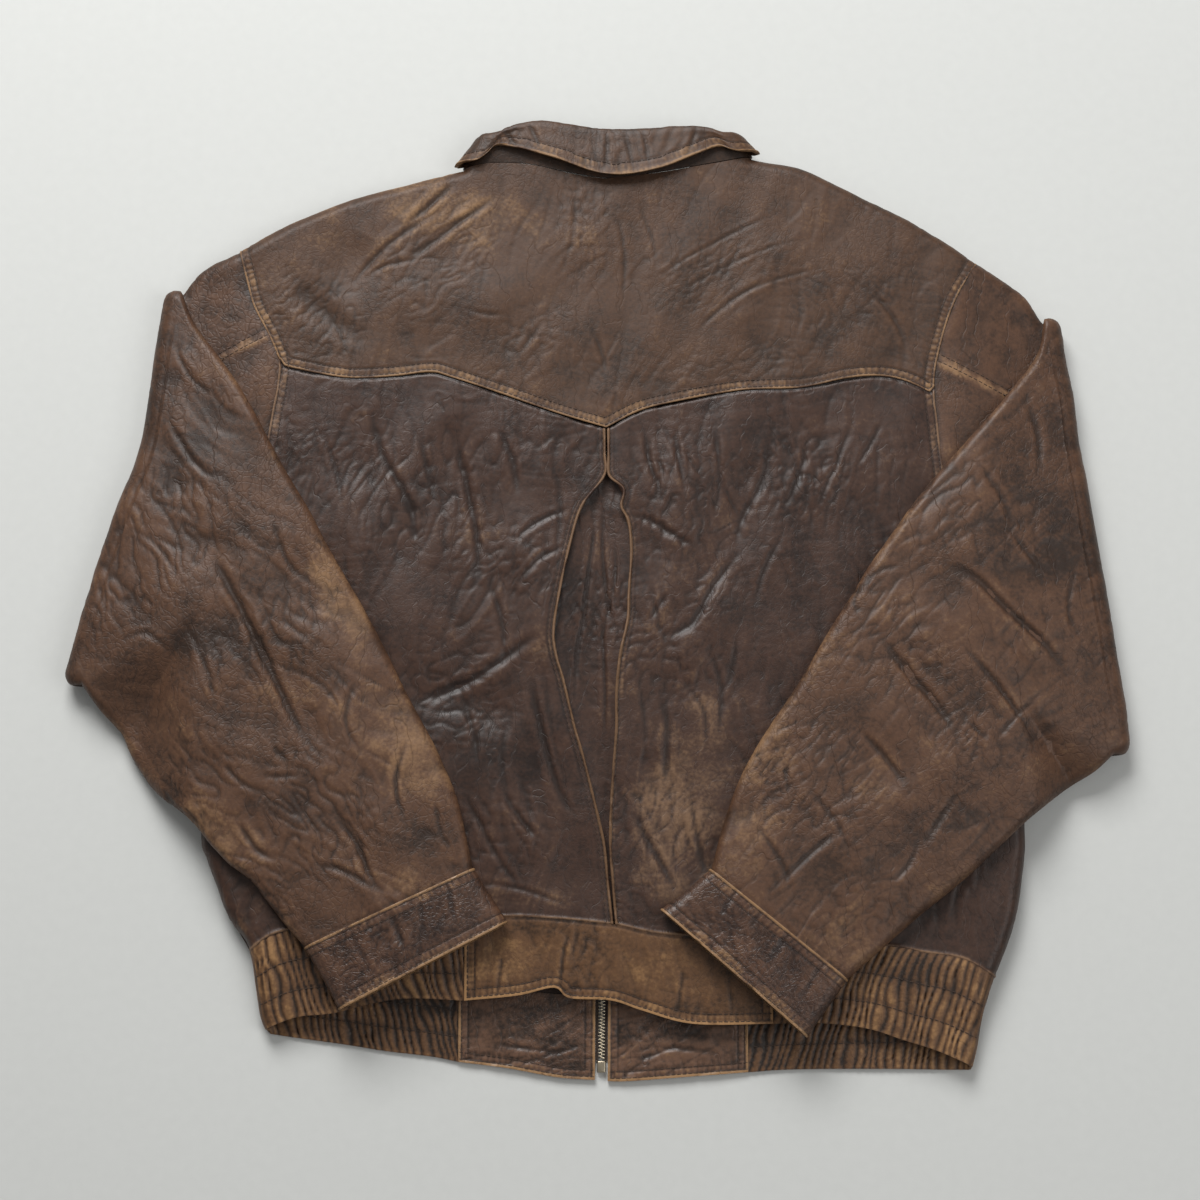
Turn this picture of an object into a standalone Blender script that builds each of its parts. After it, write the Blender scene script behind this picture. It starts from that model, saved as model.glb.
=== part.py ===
"""A worn leather blouson lying face down on a floor, with its sleeves folded across its back.

Sizes are in millimetres, seen from above: x to the jacket's right, y to its collar, z up.
Left and right are the wearer's, which are also left and right when the back is looked at.
Every panel is a wall of leather between two surfaces, and meets its neighbours at open seams.
"""

import bpy
import numpy as np

MM = 0.001

# Leather and seams
WALL = 2.2
CUFF_WALL = 3.2
BAND_WALL = 3.2
COLLAR_WALL = 2.4
SEAM_GAP = 0.36

# Heights of the layers
BODY_HEIGHT = 22.0
FOLD_HEIGHT = 13.0
FOLD_RAMP = 80.0
EDGE_RADIUS = 10.0
EDGE_SHARE = 0.47
EDGE_STEPS = (0.15, 0.5, 1.0)
CREASE_GAP = 0.4
REST_GAP = 2.0
REST_RAMP = 14.0
DRAPE_RAMP = 50.0

# Sleeves
SLEEVE_EDGE = 8.0
SLEEVE_THICKNESS = 13.0
SLEEVE_BULGE = 3.5
SLEEVE_LOFT = 0.3
SLEEVE_SEAM = 0.25
YOKE_SEAM = 0.305
UNDER_SHARES = (0.15, SLEEVE_SEAM, YOKE_SEAM, 0.46, 0.62, 0.8)
OVER_SHARES = (0.17, 0.33, 0.5, 0.67, 0.83)
ARM_STATIONS = (0.0, 0.35, 0.7)
FOLD_ANGLES = (0, 36, 72, 108, 144, 180)
SLEEVE_STATIONS = 13
BOW_STATIONS = 4

# Waistband
HEM_HEIGHT = 16.0
GATHER_PITCH = 6.2
GATHER_HEIGHT = 2.4
GATHER_ROWS = (0.0, 0.33, 0.67, 1.0)
GATHER_SHARES = (0.6, 1.0, 1.0, 0.5)
TAB_WALL = 3.8
TAB_RISE = 0.8

# Zip
ZIP_HALF_GAP = 5.0
TAPE_WIDTH = 2.4
TAPE_WALL = 1.0
BOX_SIZE = (6.5, 9.0, 4.0)
SLIDER_SIZE = (8.4, 15.0, 4.6)

# Outlines of the left half, then of the right half
SHOULDER = {
    "left": [(-112, 358), (-158, 346), (-204, 333), (-252, 313), (-294, 289)],
    "right": [(125, 368), (164, 360), (196, 345), (243, 321), (280, 299), (308, 279)],
}
SLEEVE_HEAD = {
    "left": [(-294, 289), (-317, 279), (-331, 269), (-341, 257)],
    "right": [(308, 279), (328, 266), (345, 253), (361, 232)],
}
ARMHOLE = {
    "left": [(-294, 289), (-288, 265), (-281, 241), (-268, 216), (-260, 195), (-261, 175),
             (-265, 150), (-272, 105), (-288, 45), (-313, -8)],
    "right": [(308, 279), (293, 255), (284, 235), (277, 213), (271, 187), (270, 165),
              (272, 145), (275, 113), (287, 15), (324, -76)],
}
FOLD_OUTLINE = {
    "left": [(-354, 256), (-360, 215), (-366, 165), (-373, 120), (-388, 78), (-402, 35),
             (-412, -5), (-425, -52), (-427, -68)],
    "right": [(374, 232), (379, 195), (384, 163), (389, 118), (397, 66), (407, -2), (414, -54),
              (420, -108), (421, -124)],
}
SIDE = {
    "left": [(-313, -8), (-317, -80), (-316, -183), (-310, -207), (-301, -230), (-291, -254),
             (-275, -280)],
    "right": [(324, -76), (333, -130), (336, -184), (335, -208), (329, -245), (321, -272),
              (309, -300)],
}
BAND_END = {
    "left": [(-275, -280), (-270, -306), (-266, -329), (-262, -340)],
    "right": [(309, -300), (303, -317), (298, -336), (295, -352), (291, -369)],
}
YOKE_LINE = {
    "left": [(-259, 192), (-228, 185), (-200, 181), (-165, 183), (-137, 186), (-121, 182),
             (-85, 170), (-49, 157), (-22, 148), (5, 140)],
    "right": [(269, 168), (246, 179), (225, 183), (200, 181), (161, 173), (113, 171), (59, 161),
              (32, 154), (5, 140)],
}
NECK_LINE = {
    "left": [(-112, 358), (-90, 362), (-60, 361), (-18, 352), (5, 349)],
    "right": [(125, 368), (104, 364), (82, 360), (49, 354), (5, 349)],
}
FRONT_NECK_POINT = (5, 284)
PLEAT_EDGE = {
    "left": [(4.4, 139), (4.6, 118), (4.4, 100), (-14, 75), (-24, 41), (-31, 8), (-36, -25),
             (-34, -45), (-28, -66), (-20, -100), (-12, -128), (-4, -160), (4, -195), (7, -225),
             (10.6, -259)],
    "right": [(5.6, 139), (5.8, 118), (6.4, 100), (18, 89), (16, 75), (22, 62), (24, 37),
              (22, 6), (21, -17), (15, -45), (12, -75), (12, -102), (10, -131), (8, -162),
              (7, -195), (9, -225), (11.8, -259)],
}
WAIST_LINE = {
    "left": [(-275, -280), (-246, -264), (-157, -255), (-74, -253), (-31, -255), (10.6, -259)],
    "right": [(309, -300), (284, -286), (254, -281), (225, -276), (141, -271), (53, -267),
              (11.8, -259)],
}
FRONT_WAIST_LINE = {
    "left": [(-275, -280), (-236, -290), (-102, -306), (-4, -315)],
    "right": [(309, -300), (236, -308), (118, -312), (6, -315)],
}
BACK_HEM = {
    "left": [(-262, -339), (-237, -330), (-208, -327), (-179, -320), (-150, -316), (-106, -318)],
    "right": [(291, -368), (263, -356), (237, -348), (208, -339), (169, -335), (135, -336)],
}
BACK_TAB_HEM = [(-106, -318), (-64, -314), (-36, -308), (-24, -316), (9, -318), (34, -326),
                (73, -336), (135, -336)]
FRONT_HEM = {
    "left": [(-262, -341), (-253, -345), (-201, -352), (-168, -357), (-132, -361), (-111, -365)],
    "right": [(291, -370), (285, -372), (223, -371), (153, -371), (116, -373)],
}
FRONT_TAB_HEM = {
    "left": [(-111, -365), (-72, -370), (-33, -377), (-4, -379)],
    "right": [(116, -373), (63, -377), (22, -380), (6, -380)],
}
SLEEVE_INNER = {
    "left": [(-341, 256), (-330, 229), (-311, 202), (-290, 172), (-269, 135), (-252, 104),
             (-234, 72), (-215, 37), (-189, -6), (-172, -38), (-157, -69), (-140, -100),
             (-126, -128), (-114, -157), (-106, -185), (-99, -216)],
    "right": [(361, 230), (353, 199), (327, 164), (297, 130), (275, 106), (258, 86), (228, 44),
              (197, -3), (161, -62), (122, -123), (100, -170), (87, -217)],
}
SLEEVE_OUTER = {
    "left": [(-414, -66), (-398, -88), (-381, -107), (-369, -131), (-350, -155), (-322, -178),
             (-306, -197), (-290, -213), (-273, -225), (-261, -241), (-244, -262), (-229, -277)],
    "right": [(408, -123), (392, -138), (370, -152), (338, -177), (309, -203), (285, -225),
              (243, -259), (208, -288), (192, -302)],
}
CUFF_END = {"left": [(-73, -259), (-202, -326)], "right": [(48, -249), (160, -347)]}

# Collar: the crest of its roll and its free edge, from the back neck's middle to its side fold
COLLAR_ROLL = {
    "left": [(5, 390), (-22, 393), (-47, 397), (-66, 395), (-80, 390), (-93, 383)],
    "right": [(5, 390), (26, 388), (55, 392), (80, 393), (95, 390), (109, 384)],
}
COLLAR_EDGE = {
    "left": [(5, 350, 32), (-15, 356, 32), (-38, 364, 31), (-66, 372, 30), (-90, 380, 27),
             (-107, 373, 20), (-118, 361, 12)],
    "right": [(5, 350, 32), (20, 350, 32), (38, 351, 32), (58, 359, 31), (82, 369, 30),
              (110, 378, 23), (130, 372, 12)],
}
COLLAR_SIDE = {"left": (-0.78, 0.62), "right": (0.78, 0.62)}
COLLAR_BACK = {"lift": 1.2, "turn": 7.8}
COLLAR_FRONT = {"lift": -5.0, "turn": 6.9}
COLLAR_AT_FOLD = {"lift": 0.0, "turn": 7.4}
COLLAR_FRONT_STAND = 30.0
COLLAR_FRONT_GAP = 10.0
COLLAR_SEAM_GAP = 1.0
COLLAR_FLOOR_GAP = 0.2
COLLAR_CALM = 40.0

# Largest creases: start, end, width and height of each ridge, or of each trough where negative
BODY_FOLDS = [
    ((-215, 120), (-150, -60), 26, 2.2),
    ((-120, 150), (-95, 20), 20, -1.8),
    ((-160, -70), (-60, -95), 18, -2.6),
    ((-60, 60), (-40, -60), 16, 2.0),
    ((-110, -120), (-50, -215), 20, 1.8),
    ((70, 130), (60, -20), 18, 2.0),
    ((120, 120), (105, 30), 16, -1.8),
    ((60, -60), (110, 10), 16, 1.8),
    ((40, -120), (75, -235), 16, -2.0),
    ((-190, 300), (-235, 225), 20, -2.2),
    ((-60, 250), (-190, 240), 24, 1.5),
    ((150, 300), (110, 215), 22, 1.6),
]

SLEEVE_FOLDS = {
    "left": [
        ((-313, 53), (-271, -27), 13, -1.6),
        ((-271, -27), (-210, -132), 13, -2.2),
        ((-230, -10), (-180, -110), 22, 1.8),
        ((-335, -60), (-300, -130), 22, 2.0),
        ((-207, -169), (-156, -241), 13, -1.6),
        ((-250, 100), (-290, 150), 24, 1.5),
    ],
    "right": [
        ((317, -27), (378, -70), 14, -2.0),
        ((190, -98), (239, -154), 14, -1.8),
        ((226, -37), (278, -101), 14, -1.8),
        ((307, -116), (341, -73), 13, -1.6),
        ((250, 60), (320, 20), 24, 1.6),
        ((260, -150), (330, -120), 20, 1.6),
    ],
}

COLOURS = {
    "yoke_leather": (0.085, 0.045, 0.027),
    "body_leather": (0.045, 0.026, 0.019),
    "sleeve_leather": (0.07, 0.04, 0.024),
    "band_leather": (0.095, 0.055, 0.028),
    "zip_tape": (0.03, 0.02, 0.015),
    "zip_metal": (0.55, 0.5, 0.4),
}


def smooth_line(points, per_span=16):
    """A smooth curve through the points (Catmull-Rom), as many short straight steps."""
    p = np.array(points, float)
    ends = np.vstack([2 * p[0] - p[1], p, 2 * p[-1] - p[-2]])
    t = np.linspace(0, 1, per_span, endpoint=False)[:, None]
    spans = [
        0.5 * (2 * b + (c - a) * t + (2 * a - 5 * b + 4 * c - d) * t**2 + (3 * b - a - 3 * c + d) * t**3)
        for a, b, c, d in zip(ends, ends[1:], ends[2:], ends[3:])
    ]
    return np.vstack(spans + [p[-1:]])


def along(line, shares):
    """Points at these shares of a line's length."""
    steps = np.linalg.norm(np.diff(line, axis=0), axis=1)
    length = np.concatenate([[0], np.cumsum(steps)])
    at = np.asarray(shares, float) * length[-1]
    return np.stack([np.interp(at, length, line[:, k]) for k in range(line.shape[1])], axis=-1)


def offset_line(line, distance):
    """The line moved sideways, to the left of its direction where the distance is positive."""
    run = np.gradient(line, axis=0)
    run /= np.linalg.norm(run, axis=1)[:, None]
    return line + distance * np.stack([-run[:, 1], run[:, 0]], axis=1)


def unit(v):
    """Vectors of length one."""
    return v / np.maximum(np.linalg.norm(v, axis=-1, keepdims=True), 1e-12)


def ease(x):
    """A smooth step from 0 to 1."""
    x = np.clip(x, 0, 1)
    return x * x * (3 - 2 * x)


def nearest(xy, lines):
    """The distance to the nearest of some lines, and the unit vector away from it."""
    best = np.full(len(xy), np.inf)
    away = np.zeros((len(xy), 2))
    for line in lines:
        a, run = line[:-1], np.diff(line, axis=0)
        rel = xy[:, None, :] - a[None, :, :]
        share = np.clip((rel * run).sum(-1) / np.maximum((run * run).sum(-1), 1e-9), 0, 1)
        gap = rel - share[..., None] * run
        distance = np.linalg.norm(gap, axis=-1)
        pick = distance.argmin(axis=1)
        rows = np.arange(len(xy))
        closer = distance[rows, pick] < best
        best = np.where(closer, distance[rows, pick], best)
        side = unit(gap[rows, pick])
        # On the line itself there is no direction, so the inner side of the run is taken.
        inner = unit(np.stack([-run[pick, 1], run[pick, 0]], axis=1))
        inner *= np.sign((inner * -xy).sum(1) + 1e-9)[:, None]
        side = np.where(distance[rows, pick][:, None] > 1e-3, side, inner)
        away = np.where(closer[:, None], side, away)
    return best, away


def inside(xy, ring):
    """Which points lie inside a closed outline."""
    x, y = xy[:, 0:1], xy[:, 1:2]
    x0, y0 = ring[:, 0], ring[:, 1]
    x1, y1 = np.roll(x0, -1), np.roll(y0, -1)
    crossing = (y0 > y) != (y1 > y)
    at = x0 + (y - y0) / np.where(y1 == y0, 1e-9, y1 - y0) * (x1 - x0)
    return (crossing & (x < at)).sum(axis=1) % 2 == 1


SIDES = ("left", "right")
INWARD = {"left": 1, "right": -1}
ARM = {s: smooth_line(ARMHOLE[s]) for s in SIDES}
FOLD = {
    s: offset_line(smooth_line(FOLD_OUTLINE[s]), INWARD[s] * (FOLD_HEIGHT + CREASE_GAP / 2)) for s in SIDES
}
def joined(first, second):
    """Two outlines that follow each other as one smooth curve, cut again where they meet."""
    whole = smooth_line(list(first) + list(second)[1:])
    cut = 16 * (len(first) - 1)
    return whole[: cut + 1], whole[cut:]


SHOULDER_LINE = {s: joined(SHOULDER[s], SLEEVE_HEAD[s][:-1] + [tuple(FOLD[s][0])])[0] for s in SIDES}
HEAD_LINE = {s: joined(SHOULDER[s], SLEEVE_HEAD[s][:-1] + [tuple(FOLD[s][0])])[1] for s in SIDES}
SIDE_LINE = {s: joined(SIDE[s], BAND_END[s])[0] for s in SIDES}
END_LINE = {s: joined(SIDE[s], BAND_END[s])[1] for s in SIDES}
TOP_EDGE = {s: np.vstack([SHOULDER_LINE[s], HEAD_LINE[s][1:]]) for s in SIDES}
UNDERARM = {s: np.linspace(SIDE[s][0], FOLD[s][-1], 20) for s in SIDES}
FOLDED_EDGES = [line[s] for s in SIDES for line in (TOP_EDGE, UNDERARM, SIDE_LINE, END_LINE)]
PAST_HEM = 60.0


def lower_outline():
    """The outline of the body and of the sleeves' lower runs, carried on past the hem."""
    half = {}
    for s in SIDES:
        end = END_LINE[s][-1]
        half[s] = np.vstack([TOP_EDGE[s], FOLD[s], UNDERARM[s][::-1], SIDE_LINE[s], END_LINE[s],
                             [(end[0], end[1] - PAST_HEM)]])
    return np.vstack([half["left"], half["right"][::-1]])


LOWER_OUTLINE = lower_outline()


def folds(xy, creases):
    """The rise and fall of a list of creases, each a soft ridge or trough along a straight run."""
    rise = np.zeros(len(xy))
    for start, end, width, height in creases:
        a, run = np.array(start, float), np.subtract(end, start).astype(float)
        share = ((xy - a) @ run) / (run @ run)
        foot = a + np.clip(share, 0, 1)[:, None] * run
        distance = np.linalg.norm(xy - foot, axis=1)
        share = np.clip(share, 0, 1)
        rise += height * np.exp(-((distance / width) ** 2)) * ease(4 * share * (1 - share) + 0.2)
    return rise


def stack_height(xy, creases=()):
    """The height of the lower layers' top, which sinks towards the sleeves' folds."""
    to_fold, _ = nearest(xy, [FOLD[s] for s in SIDES])
    base = FOLD_HEIGHT + (BODY_HEIGHT - FOLD_HEIGHT) * ease(to_fold / FOLD_RAMP)
    return base + folds(xy, creases) if len(creases) else base


def body_surface(xy, on_edge, top=True, creases=(), height=None):
    """Points and outward normals of the body's upper or lower side, round at its folded edges."""
    heights = height if height is not None else (lambda q: stack_height(q, creases))
    rise = heights(xy)
    slope = np.stack([heights(xy + (0.5, 0)) - heights(xy - (0.5, 0)),
                      heights(xy + (0, 0.5)) - heights(xy - (0, 0.5))], axis=1)
    distance, away = nearest(xy, FOLDED_EDGES)
    distance = np.where(on_edge, 0.0, distance)
    turn = 1 - np.clip(distance / EDGE_RADIUS, 0, 1)
    bend = np.sqrt(1 - turn**2)
    seam = EDGE_SHARE * rise
    if top:
        z = seam + (rise - seam) * bend
        flat = -(bend**2)[:, None] * slope - ((rise - seam) * turn / EDGE_RADIUS)[:, None] * away
        normal = np.column_stack([flat, bend])
    else:
        z = seam * (1 - bend)
        normal = np.column_stack([-(seam * turn / EDGE_RADIUS)[:, None] * away, -bend])
    return np.column_stack([xy, z]), unit(normal)


def sleeve_rest(xy):
    """The height on which a folded sleeve lies: the body and its own lower run, or the floor."""
    to_fold, _ = nearest(xy, [FOLD[s] for s in SIDES])
    gap = CREASE_GAP + (REST_GAP - CREASE_GAP) * ease(to_fold / REST_RAMP)
    outside, _ = nearest(xy, [LOWER_OUTLINE])
    outside = np.where(inside(xy, LOWER_OUTLINE), 0.0, outside)
    return CREASE_GAP + (stack_height(xy) + gap - CREASE_GAP) * ease(1 - outside / DRAPE_RAMP)


def patch(bottom, top, left, right):
    """A grid of plan points filled in between four edges (Coons)."""
    def shares(first, second):
        steps = np.linalg.norm(np.diff(first, axis=0), axis=1)
        steps = steps + np.linalg.norm(np.diff(second, axis=0), axis=1)
        return np.concatenate([[0], np.cumsum(steps)]) / steps.sum()

    s = shares(bottom, top)[None, :, None]
    t = shares(left, right)[:, None, None]
    return (
        (1 - t) * bottom[None] + t * top[None] + (1 - s) * left[:, None] + s * right[:, None]
        - (1 - s) * (1 - t) * bottom[0] - s * (1 - t) * bottom[-1] - (1 - s) * t * top[0] - s * t * top[-1]
    )


def grid_normals(points, ring=False):
    """Normals of a grid from the mean directions of the steps on both sides of each point."""
    def run(axis, closed):
        steps = unit(np.diff(points, axis=axis))
        first, last = np.take(steps, [0], axis), np.take(steps, [-1], axis)
        if closed:
            first = last = unit(np.take(points, [0], axis) - np.take(points, [-1], axis))
        ahead = np.concatenate([steps, last], axis)
        behind = np.concatenate([first, steps], axis)
        return unit(ahead + behind)

    return unit(np.cross(run(1, ring), run(0, False)))


def pulled_in(points, normals, sides, ring=False):
    """A grid with each border drawn back by half a seam's gap, along the surface."""
    moved = points.copy()
    half = SEAM_GAP / 2
    if "low" in sides:
        moved[0] += half * unit(points[1] - points[0])
    if "high" in sides:
        moved[-1] += half * unit(points[-2] - points[-1])
    if not ring and "left" in sides:
        moved[:, 0] += half * unit(points[:, 1] - points[:, 0])
    if not ring and "right" in sides:
        moved[:, -1] += half * unit(points[:, -2] - points[:, -1])
    return moved, normals


def material(name):
    """The one material of this name, made when it is first asked for."""
    found = bpy.data.materials.get(name)
    if found:
        return found
    made = bpy.data.materials.new(name)
    made.use_nodes = True
    shader = made.node_tree.nodes["Principled BSDF"]
    shader.inputs["Base Color"].default_value = (*COLOURS[name], 1)
    shader.inputs["Roughness"].default_value = 0.25 if name == "zip_metal" else 0.5
    shader.inputs["Metallic"].default_value = 1.0 if name == "zip_metal" else 0.0
    return made


def add_object(name, vertices, faces, finish):
    """A mesh object from points in millimetres, with its faces turned outwards."""
    halves = [part for f in faces for part in (f[:3], (f[0], f[2], f[3]))]
    if np.linalg.det(vertices[np.array(halves)]).sum() < 0:
        faces = [f[::-1] for f in faces]
    mesh = bpy.data.meshes.new(name)
    mesh.from_pydata((vertices * MM).tolist(), [], [tuple(int(i) for i in f) for f in faces])
    mesh.update()
    mesh.shade_smooth()
    mesh.set_sharp_from_angle(angle=np.radians(50))
    mesh.materials.append(material(finish))
    made = bpy.data.objects.new(name, mesh)
    bpy.context.scene.collection.objects.link(made)
    return made


def wall(name, outer, normals, thickness, finish, ring=False, out_relief=None, in_relief=None,
         borders="low high left right"):
    """A closed wall of leather under a grid of outer points. A ring's last column joins its first."""
    outer, normals = pulled_in(outer, normals, borders.split(), ring)
    inner = outer - normals * thickness
    if in_relief is not None:
        inner = inner - normals * in_relief[..., None]
    if out_relief is not None:
        outer = outer + normals * out_relief[..., None]
    rows, columns = outer.shape[:2]
    index = np.arange(rows * columns).reshape(rows, columns)
    under = index + rows * columns
    last = columns if ring else columns - 1
    faces = []
    for i in range(rows - 1):
        for j in range(last):
            k = (j + 1) % columns
            faces.append((index[i, j], index[i, k], index[i + 1, k], index[i + 1, j]))
            faces.append((under[i, j], under[i + 1, j], under[i + 1, k], under[i, k]))
    for j in range(last):
        k = (j + 1) % columns
        faces.append((index[0, j], under[0, j], under[0, k], index[0, k]))
        faces.append((index[-1, j], index[-1, k], under[-1, k], under[-1, j]))
    if not ring:
        for i in range(rows - 1):
            faces.append((index[i, 0], index[i + 1, 0], under[i + 1, 0], under[i, 0]))
            faces.append((index[i, -1], under[i, -1], under[i + 1, -1], index[i + 1, -1]))
    vertices = np.vstack([outer.reshape(-1, 3), inner.reshape(-1, 3)])
    return add_object(name, vertices, faces, finish)


def block(name, centre, size, finish, bevel=0.5):
    """A small metal piece: a box with bevelled edges."""
    low, high = np.subtract(centre, np.divide(size, 2)), np.add(centre, np.divide(size, 2))
    corners = np.array([
        (x, y, z) for z in (low[2], high[2]) for y in (low[1], high[1]) for x in (low[0], high[0])
    ])
    faces = [(0, 2, 3, 1), (4, 5, 7, 6), (0, 1, 5, 4), (2, 6, 7, 3), (0, 4, 6, 2), (1, 3, 7, 5)]
    made = add_object(name, corners, faces, finish)
    edge = made.modifiers.new("edges", "BEVEL")
    edge.width = bevel * MM
    edge.segments = 1
    return made


def edge_shares(width, radius):
    """Shares of a width at which a rounded edge has its points."""
    return np.array(EDGE_STEPS) * radius / width


def arm_shares(side, over):
    """Shares along an armhole, from shoulder to underarm, where rows and sleeve rings meet it."""
    length = np.linalg.norm(np.diff(ARM[side], axis=0), axis=1).sum()
    near = edge_shares(length, EDGE_RADIUS)
    middle = OVER_SHARES if over else UNDER_SHARES
    return np.concatenate([[0], near, middle, 1 - near[::-1], [1]])


NECK_STEPS = np.array([0.0, 1.5, 5.0, 10.0, 26.0, 50.0, 80.0])
SHOULDER_SHARES = np.array([1.0, 0.95, 0.82, 0.66, 0.5, 0.33, 0.16])


def cross_shares(line):
    """Shares across a panel, with points close together at its folded side, where it is round."""
    length = np.linalg.norm(np.diff(line, axis=0), axis=1).sum()
    near = edge_shares(length, EDGE_RADIUS)
    return np.concatenate([[0], near, np.linspace(near[-1], 1, BACK_COLUMNS - len(near))[1:]])


def neck_shares(side):
    """Shares of the back neck line, from the shoulder point to the middle."""
    length = np.linalg.norm(np.diff(smooth_line(NECK_LINE[side]), axis=0), axis=1).sum()
    return np.concatenate([NECK_STEPS / length, [1.0]])


def back_top_points(side):
    """The yoke's upper edge on one side: along the shoulder, then along the back neck."""
    shoulder = along(SHOULDER_LINE[side], SHOULDER_SHARES)
    return np.vstack([shoulder, along(smooth_line(NECK_LINE[side]), neck_shares(side))])


def front_neck_points(side):
    """The front neck line on one side, from the shoulder point down to the zip."""
    start = np.array(SHOULDER[side][0], float)
    end = np.array([zip_x(FRONT_NECK_POINT[1]) + zip_sign(side) * ZIP_HALF_GAP, FRONT_NECK_POINT[1]])
    share = np.concatenate([NECK_STEPS / abs(end[0] - start[0]), [1.0]])
    drop = (1 - np.cos(np.pi * share)) / 2
    return np.column_stack([start[0] + (end[0] - start[0]) * share, start[1] + (end[1] - start[1]) * drop])


def zip_x(y):
    """The zip's middle line, from the hem to the neck."""
    hem, neck = (1.0, -378.0), (5.0, 284.0)
    return hem[0] + (neck[0] - hem[0]) * (y - hem[1]) / (neck[1] - hem[1])


def zip_sign(side):
    """The direction from the zip to a front."""
    return -1 if side == "left" else 1


BACK_COLUMNS = len(SHOULDER_SHARES) + len(NECK_STEPS) + 1
SIDE_SHARES = np.array([1.0, 0.82, 0.64, 0.46, 0.3, 0.15])


def waist_points(lines, side):
    """Points of a waist seam on one side, from the folded side to the middle."""
    line = smooth_line(lines[side])
    return along(line, cross_shares(line))


def yoke_seam_points(side):
    """Points of the yoke seam on one side, from the armhole to the point over the pleat."""
    line = smooth_line(YOKE_LINE[side])
    line[0] = along(ARM[side], [YOKE_SEAM])[0]
    return along(line, cross_shares(line))


def make_yoke():
    """The back yoke: one panel from armhole to armhole, under the collar."""
    bottom = np.vstack([yoke_seam_points("left"), yoke_seam_points("right")[::-1][1:]])
    top = np.vstack([back_top_points("left"), back_top_points("right")[::-1][1:]])
    shares = {s: arm_shares(s, False) for s in SIDES}
    edges = {s: along(ARM[s], shares[s][shares[s] <= YOKE_SEAM + 1e-6][::-1]) for s in SIDES}
    plan = patch(bottom, top, edges["left"], edges["right"])
    on_edge = np.zeros(plan.shape[:2], bool)
    on_edge[-1, : len(SHOULDER_SHARES) + 1] = True
    on_edge[-1, -len(SHOULDER_SHARES) - 1 :] = True
    points, normals = body_surface(plan.reshape(-1, 2), on_edge.ravel(), creases=BODY_FOLDS)
    shape = (*plan.shape[:2], 3)
    wall("back_yoke", points.reshape(shape), normals.reshape(shape), WALL, "yoke_leather")


def back_panel_plan(side):
    """The plan grid of one lower back panel, and which of its points are on the folded side."""
    shares = arm_shares(side, False)
    arm = along(ARM[side], shares[shares >= YOKE_SEAM - 1e-6][::-1])
    edge = np.vstack([along(SIDE_LINE[side], SIDE_SHARES), arm])
    middle = along(smooth_line(PLEAT_EDGE[side]), 1 - row_shares(edge))
    bottom = waist_points(WAIST_LINE, side)
    plan = patch(bottom, yoke_seam_points(side), edge, middle)
    on_edge = np.zeros(plan.shape[:2], bool)
    on_edge[: len(SIDE_SHARES) + 1, 0] = True
    return plan, on_edge


def row_shares(edge):
    """Shares of an edge's length at its points."""
    steps = np.linalg.norm(np.diff(edge, axis=0), axis=1)
    return np.concatenate([[0], np.cumsum(steps)]) / steps.sum()


def make_back_panels():
    """The two lower back panels, from the yoke to the waistband."""
    for side in SIDES:
        plan, on_edge = back_panel_plan(side)
        points, normals = body_surface(plan.reshape(-1, 2), on_edge.ravel(), creases=BODY_FOLDS)
        shape = (*plan.shape[:2], 3)
        wall(f"back_{side}", points.reshape(shape), normals.reshape(shape), WALL, "body_leather")


PLEAT_LAP = 11.0
PLEAT_CLEARANCE = 1.2
PLEAT_DEPTH = 3.5
PLEAT_ROWS = 18


def make_pleat_insert():
    """The strip set in behind the opening of the back's middle pleat."""
    shares = np.linspace(0.05, 0.99, PLEAT_ROWS)
    left = along(smooth_line(PLEAT_EDGE["left"]), shares)
    right = along(smooth_line(PLEAT_EDGE["right"]), shares)
    y = (left[:, 1] + right[:, 1]) / 2
    left[:, 0], right[:, 0] = left[:, 0] - PLEAT_LAP, right[:, 0] + PLEAT_LAP
    across = np.linspace(0, 1, 6)[None, :, None]
    plan = left[:, None] * (1 - across) + right[:, None] * across
    plan[..., 1] = y[:, None]
    flat = plan.reshape(-1, 2)
    points, normals = body_surface(flat, np.zeros(len(flat), bool), creases=BODY_FOLDS)
    sink = WALL + PLEAT_CLEARANCE + PLEAT_DEPTH * np.sin(np.pi * np.tile(across.ravel(), PLEAT_ROWS)) ** 2
    points[:, 2] -= sink
    shape = (*plan.shape[:2], 3)
    wall("pleat_insert", points.reshape(shape), normals.reshape(shape), WALL, "body_leather")


FRONT_SIDE_SHARES = SIDE_SHARES


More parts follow.
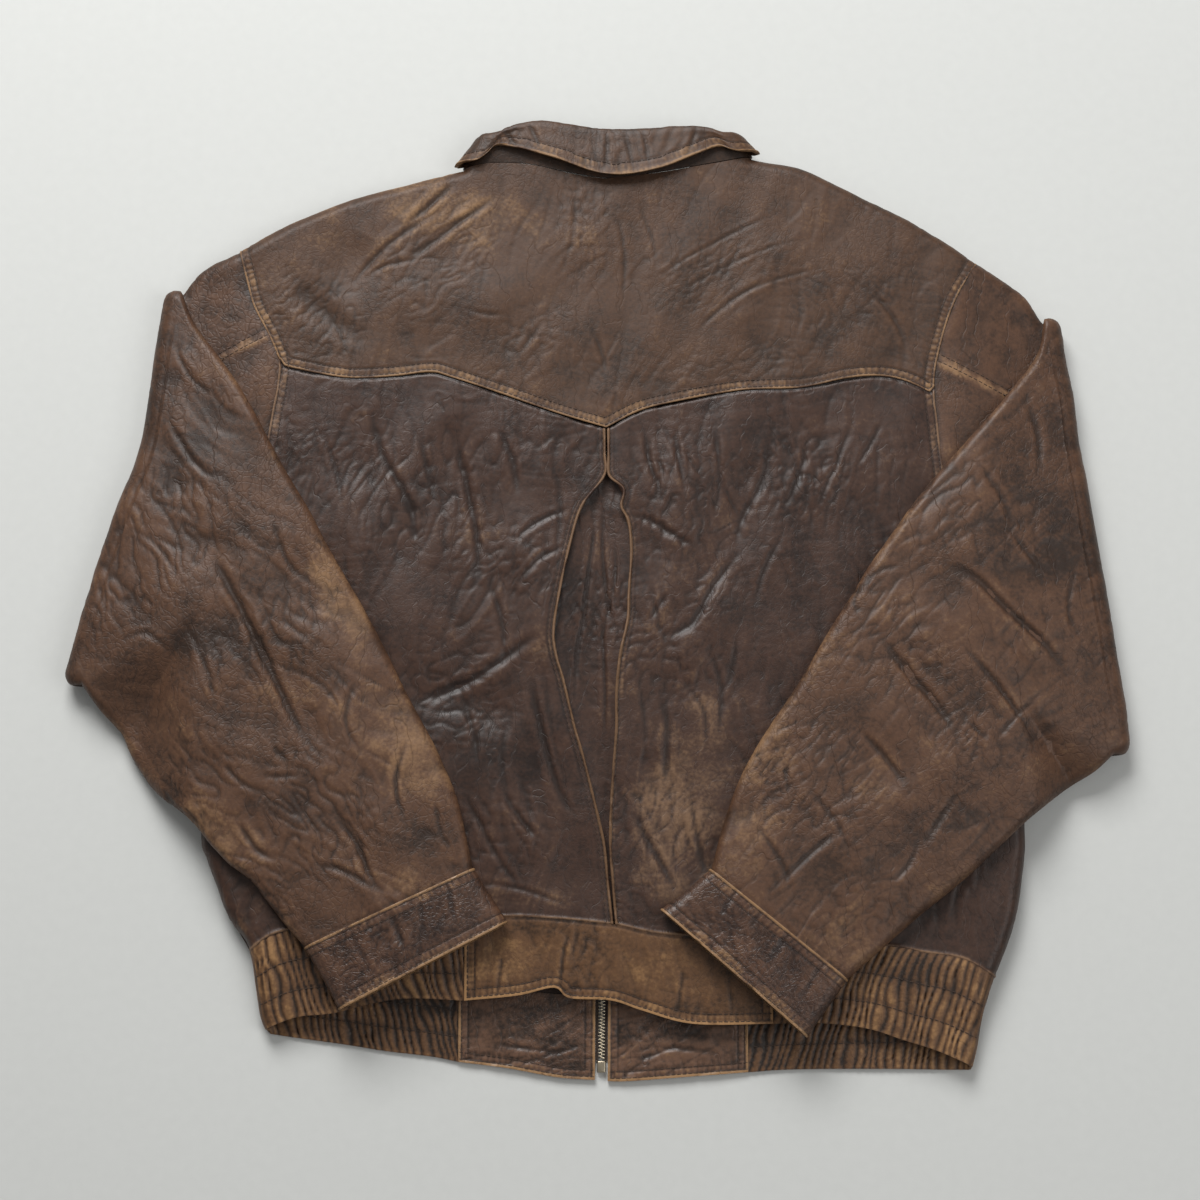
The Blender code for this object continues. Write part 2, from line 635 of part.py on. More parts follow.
def make_fronts():
    """The two fronts, flat on the floor, from the shoulders to the waistband."""
    for side in SIDES:
        arm = along(ARM[side], arm_shares(side, True)[::-1])
        edge = np.vstack([along(SIDE_LINE[side], FRONT_SIDE_SHARES), arm])
        shoulder = along(SHOULDER_LINE[side], SHOULDER_SHARES)
        top = np.vstack([shoulder, front_neck_points(side)])
        bottom = waist_points(FRONT_WAIST_LINE, side)
        y = bottom[-1, 1] + (top[-1, 1] - bottom[-1, 1]) * row_shares(edge)
        middle = np.column_stack([zip_x(y) + zip_sign(side) * ZIP_HALF_GAP, y])
        bottom[-1], top[-1] = middle[0], middle[-1]
        plan = patch(bottom, top, edge, middle)
        on_edge = np.zeros(plan.shape[:2], bool)
        on_edge[: len(FRONT_SIDE_SHARES) + 1, 0] = True
        on_edge[-1, : len(SHOULDER_SHARES) + 1] = True
        points, normals = body_surface(plan.reshape(-1, 2), on_edge.ravel(), top=False)
        shape = (*plan.shape[:2], 3)
        wall(f"front_{side}", points.reshape(shape), normals.reshape(shape), WALL, "body_leather")


def sleeve_ring(outer_of, inner_of, over, under, depth_of):
    """One ring of a sleeve: the outer layer from edge to edge, and back along the inner layer."""
    outer, inner = outer_of(over), inner_of(under)
    rim = lambda shares: inner_of(shares) + EDGE_SHARE * (outer_of(shares) - inner_of(shares))
    over_bend, under_bend = depth_of(over)[:, None], depth_of(under)[:, None]
    outer = rim(over) + over_bend * (outer - rim(over))
    inner = rim(under) + under_bend * (inner - rim(under))
    return split_ring(inner, outer, under)


def ring_depth(width, radius):
    """How far a ring's layers have parted at each share of its width: 0 at its edges, then 1."""
    def depth(shares):
        distance = np.minimum(shares, 1 - shares) * width
        return np.sqrt(1 - (1 - np.clip(distance / radius, 0, 1)) ** 2)

    return depth


def sleeve_shares(width, radius):
    """Shares of the points of a ring's outer and inner layers, from one edge to the other."""
    near = edge_shares(width, radius)
    ends = lambda middle: np.concatenate([[0], near, middle, 1 - near[::-1], [1]])
    return ends(OVER_SHARES), ends(UNDER_SHARES)


def split_ring(inner, outer, under):
    """A closed ring that starts at the under sleeve's seam on the inner layer."""
    seam = int(np.argmin(abs(under - SLEEVE_SEAM)))
    return np.vstack([inner[1 : seam + 1][::-1], outer, inner[seam:-1][::-1][:-1]])


def arm_rings(side):
    """Rings of a sleeve's lower run, from the armhole to its fold, and their normals."""
    rings, normals = [], []
    over, under = arm_shares(side, True), arm_shares(side, False)
    for share in ARM_STATIONS:
        layers = []
        for shares, top in ((over, False), (under, True)):
            plan = (1 - share) * along(ARM[side], shares) + share * along(FOLD[side], shares)
            ends = (shares < 1e-6) | (shares > 1 - 1e-6)
            layers.append(body_surface(plan, ends, top))
        (lower, lower_normal), (upper, upper_normal) = layers
        rings.append(split_ring(upper, lower, under))
        normals.append(split_ring(upper_normal, lower_normal, under))
    return rings, normals


def fold_rings(side):
    """Rings that turn a sleeve over on itself, about the line of its fold."""
    line = FOLD[side]
    length = np.linalg.norm(np.diff(line, axis=0), axis=1).sum()
    over, under = arm_shares(side, True), arm_shares(side, False)
    axis_height = FOLD_HEIGHT + CREASE_GAP / 2
    rings = []
    for angle in np.radians(FOLD_ANGLES):
        def layer(shares, radius, angle=angle):
            at = along(line, shares)
            run = unit(along(line, np.clip(shares + 0.02, 0, 1)) - along(line, np.clip(shares - 0.02, 0, 1)))
            out = -INWARD[side] * np.stack([-run[:, 1], run[:, 0]], axis=1)
            return np.column_stack([at + radius * np.sin(angle) * out,
                                    np.full(len(at), axis_height) - radius * np.cos(angle)])

        rings.append(sleeve_ring(lambda q: layer(q, axis_height), lambda q: layer(q, CREASE_GAP / 2),
                                 over, under, ring_depth(length, EDGE_RADIUS)))
    return rings


def upper_rings(side):
    """Rings of a sleeve's upper run, from its fold to the cuff, lying on what is under it."""
    inner_edge, outer_edge = smooth_line(SLEEVE_INNER[side]), smooth_line(SLEEVE_OUTER[side])
    inner_edge[0], outer_edge[0] = FOLD[side][0], FOLD[side][-1]
    rings = []
    for k in range(1, SLEEVE_STATIONS + 1):
        share = k / SLEEVE_STATIONS
        a, c = along(inner_edge, [share])[0], along(outer_edge, [share])[0]
        width = np.linalg.norm(c - a)
        bow = ease(1 - k / BOW_STATIONS)

        def plan(shares, a=a, c=c, bow=bow):
            straight = a + shares[:, None] * (c - a)
            line = along(FOLD[side], shares)
            chord = FOLD[side][0] + shares[:, None] * (FOLD[side][-1] - FOLD[side][0])
            return straight + bow * (line - chord)

        def inner_of(shares, plan=plan):
            xy = plan(shares)
            return np.column_stack([xy, sleeve_rest(xy)])

        def outer_of(shares, plan=plan):
            xy = plan(shares)
            rest = sleeve_rest(xy)
            arch = np.sin(np.pi * shares)
            thick = SLEEVE_THICKNESS + arch * SLEEVE_BULGE * ease(3 * share)
            thick += arch * (SLEEVE_LOFT * np.maximum(BODY_HEIGHT - rest, 0) + folds(xy, SLEEVE_FOLDS[side]))
            return np.column_stack([xy, rest + thick])

        over, under = sleeve_shares(width, SLEEVE_EDGE)
        rings.append(sleeve_ring(outer_of, inner_of, over, under, ring_depth(width, SLEEVE_EDGE)))
    return rings


def outward(points, normals):
    """Normals of a ring grid turned to point away from the middle of each ring."""
    away = points - points.mean(axis=1, keepdims=True)
    return normals if (away * normals).sum() > 0 else -normals


def make_sleeve(side):
    """A sleeve as two pieces, a top sleeve and an under sleeve, and its cuff."""
    lower, lower_normals = arm_rings(side)
    grid = np.array(lower + fold_rings(side) + upper_rings(side))
    normals = outward(grid, grid_normals(grid, ring=True))
    normals[: len(lower)] = lower_normals
    over, under = arm_shares(side, True), arm_shares(side, False)
    seam = int(np.argmin(abs(under - SLEEVE_SEAM)))
    far_edge = seam + len(over) - 1
    wall(f"sleeve_top_{side}", grid[:, : far_edge + 1], normals[:, : far_edge + 1], WALL, "sleeve_leather")
    around = np.concatenate([np.arange(far_edge, grid.shape[1]), [0]])
    wall(f"sleeve_under_{side}", grid[:, around], normals[:, around], WALL, "sleeve_leather")
    make_cuff(side, grid[-1], normals[-1])


CUFF_STATIONS = (0.0, 0.5, 1.0)
CUFF_RISE = 0.6


def make_cuff(side, ring, normals):
    """A cuff: the sleeve's last ring carried on, a little proud, to its open end."""
    over, _ = sleeve_shares(1.0, 0.0)
    a0, c0 = np.array(SLEEVE_INNER[side][-1], float), np.array(SLEEVE_OUTER[side][-1], float)
    a1, c1 = (np.array(p, float) for p in CUFF_END[side])
    run0 = c0 - a0
    share = ((ring[:, :2] - a0) @ run0) / (run0 @ run0)
    rings = []
    for step in CUFF_STATIONS:
        shift = (1 - share)[:, None] * step * (a1 - a0) + share[:, None] * step * (c1 - c0)
        rings.append(np.column_stack([ring[:, :2] + shift, ring[:, 2]]))
    grid = np.array(rings)
    out = outward(grid, grid_normals(grid, ring=True))
    axis = unit(np.append((a1 + c1 - a0 - c0) / 2, 0.0))
    out = unit(out - (out @ axis)[..., None] * axis)
    wall(f"cuff_{side}", grid + CUFF_RISE * out, out, CUFF_WALL, "band_leather", ring=True, borders="low")


def band_height(xy):
    """The height of the waistband's back, which sinks towards the hem."""
    waist = np.interp(xy[:, 0], *back_line(WAIST_LINE))
    hem = np.interp(xy[:, 0], *back_line(BACK_HEM))
    share = np.clip((waist - xy[:, 1]) / np.maximum(waist - hem, 1), 0, 1)
    return BODY_HEIGHT + (HEM_HEIGHT - BODY_HEIGHT) * share


def back_line(lines):
    """The x and y of a line across the whole back, from left to right."""
    whole = np.vstack([smooth_line(lines["left"]), smooth_line(lines["right"])[::-1]])
    order = np.argsort(whole[:, 0])
    return whole[order, 0], whole[order, 1]


def straight_between(points, x):
    """The y of a line of straight steps at x."""
    order = np.argsort(points[:, 0])
    return np.interp(x, points[order, 0], points[order, 1])


def band_columns(length):
    """Distances from the folded side to a tab: the rounded edge, then two points a gather."""
    near = np.array(EDGE_STEPS) * EDGE_RADIUS
    count = 2 * int(round((length - near[-1]) / GATHER_PITCH))
    return np.concatenate([near, np.linspace(near[-1], length, count + 1)[1:]])


def make_side_band(side):
    """A gathered elastic side of the waistband, from the back tab round to the front tab."""
    back_waist = waist_points(WAIST_LINE, side)
    front_waist = waist_points(FRONT_WAIST_LINE, side)
    ends = {"back": BACK_HEM[side][-1][0], "front": FRONT_HEM[side][-1][0]}
    corner = np.array(BAND_END[side][0], float)
    back_at = band_columns(abs(ends["back"] - corner[0]))
    front_at = band_columns(abs(ends["front"] - corner[0]))
    rows_out, rows_normal = [], []
    for row in GATHER_ROWS:
        fold = along(END_LINE[side], [row])[0]

        def layer(at, waist, hem, tab_x):
            x = fold[0] + (tab_x - fold[0]) * at / at[-1]
            top = straight_between(waist, corner[0] + (tab_x - corner[0]) * at / at[-1])
            low = straight_between(smooth_line(hem), x)
            line = (1 - row) * top + row * low
            start = (1 - row) * corner[1] + row * straight_between(smooth_line(hem), fold[0])
            return np.column_stack([x, line + (fold[1] - start) * (1 - at / at[-1])])

        back = layer(back_at, back_waist, BACK_HEM[side], ends["back"])
        front = layer(front_at, front_waist, FRONT_HEM[side], ends["front"])
        top, top_normal = body_surface(back, np.zeros(len(back), bool), height=band_height)
        edge, edge_normal = body_surface(fold[None], np.array([True]), height=band_height)
        low, low_normal = body_surface(front, np.zeros(len(front), bool), top=False, height=band_height)
        rows_out.append(np.vstack([top[::-1], edge, low]))
        rows_normal.append(np.vstack([top_normal[::-1], edge_normal, low_normal]))
    grid, normals = np.array(rows_out), np.array(rows_normal)
    columns = grid.shape[1]
    zigzag = np.where(np.arange(columns) % 2 == 0, 1.0, 0.0)
    middle = len(back_at)
    from_fold = np.abs(np.arange(columns) - middle)
    calm = np.clip((from_fold - 2) / 2, 0, 1) * (np.arange(columns) > 0) * (np.arange(columns) < columns - 1)
    relief = GATHER_HEIGHT * np.array(GATHER_SHARES)[:, None] * (zigzag * calm)[None, :]
    on_back = np.arange(columns)[None, :] < middle
    wall(f"waistband_side_{side}", grid, normals, BAND_WALL, "band_leather",
         out_relief=relief * on_back, in_relief=relief * ~on_back)


TAB_ROWS = (0.0, 0.33, 0.67, 1.0)


def make_tabs():
    """The plain tabs of the waistband: one at the back and one on each side of the zip."""
    waist = np.vstack([waist_points(WAIST_LINE, "left"), waist_points(WAIST_LINE, "right")[::-1]])
    ends = BACK_TAB_HEM[0][0], BACK_TAB_HEM[-1][0]
    inner = waist[(waist[:, 0] > ends[0] + 2) & (waist[:, 0] < ends[1] - 2), 0]
    x = np.sort(np.concatenate([ends, inner, (-50, -36, -24)]))
    hem = smooth_line(BACK_TAB_HEM)
    plan = np.array([
        np.column_stack([x, (1 - row) * straight_between(waist, x) + row * straight_between(hem, x)])
        for row in TAB_ROWS
    ])
    flat = plan.reshape(-1, 2)
    points, normals = body_surface(flat, np.zeros(len(flat), bool), height=band_height)
    points[:, 2] += TAB_RISE
    shape = (*plan.shape[:2], 3)
    wall("waistband_back", points.reshape(shape), normals.reshape(shape), TAB_WALL, "band_leather")
    for side in SIDES:
        hem = smooth_line(FRONT_TAB_HEM[side])
        waist = waist_points(FRONT_WAIST_LINE, side)
        ends = FRONT_TAB_HEM[side][0][0], FRONT_TAB_HEM[side][-1][0]
        within = (waist[:, 0] > min(ends) + 2) & (waist[:, 0] < max(ends) - 2)
        x = np.concatenate([ends[:1], waist[within, 0], ends[1:]])
        plan = np.array([
            np.column_stack([x, (1 - row) * straight_between(waist, x) + row * straight_between(hem, x)])
            for row in TAB_ROWS
        ])
        plan[:, -1, 0] = zip_x(plan[:, -1, 1]) + zip_sign(side) * ZIP_HALF_GAP
        points = np.dstack([plan, np.zeros(plan.shape[:2])])
        normals = np.zeros_like(points)
        normals[..., 2] = -1
        wall(f"waistband_front_{side}", points, normals, TAB_WALL, "band_leather")


def collar_column(seam, along_stand, out, length, shape, edge):
    """One section of the collar, with its normals: up the stand, over the roll, down the fall."""
    lift, turn = shape["lift"], shape["turn"]
    steps = [(COLLAR_SEAM_GAP, 0), (0.35 * length, lift), (0.7 * length, lift), (length - 4, lift),
             (length - 1.1, lift + 0.15 * turn), (length, lift + 0.5 * turn),
             (length - 1.1, lift + 0.85 * turn), (length - 4, lift + turn)]
    stand = np.array([seam + u * along_stand + o * out for u, o in steps])
    fall = [stand[-1] + share * (edge - stand[-1]) for share in (0.33, 0.67, 1.0)]
    path = np.vstack([stand, fall])
    across = np.cross(along_stand, out)
    steps = unit(np.diff(path, axis=0))
    run = unit(np.vstack([steps[:1], steps]) + np.vstack([steps, steps[-1:]]))
    return path, unit(np.cross(run, across))


def collar_rim(seam, along_stand, out, shape, edge, share):
    """A point of the free edge: over the stand at the side fold, and on its own outline past it."""
    reach = (edge[:2] - seam[:2]) @ along_stand[:2]
    over = seam + reach * along_stand + (shape["lift"] + shape["turn"]) * out
    return (1 - share) * over + share * edge


def collar_half(side):
    """Sections of half the collar, from the back's middle over the side fold to the zip."""
    shares = neck_shares(side)
    line, roll = smooth_line(NECK_LINE[side]), smooth_line(COLLAR_ROLL[side])
    edge = smooth_line(COLLAR_EDGE[side])
    distance = shares * np.linalg.norm(np.diff(line, axis=0), axis=1).sum()
    turned = 1 - np.clip(distance / EDGE_RADIUS, 0, 1)
    bend = np.sqrt(1 - turned**2)
    neck = along(line, shares)
    on_edge = shares < 1e-6
    sideways = np.array([*COLLAR_SIDE[side], 0.0])
    top, top_normal = body_surface(neck, on_edge, creases=BODY_FOLDS)
    back = top - top_normal * WALL
    columns = []
    calm = ease((distance - NECK_STEPS[3]) / COLLAR_CALM)
    for k in range(len(shares))[::-1]:
        crest, rim = along(roll, [1 - shares[k]])[0], along(edge, [1 - shares[k]])[0]
        run = unit(np.append(crest - neck[k], 0.0))
        out = unit(turned[k] * sideways + bend[k] * np.array([0, 0, 1.0]))
        out = unit(out - (out @ run) * run)
        shape = {key: value + bend[k] * (COLLAR_BACK[key] - value) for key, value in COLLAR_AT_FOLD.items()}
        length = np.linalg.norm(crest - neck[k])
        rim = collar_rim(back[k], run, out, shape, rim, calm[k])
        columns.append(collar_column(back[k], run, out, length, shape, rim))
    front_neck = front_neck_points(side)
    low, low_normal = body_surface(front_neck, on_edge, top=False)
    front = low - low_normal * (COLLAR_WALL + COLLAR_FLOOR_GAP)
    side_stand = roll[-1] - neck[0]
    for k in range(1, len(shares)):
        share = ease(NECK_STEPS[k] / NECK_STEPS[-1]) if k < len(NECK_STEPS) else 1.0
        crest = front_neck[k] + (1 - share) * side_stand + share * np.array([0, COLLAR_FRONT_STAND])
        reach = (1 - bend[k]) * ((edge[-1, :2] - neck[0]) @ unit(side_stand)) + bend[k] * COLLAR_FRONT_GAP
        run = unit(np.append(crest - front_neck[k], 0.0))
        out = unit(turned[k] * sideways - bend[k] * np.array([0, 0, 1.0]))
        out = unit(out - (out @ run) * run)
        shape = {key: value + bend[k] * (COLLAR_FRONT[key] - value) for key, value in COLLAR_AT_FOLD.items()}
        length = np.linalg.norm(crest - front_neck[k])
        rim = front[k] + reach * run + (shape["lift"] + shape["turn"]) * out
        columns.append(collar_column(front[k], run, out, length, shape, rim))
    return np.array(columns)


def make_collar():
    """The collar, one folded band from the zip round the neck to the zip again."""
    left, right = collar_half("left"), collar_half("right")
    mirrored = left[::-1]
    grid = np.vstack([mirrored[:, 0], right[1:, 0]])
    normals = np.vstack([mirrored[:, 1], right[1:, 1]])
    grid[..., 2] = np.maximum(grid[..., 2], COLLAR_FLOOR_GAP)
    wall("collar", grid, normals, COLLAR_WALL, "yoke_leather", borders="left")


def make_zip():
    """The zip: a tape along each front, the box at the hem and the slider at the neck."""
    y = np.linspace(BACK_HEM_LOW + 8, FRONT_NECK_POINT[1] - 4, 14)
    for side in SIDES:
        sign = zip_sign(side)
        x0 = zip_x(y) + sign * (ZIP_HALF_GAP - SEAM_GAP)
        x1 = x0 - sign * TAPE_WIDTH
        grid = np.stack([np.column_stack([x0, y]), np.column_stack([x1, y])], axis=1)
        points = np.dstack([grid, np.full(grid.shape[:2], 0.6 + TAPE_WALL)])
        normals = np.zeros_like(points)
        normals[..., 2] = 1
        wall(f"zip_tape_{side}", points, normals, TAPE_WALL, "zip_tape", borders="")
    low = BACK_HEM_LOW + 8 - BOX_SIZE[1] / 2 - SEAM_GAP
    block("zip_box", (zip_x(low), low, BOX_SIZE[2] / 2 + 0.3), BOX_SIZE, "zip_metal")
    high = FRONT_NECK_POINT[1] - 4 + SLIDER_SIZE[1] / 2 + SEAM_GAP
    block("zip_slider", (zip_x(high), high, SLIDER_SIZE[2] / 2 + 0.3), SLIDER_SIZE, "zip_metal", bevel=1.0)


BACK_HEM_LOW = -372.0


def move_to_origin():
    """Puts the jacket's box so that the middle of its underside is the origin."""
    pieces = [piece.data for piece in bpy.context.scene.objects]
    points = []
    for mesh in pieces:
        flat = np.empty(3 * len(mesh.vertices))
        mesh.vertices.foreach_get("co", flat)
        points.append(flat.reshape(-1, 3))
    low = np.min([p.min(axis=0) for p in points], axis=0)
    high = np.max([p.max(axis=0) for p in points], axis=0)
    shift = np.array([(low[0] + high[0]) / 2, (low[1] + high[1]) / 2, low[2]])
    for mesh, moved in zip(pieces, points):
        mesh.vertices.foreach_set("co", (moved - shift).ravel())
        mesh.update()


def main():
    """Clears the scene and makes every piece."""
    for old in list(bpy.data.objects):
        bpy.data.objects.remove(old)
    make_yoke()
    make_back_panels()
    make_pleat_insert()
    make_fronts()
    for side in SIDES:
        make_sleeve(side)
        make_side_band(side)
    make_tabs()
    make_collar()
    make_zip()
    move_to_origin()


main()
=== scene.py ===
"""Dresses the worn leather blouson: creased leather, gathered bands, topstitching and the zip's chain.

The jacket lies face down on a floor, its sleeves folded across its back. Sizes are in millimetres
seen from above, x to the jacket's right, y to its collar, z up from the floor, as in the part's
source; Frame turns them into the frame's metres. Left and right are the wearer's. Every piece is a
thin shell on the surface of its solid, with the creases of the leather laid over it.
"""

import logging
from dataclasses import dataclass, field
from enum import Enum
from typing import Callable, Optional, Sequence

import bpy
import numpy as np
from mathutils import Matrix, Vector
from mathutils.bvhtree import BVHTree


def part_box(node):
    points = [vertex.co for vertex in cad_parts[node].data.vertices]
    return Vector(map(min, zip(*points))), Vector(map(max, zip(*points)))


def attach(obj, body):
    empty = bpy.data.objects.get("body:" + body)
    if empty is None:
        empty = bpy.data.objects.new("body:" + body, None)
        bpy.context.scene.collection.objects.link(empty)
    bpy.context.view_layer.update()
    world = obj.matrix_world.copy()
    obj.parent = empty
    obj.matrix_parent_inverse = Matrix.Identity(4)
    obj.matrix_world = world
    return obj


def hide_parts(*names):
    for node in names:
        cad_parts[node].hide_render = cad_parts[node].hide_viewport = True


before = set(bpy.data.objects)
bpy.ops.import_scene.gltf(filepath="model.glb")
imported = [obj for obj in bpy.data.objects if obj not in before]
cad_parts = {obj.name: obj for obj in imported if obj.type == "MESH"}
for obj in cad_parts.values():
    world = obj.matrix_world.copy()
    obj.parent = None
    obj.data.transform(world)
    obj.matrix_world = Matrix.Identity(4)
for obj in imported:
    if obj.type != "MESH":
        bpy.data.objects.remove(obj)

logging.basicConfig(level=logging.INFO, format="%(message)s")
log = logging.getLogger("jacket")

MM = 0.001

# In millimetres: the least height of leather above the floor, how far the dressing of a seam reaches,
# and half of the gap between the fronts' edges.
FLOOR_CLEAR = 0.05
SEAM_REACH = 26.0
ZIP_HALF_GAP = 5.0

# The rows of stitches beside each seam or edge, in millimetres from it.
DOUBLE_ROWS = (1.9, 7.6)
HEAD_ROWS = (1.9, 7.4)
PLEAT_ROWS = (2.6, 6.2)
CUFF_SEAM_ROWS = (2.4, 8.8)
CUFF_MOUTH_ROWS = (2.6, 9.0)
BACK_TAB_ROWS = (2.2, 8.2)
FRONT_TAB_ROWS = (2.4, 7.6)
COLLAR_ROWS = (2.0, 9.2)

Array = np.ndarray
Line = list[tuple[float, float]]
UP = np.array([0.0, 0.0, 1.0])


class Side(Enum):
    """The wearer's left and right."""

    LEFT = "left"
    RIGHT = "right"

    @property
    def inward(self) -> int:
        """The direction along x from this side to the middle."""
        return 1 if self is Side.LEFT else -1


class Layer(Enum):
    """Which face of the flat body a surface belongs to."""

    TOP = "top"
    FLOOR = "floor"


# ---------------------------------------------------------------- curves and surfaces


def curve(points: Sequence, spans: int = 8) -> Array:
    """A smooth curve through points.

    Args:
        points: the points that it passes through.
        spans: the straight steps between two of them.

    Returns:
        The curve's points: on each span the cubic of Catmull and Rom.
    """
    p = np.array(points, float)
    ends = np.vstack([2 * p[0] - p[1], p, 2 * p[-1] - p[-2]])
    t = np.linspace(0, 1, spans, endpoint=False)[:, None]
    parts = []
    for a, b, c, d in zip(ends, ends[1:], ends[2:], ends[3:]):
        square = (2 * a - 5 * b + 4 * c - d) * t**2
        cube = (3 * b - a - 3 * c + d) * t**3
        parts.append(0.5 * (2 * b + (c - a) * t + square + cube))
    return np.vstack(parts + [p[-1:]])


def lengths(line: Array) -> Array:
    """The length of a line of straight steps up to each of its points."""
    return np.concatenate([[0], np.cumsum(np.linalg.norm(np.diff(line, axis=0), axis=1))])


def along(line: Array, shares: Array) -> Array:
    """The points at these shares of a line's length.

    Args:
        line: the line's points.
        shares: shares of its length, from 0 to 1.

    Returns:
        The points, in as many dimensions as the line has.
    """
    length = lengths(line)
    at = np.asarray(shares, float) * length[-1]
    return np.stack([np.interp(at, length, line[:, k]) for k in range(line.shape[1])], axis=-1)


def length_of(line: Array) -> float:
    """The length of a line of straight steps."""
    return float(np.linalg.norm(np.diff(line, axis=0), axis=1).sum())


def offset(line: Array, distance: float) -> Array:
    """A line moved sideways, to the left of its direction where the distance is positive."""
    run = unit(np.gradient(line, axis=0))
    return line + distance * np.stack([-run[:, 1], run[:, 0]], axis=1)


def unit(v: Array) -> Array:
    """Vectors of length one."""
    return v / np.maximum(np.linalg.norm(v, axis=-1, keepdims=True), 1e-12)


def ease(x: Array) -> Array:
    """A smooth step from 0 to 1."""
    x = np.clip(x, 0, 1)
    return x * x * (3 - 2 * x)


def spread(length: float, step: float, edge: float = 0.0, both: bool = False) -> Array:
    """Shares of a length, closer together over a rounded edge at its start.

    Args:
        length: the length that is shared out.
        step: the distance between two points away from the edge.
        edge: the radius of the rounded edge, or 0 where there is none.
        both: whether the other end is rounded too.

    Returns:
        Rising shares from 0 to 1. On the edge they follow 1 - cos, as a quarter circle seen from above.
    """
    count = max(2, int(round((length - edge * (2 if both else 1)) / step)))
    if not edge:
        return np.linspace(0, 1, count + 1)
    near = edge * (1 - np.cos(np.linspace(0, np.pi / 2, 9)))
    far = length - near[::-1] if both else np.array([length])
    middle = np.linspace(near[-1], far[0], count + 1)[1:-1]
    return np.concatenate([near, middle, far]) / length


def nearest(xy: Array, lines: Sequence[Array], block: int = 6000) -> tuple[Array, Array, Array, Array]:
    """The nearest place on some lines to each point.

    Args:
        xy: the points.
        lines: the lines, each an array of points.
        block: how many points are measured at a time.

    Returns:
        For each point the distance, the unit vector away from the line, the length along the line,
        and the side of the line it lies on, 1 to the left of its direction and -1 to the right.
    """
    flat = xy.reshape(-1, 2)
    a = np.vstack([line[:-1] for line in lines])
    run = np.vstack([np.diff(line, axis=0) for line in lines])
    size = np.maximum((run * run).sum(-1), 1e-9)
    at = np.concatenate([np.cumsum(np.linalg.norm(np.diff(line, axis=0), axis=1)) for line in lines])
    steps = np.sqrt(size)
    best, away, where, hand = [], [], [], []
    for start in range(0, len(flat), block):
        part = flat[start : start + block]
        dx, dy = part[:, 0:1] - a[:, 0], part[:, 1:2] - a[:, 1]
        share = np.clip((dx * run[:, 0] + dy * run[:, 1]) / size, 0, 1)
        gx, gy = dx - share * run[:, 0], dy - share * run[:, 1]
        pick = (gx * gx + gy * gy).argmin(axis=1)
        rows = np.arange(len(part))
        gap = np.stack([gx[rows, pick], gy[rows, pick]], axis=1)
        far = np.linalg.norm(gap, axis=1)
        cross = run[pick, 0] * gap[:, 1] - run[pick, 1] * gap[:, 0]
        inner = unit(np.stack([-run[pick, 1], run[pick, 0]], axis=1))
        inner *= np.sign((inner * -part).sum(1) + 1e-9)[:, None]
        best.append(far)
        away.append(np.where(far[:, None] > 1e-3, unit(gap), inner))
        where.append(at[pick] - (1 - share[rows, pick]) * steps[pick])
        hand.append(np.where(cross >= 0, 1.0, -1.0))
    shape = xy.shape[:-1]
    return (np.concatenate(best).reshape(shape), np.concatenate(away).reshape(xy.shape),
            np.concatenate(where).reshape(shape), np.concatenate(hand).reshape(shape))


def turned_axes(xy: Array, angle: float, centre: Sequence[float] = (0.0, 0.0)) -> tuple[Array, Array]:
    """The coordinates of plan points on axes of their own.

    Args:
        xy: plan points.
        angle: the angle of the first axis, in degrees.
        centre: where the axes meet.

    Returns:
        The coordinates along the first and along the second axis.
    """
    turn = np.radians(angle)
    dx, dy = xy[..., 0] - centre[0], xy[..., 1] - centre[1]
    return dx * np.cos(turn) + dy * np.sin(turn), dy * np.cos(turn) - dx * np.sin(turn)


def ring_lengths(grid: Array) -> Array:
    """The length along each closed row of a grid, up to each of its points."""
    around = np.linalg.norm(np.diff(grid, axis=1, append=grid[:, :1]), axis=2)
    return np.cumsum(around, axis=1) - around


def inside(xy: Array, ring: Array) -> Array:
    """Which points lie inside a closed outline.

    Args:
        xy: plan points.
        ring: the outline's points, in order.

    Returns:
        True where a line drawn from the point crosses the outline an odd number of times.
    """
    flat = xy.reshape(-1, 2)
    x0, y0 = ring[:, 0], ring[:, 1]
    x1, y1 = np.roll(x0, -1), np.roll(y0, -1)
    slope = (x1 - x0) / np.where(y1 == y0, 1e-9, y1 - y0)
    crossing = (y0 > flat[:, 1:2]) != (y1 > flat[:, 1:2])
    under = flat[:, 0:1] < x0 + (flat[:, 1:2] - y0) * slope
    return ((crossing & under).sum(axis=1) % 2 == 1).reshape(xy.shape[:-1])


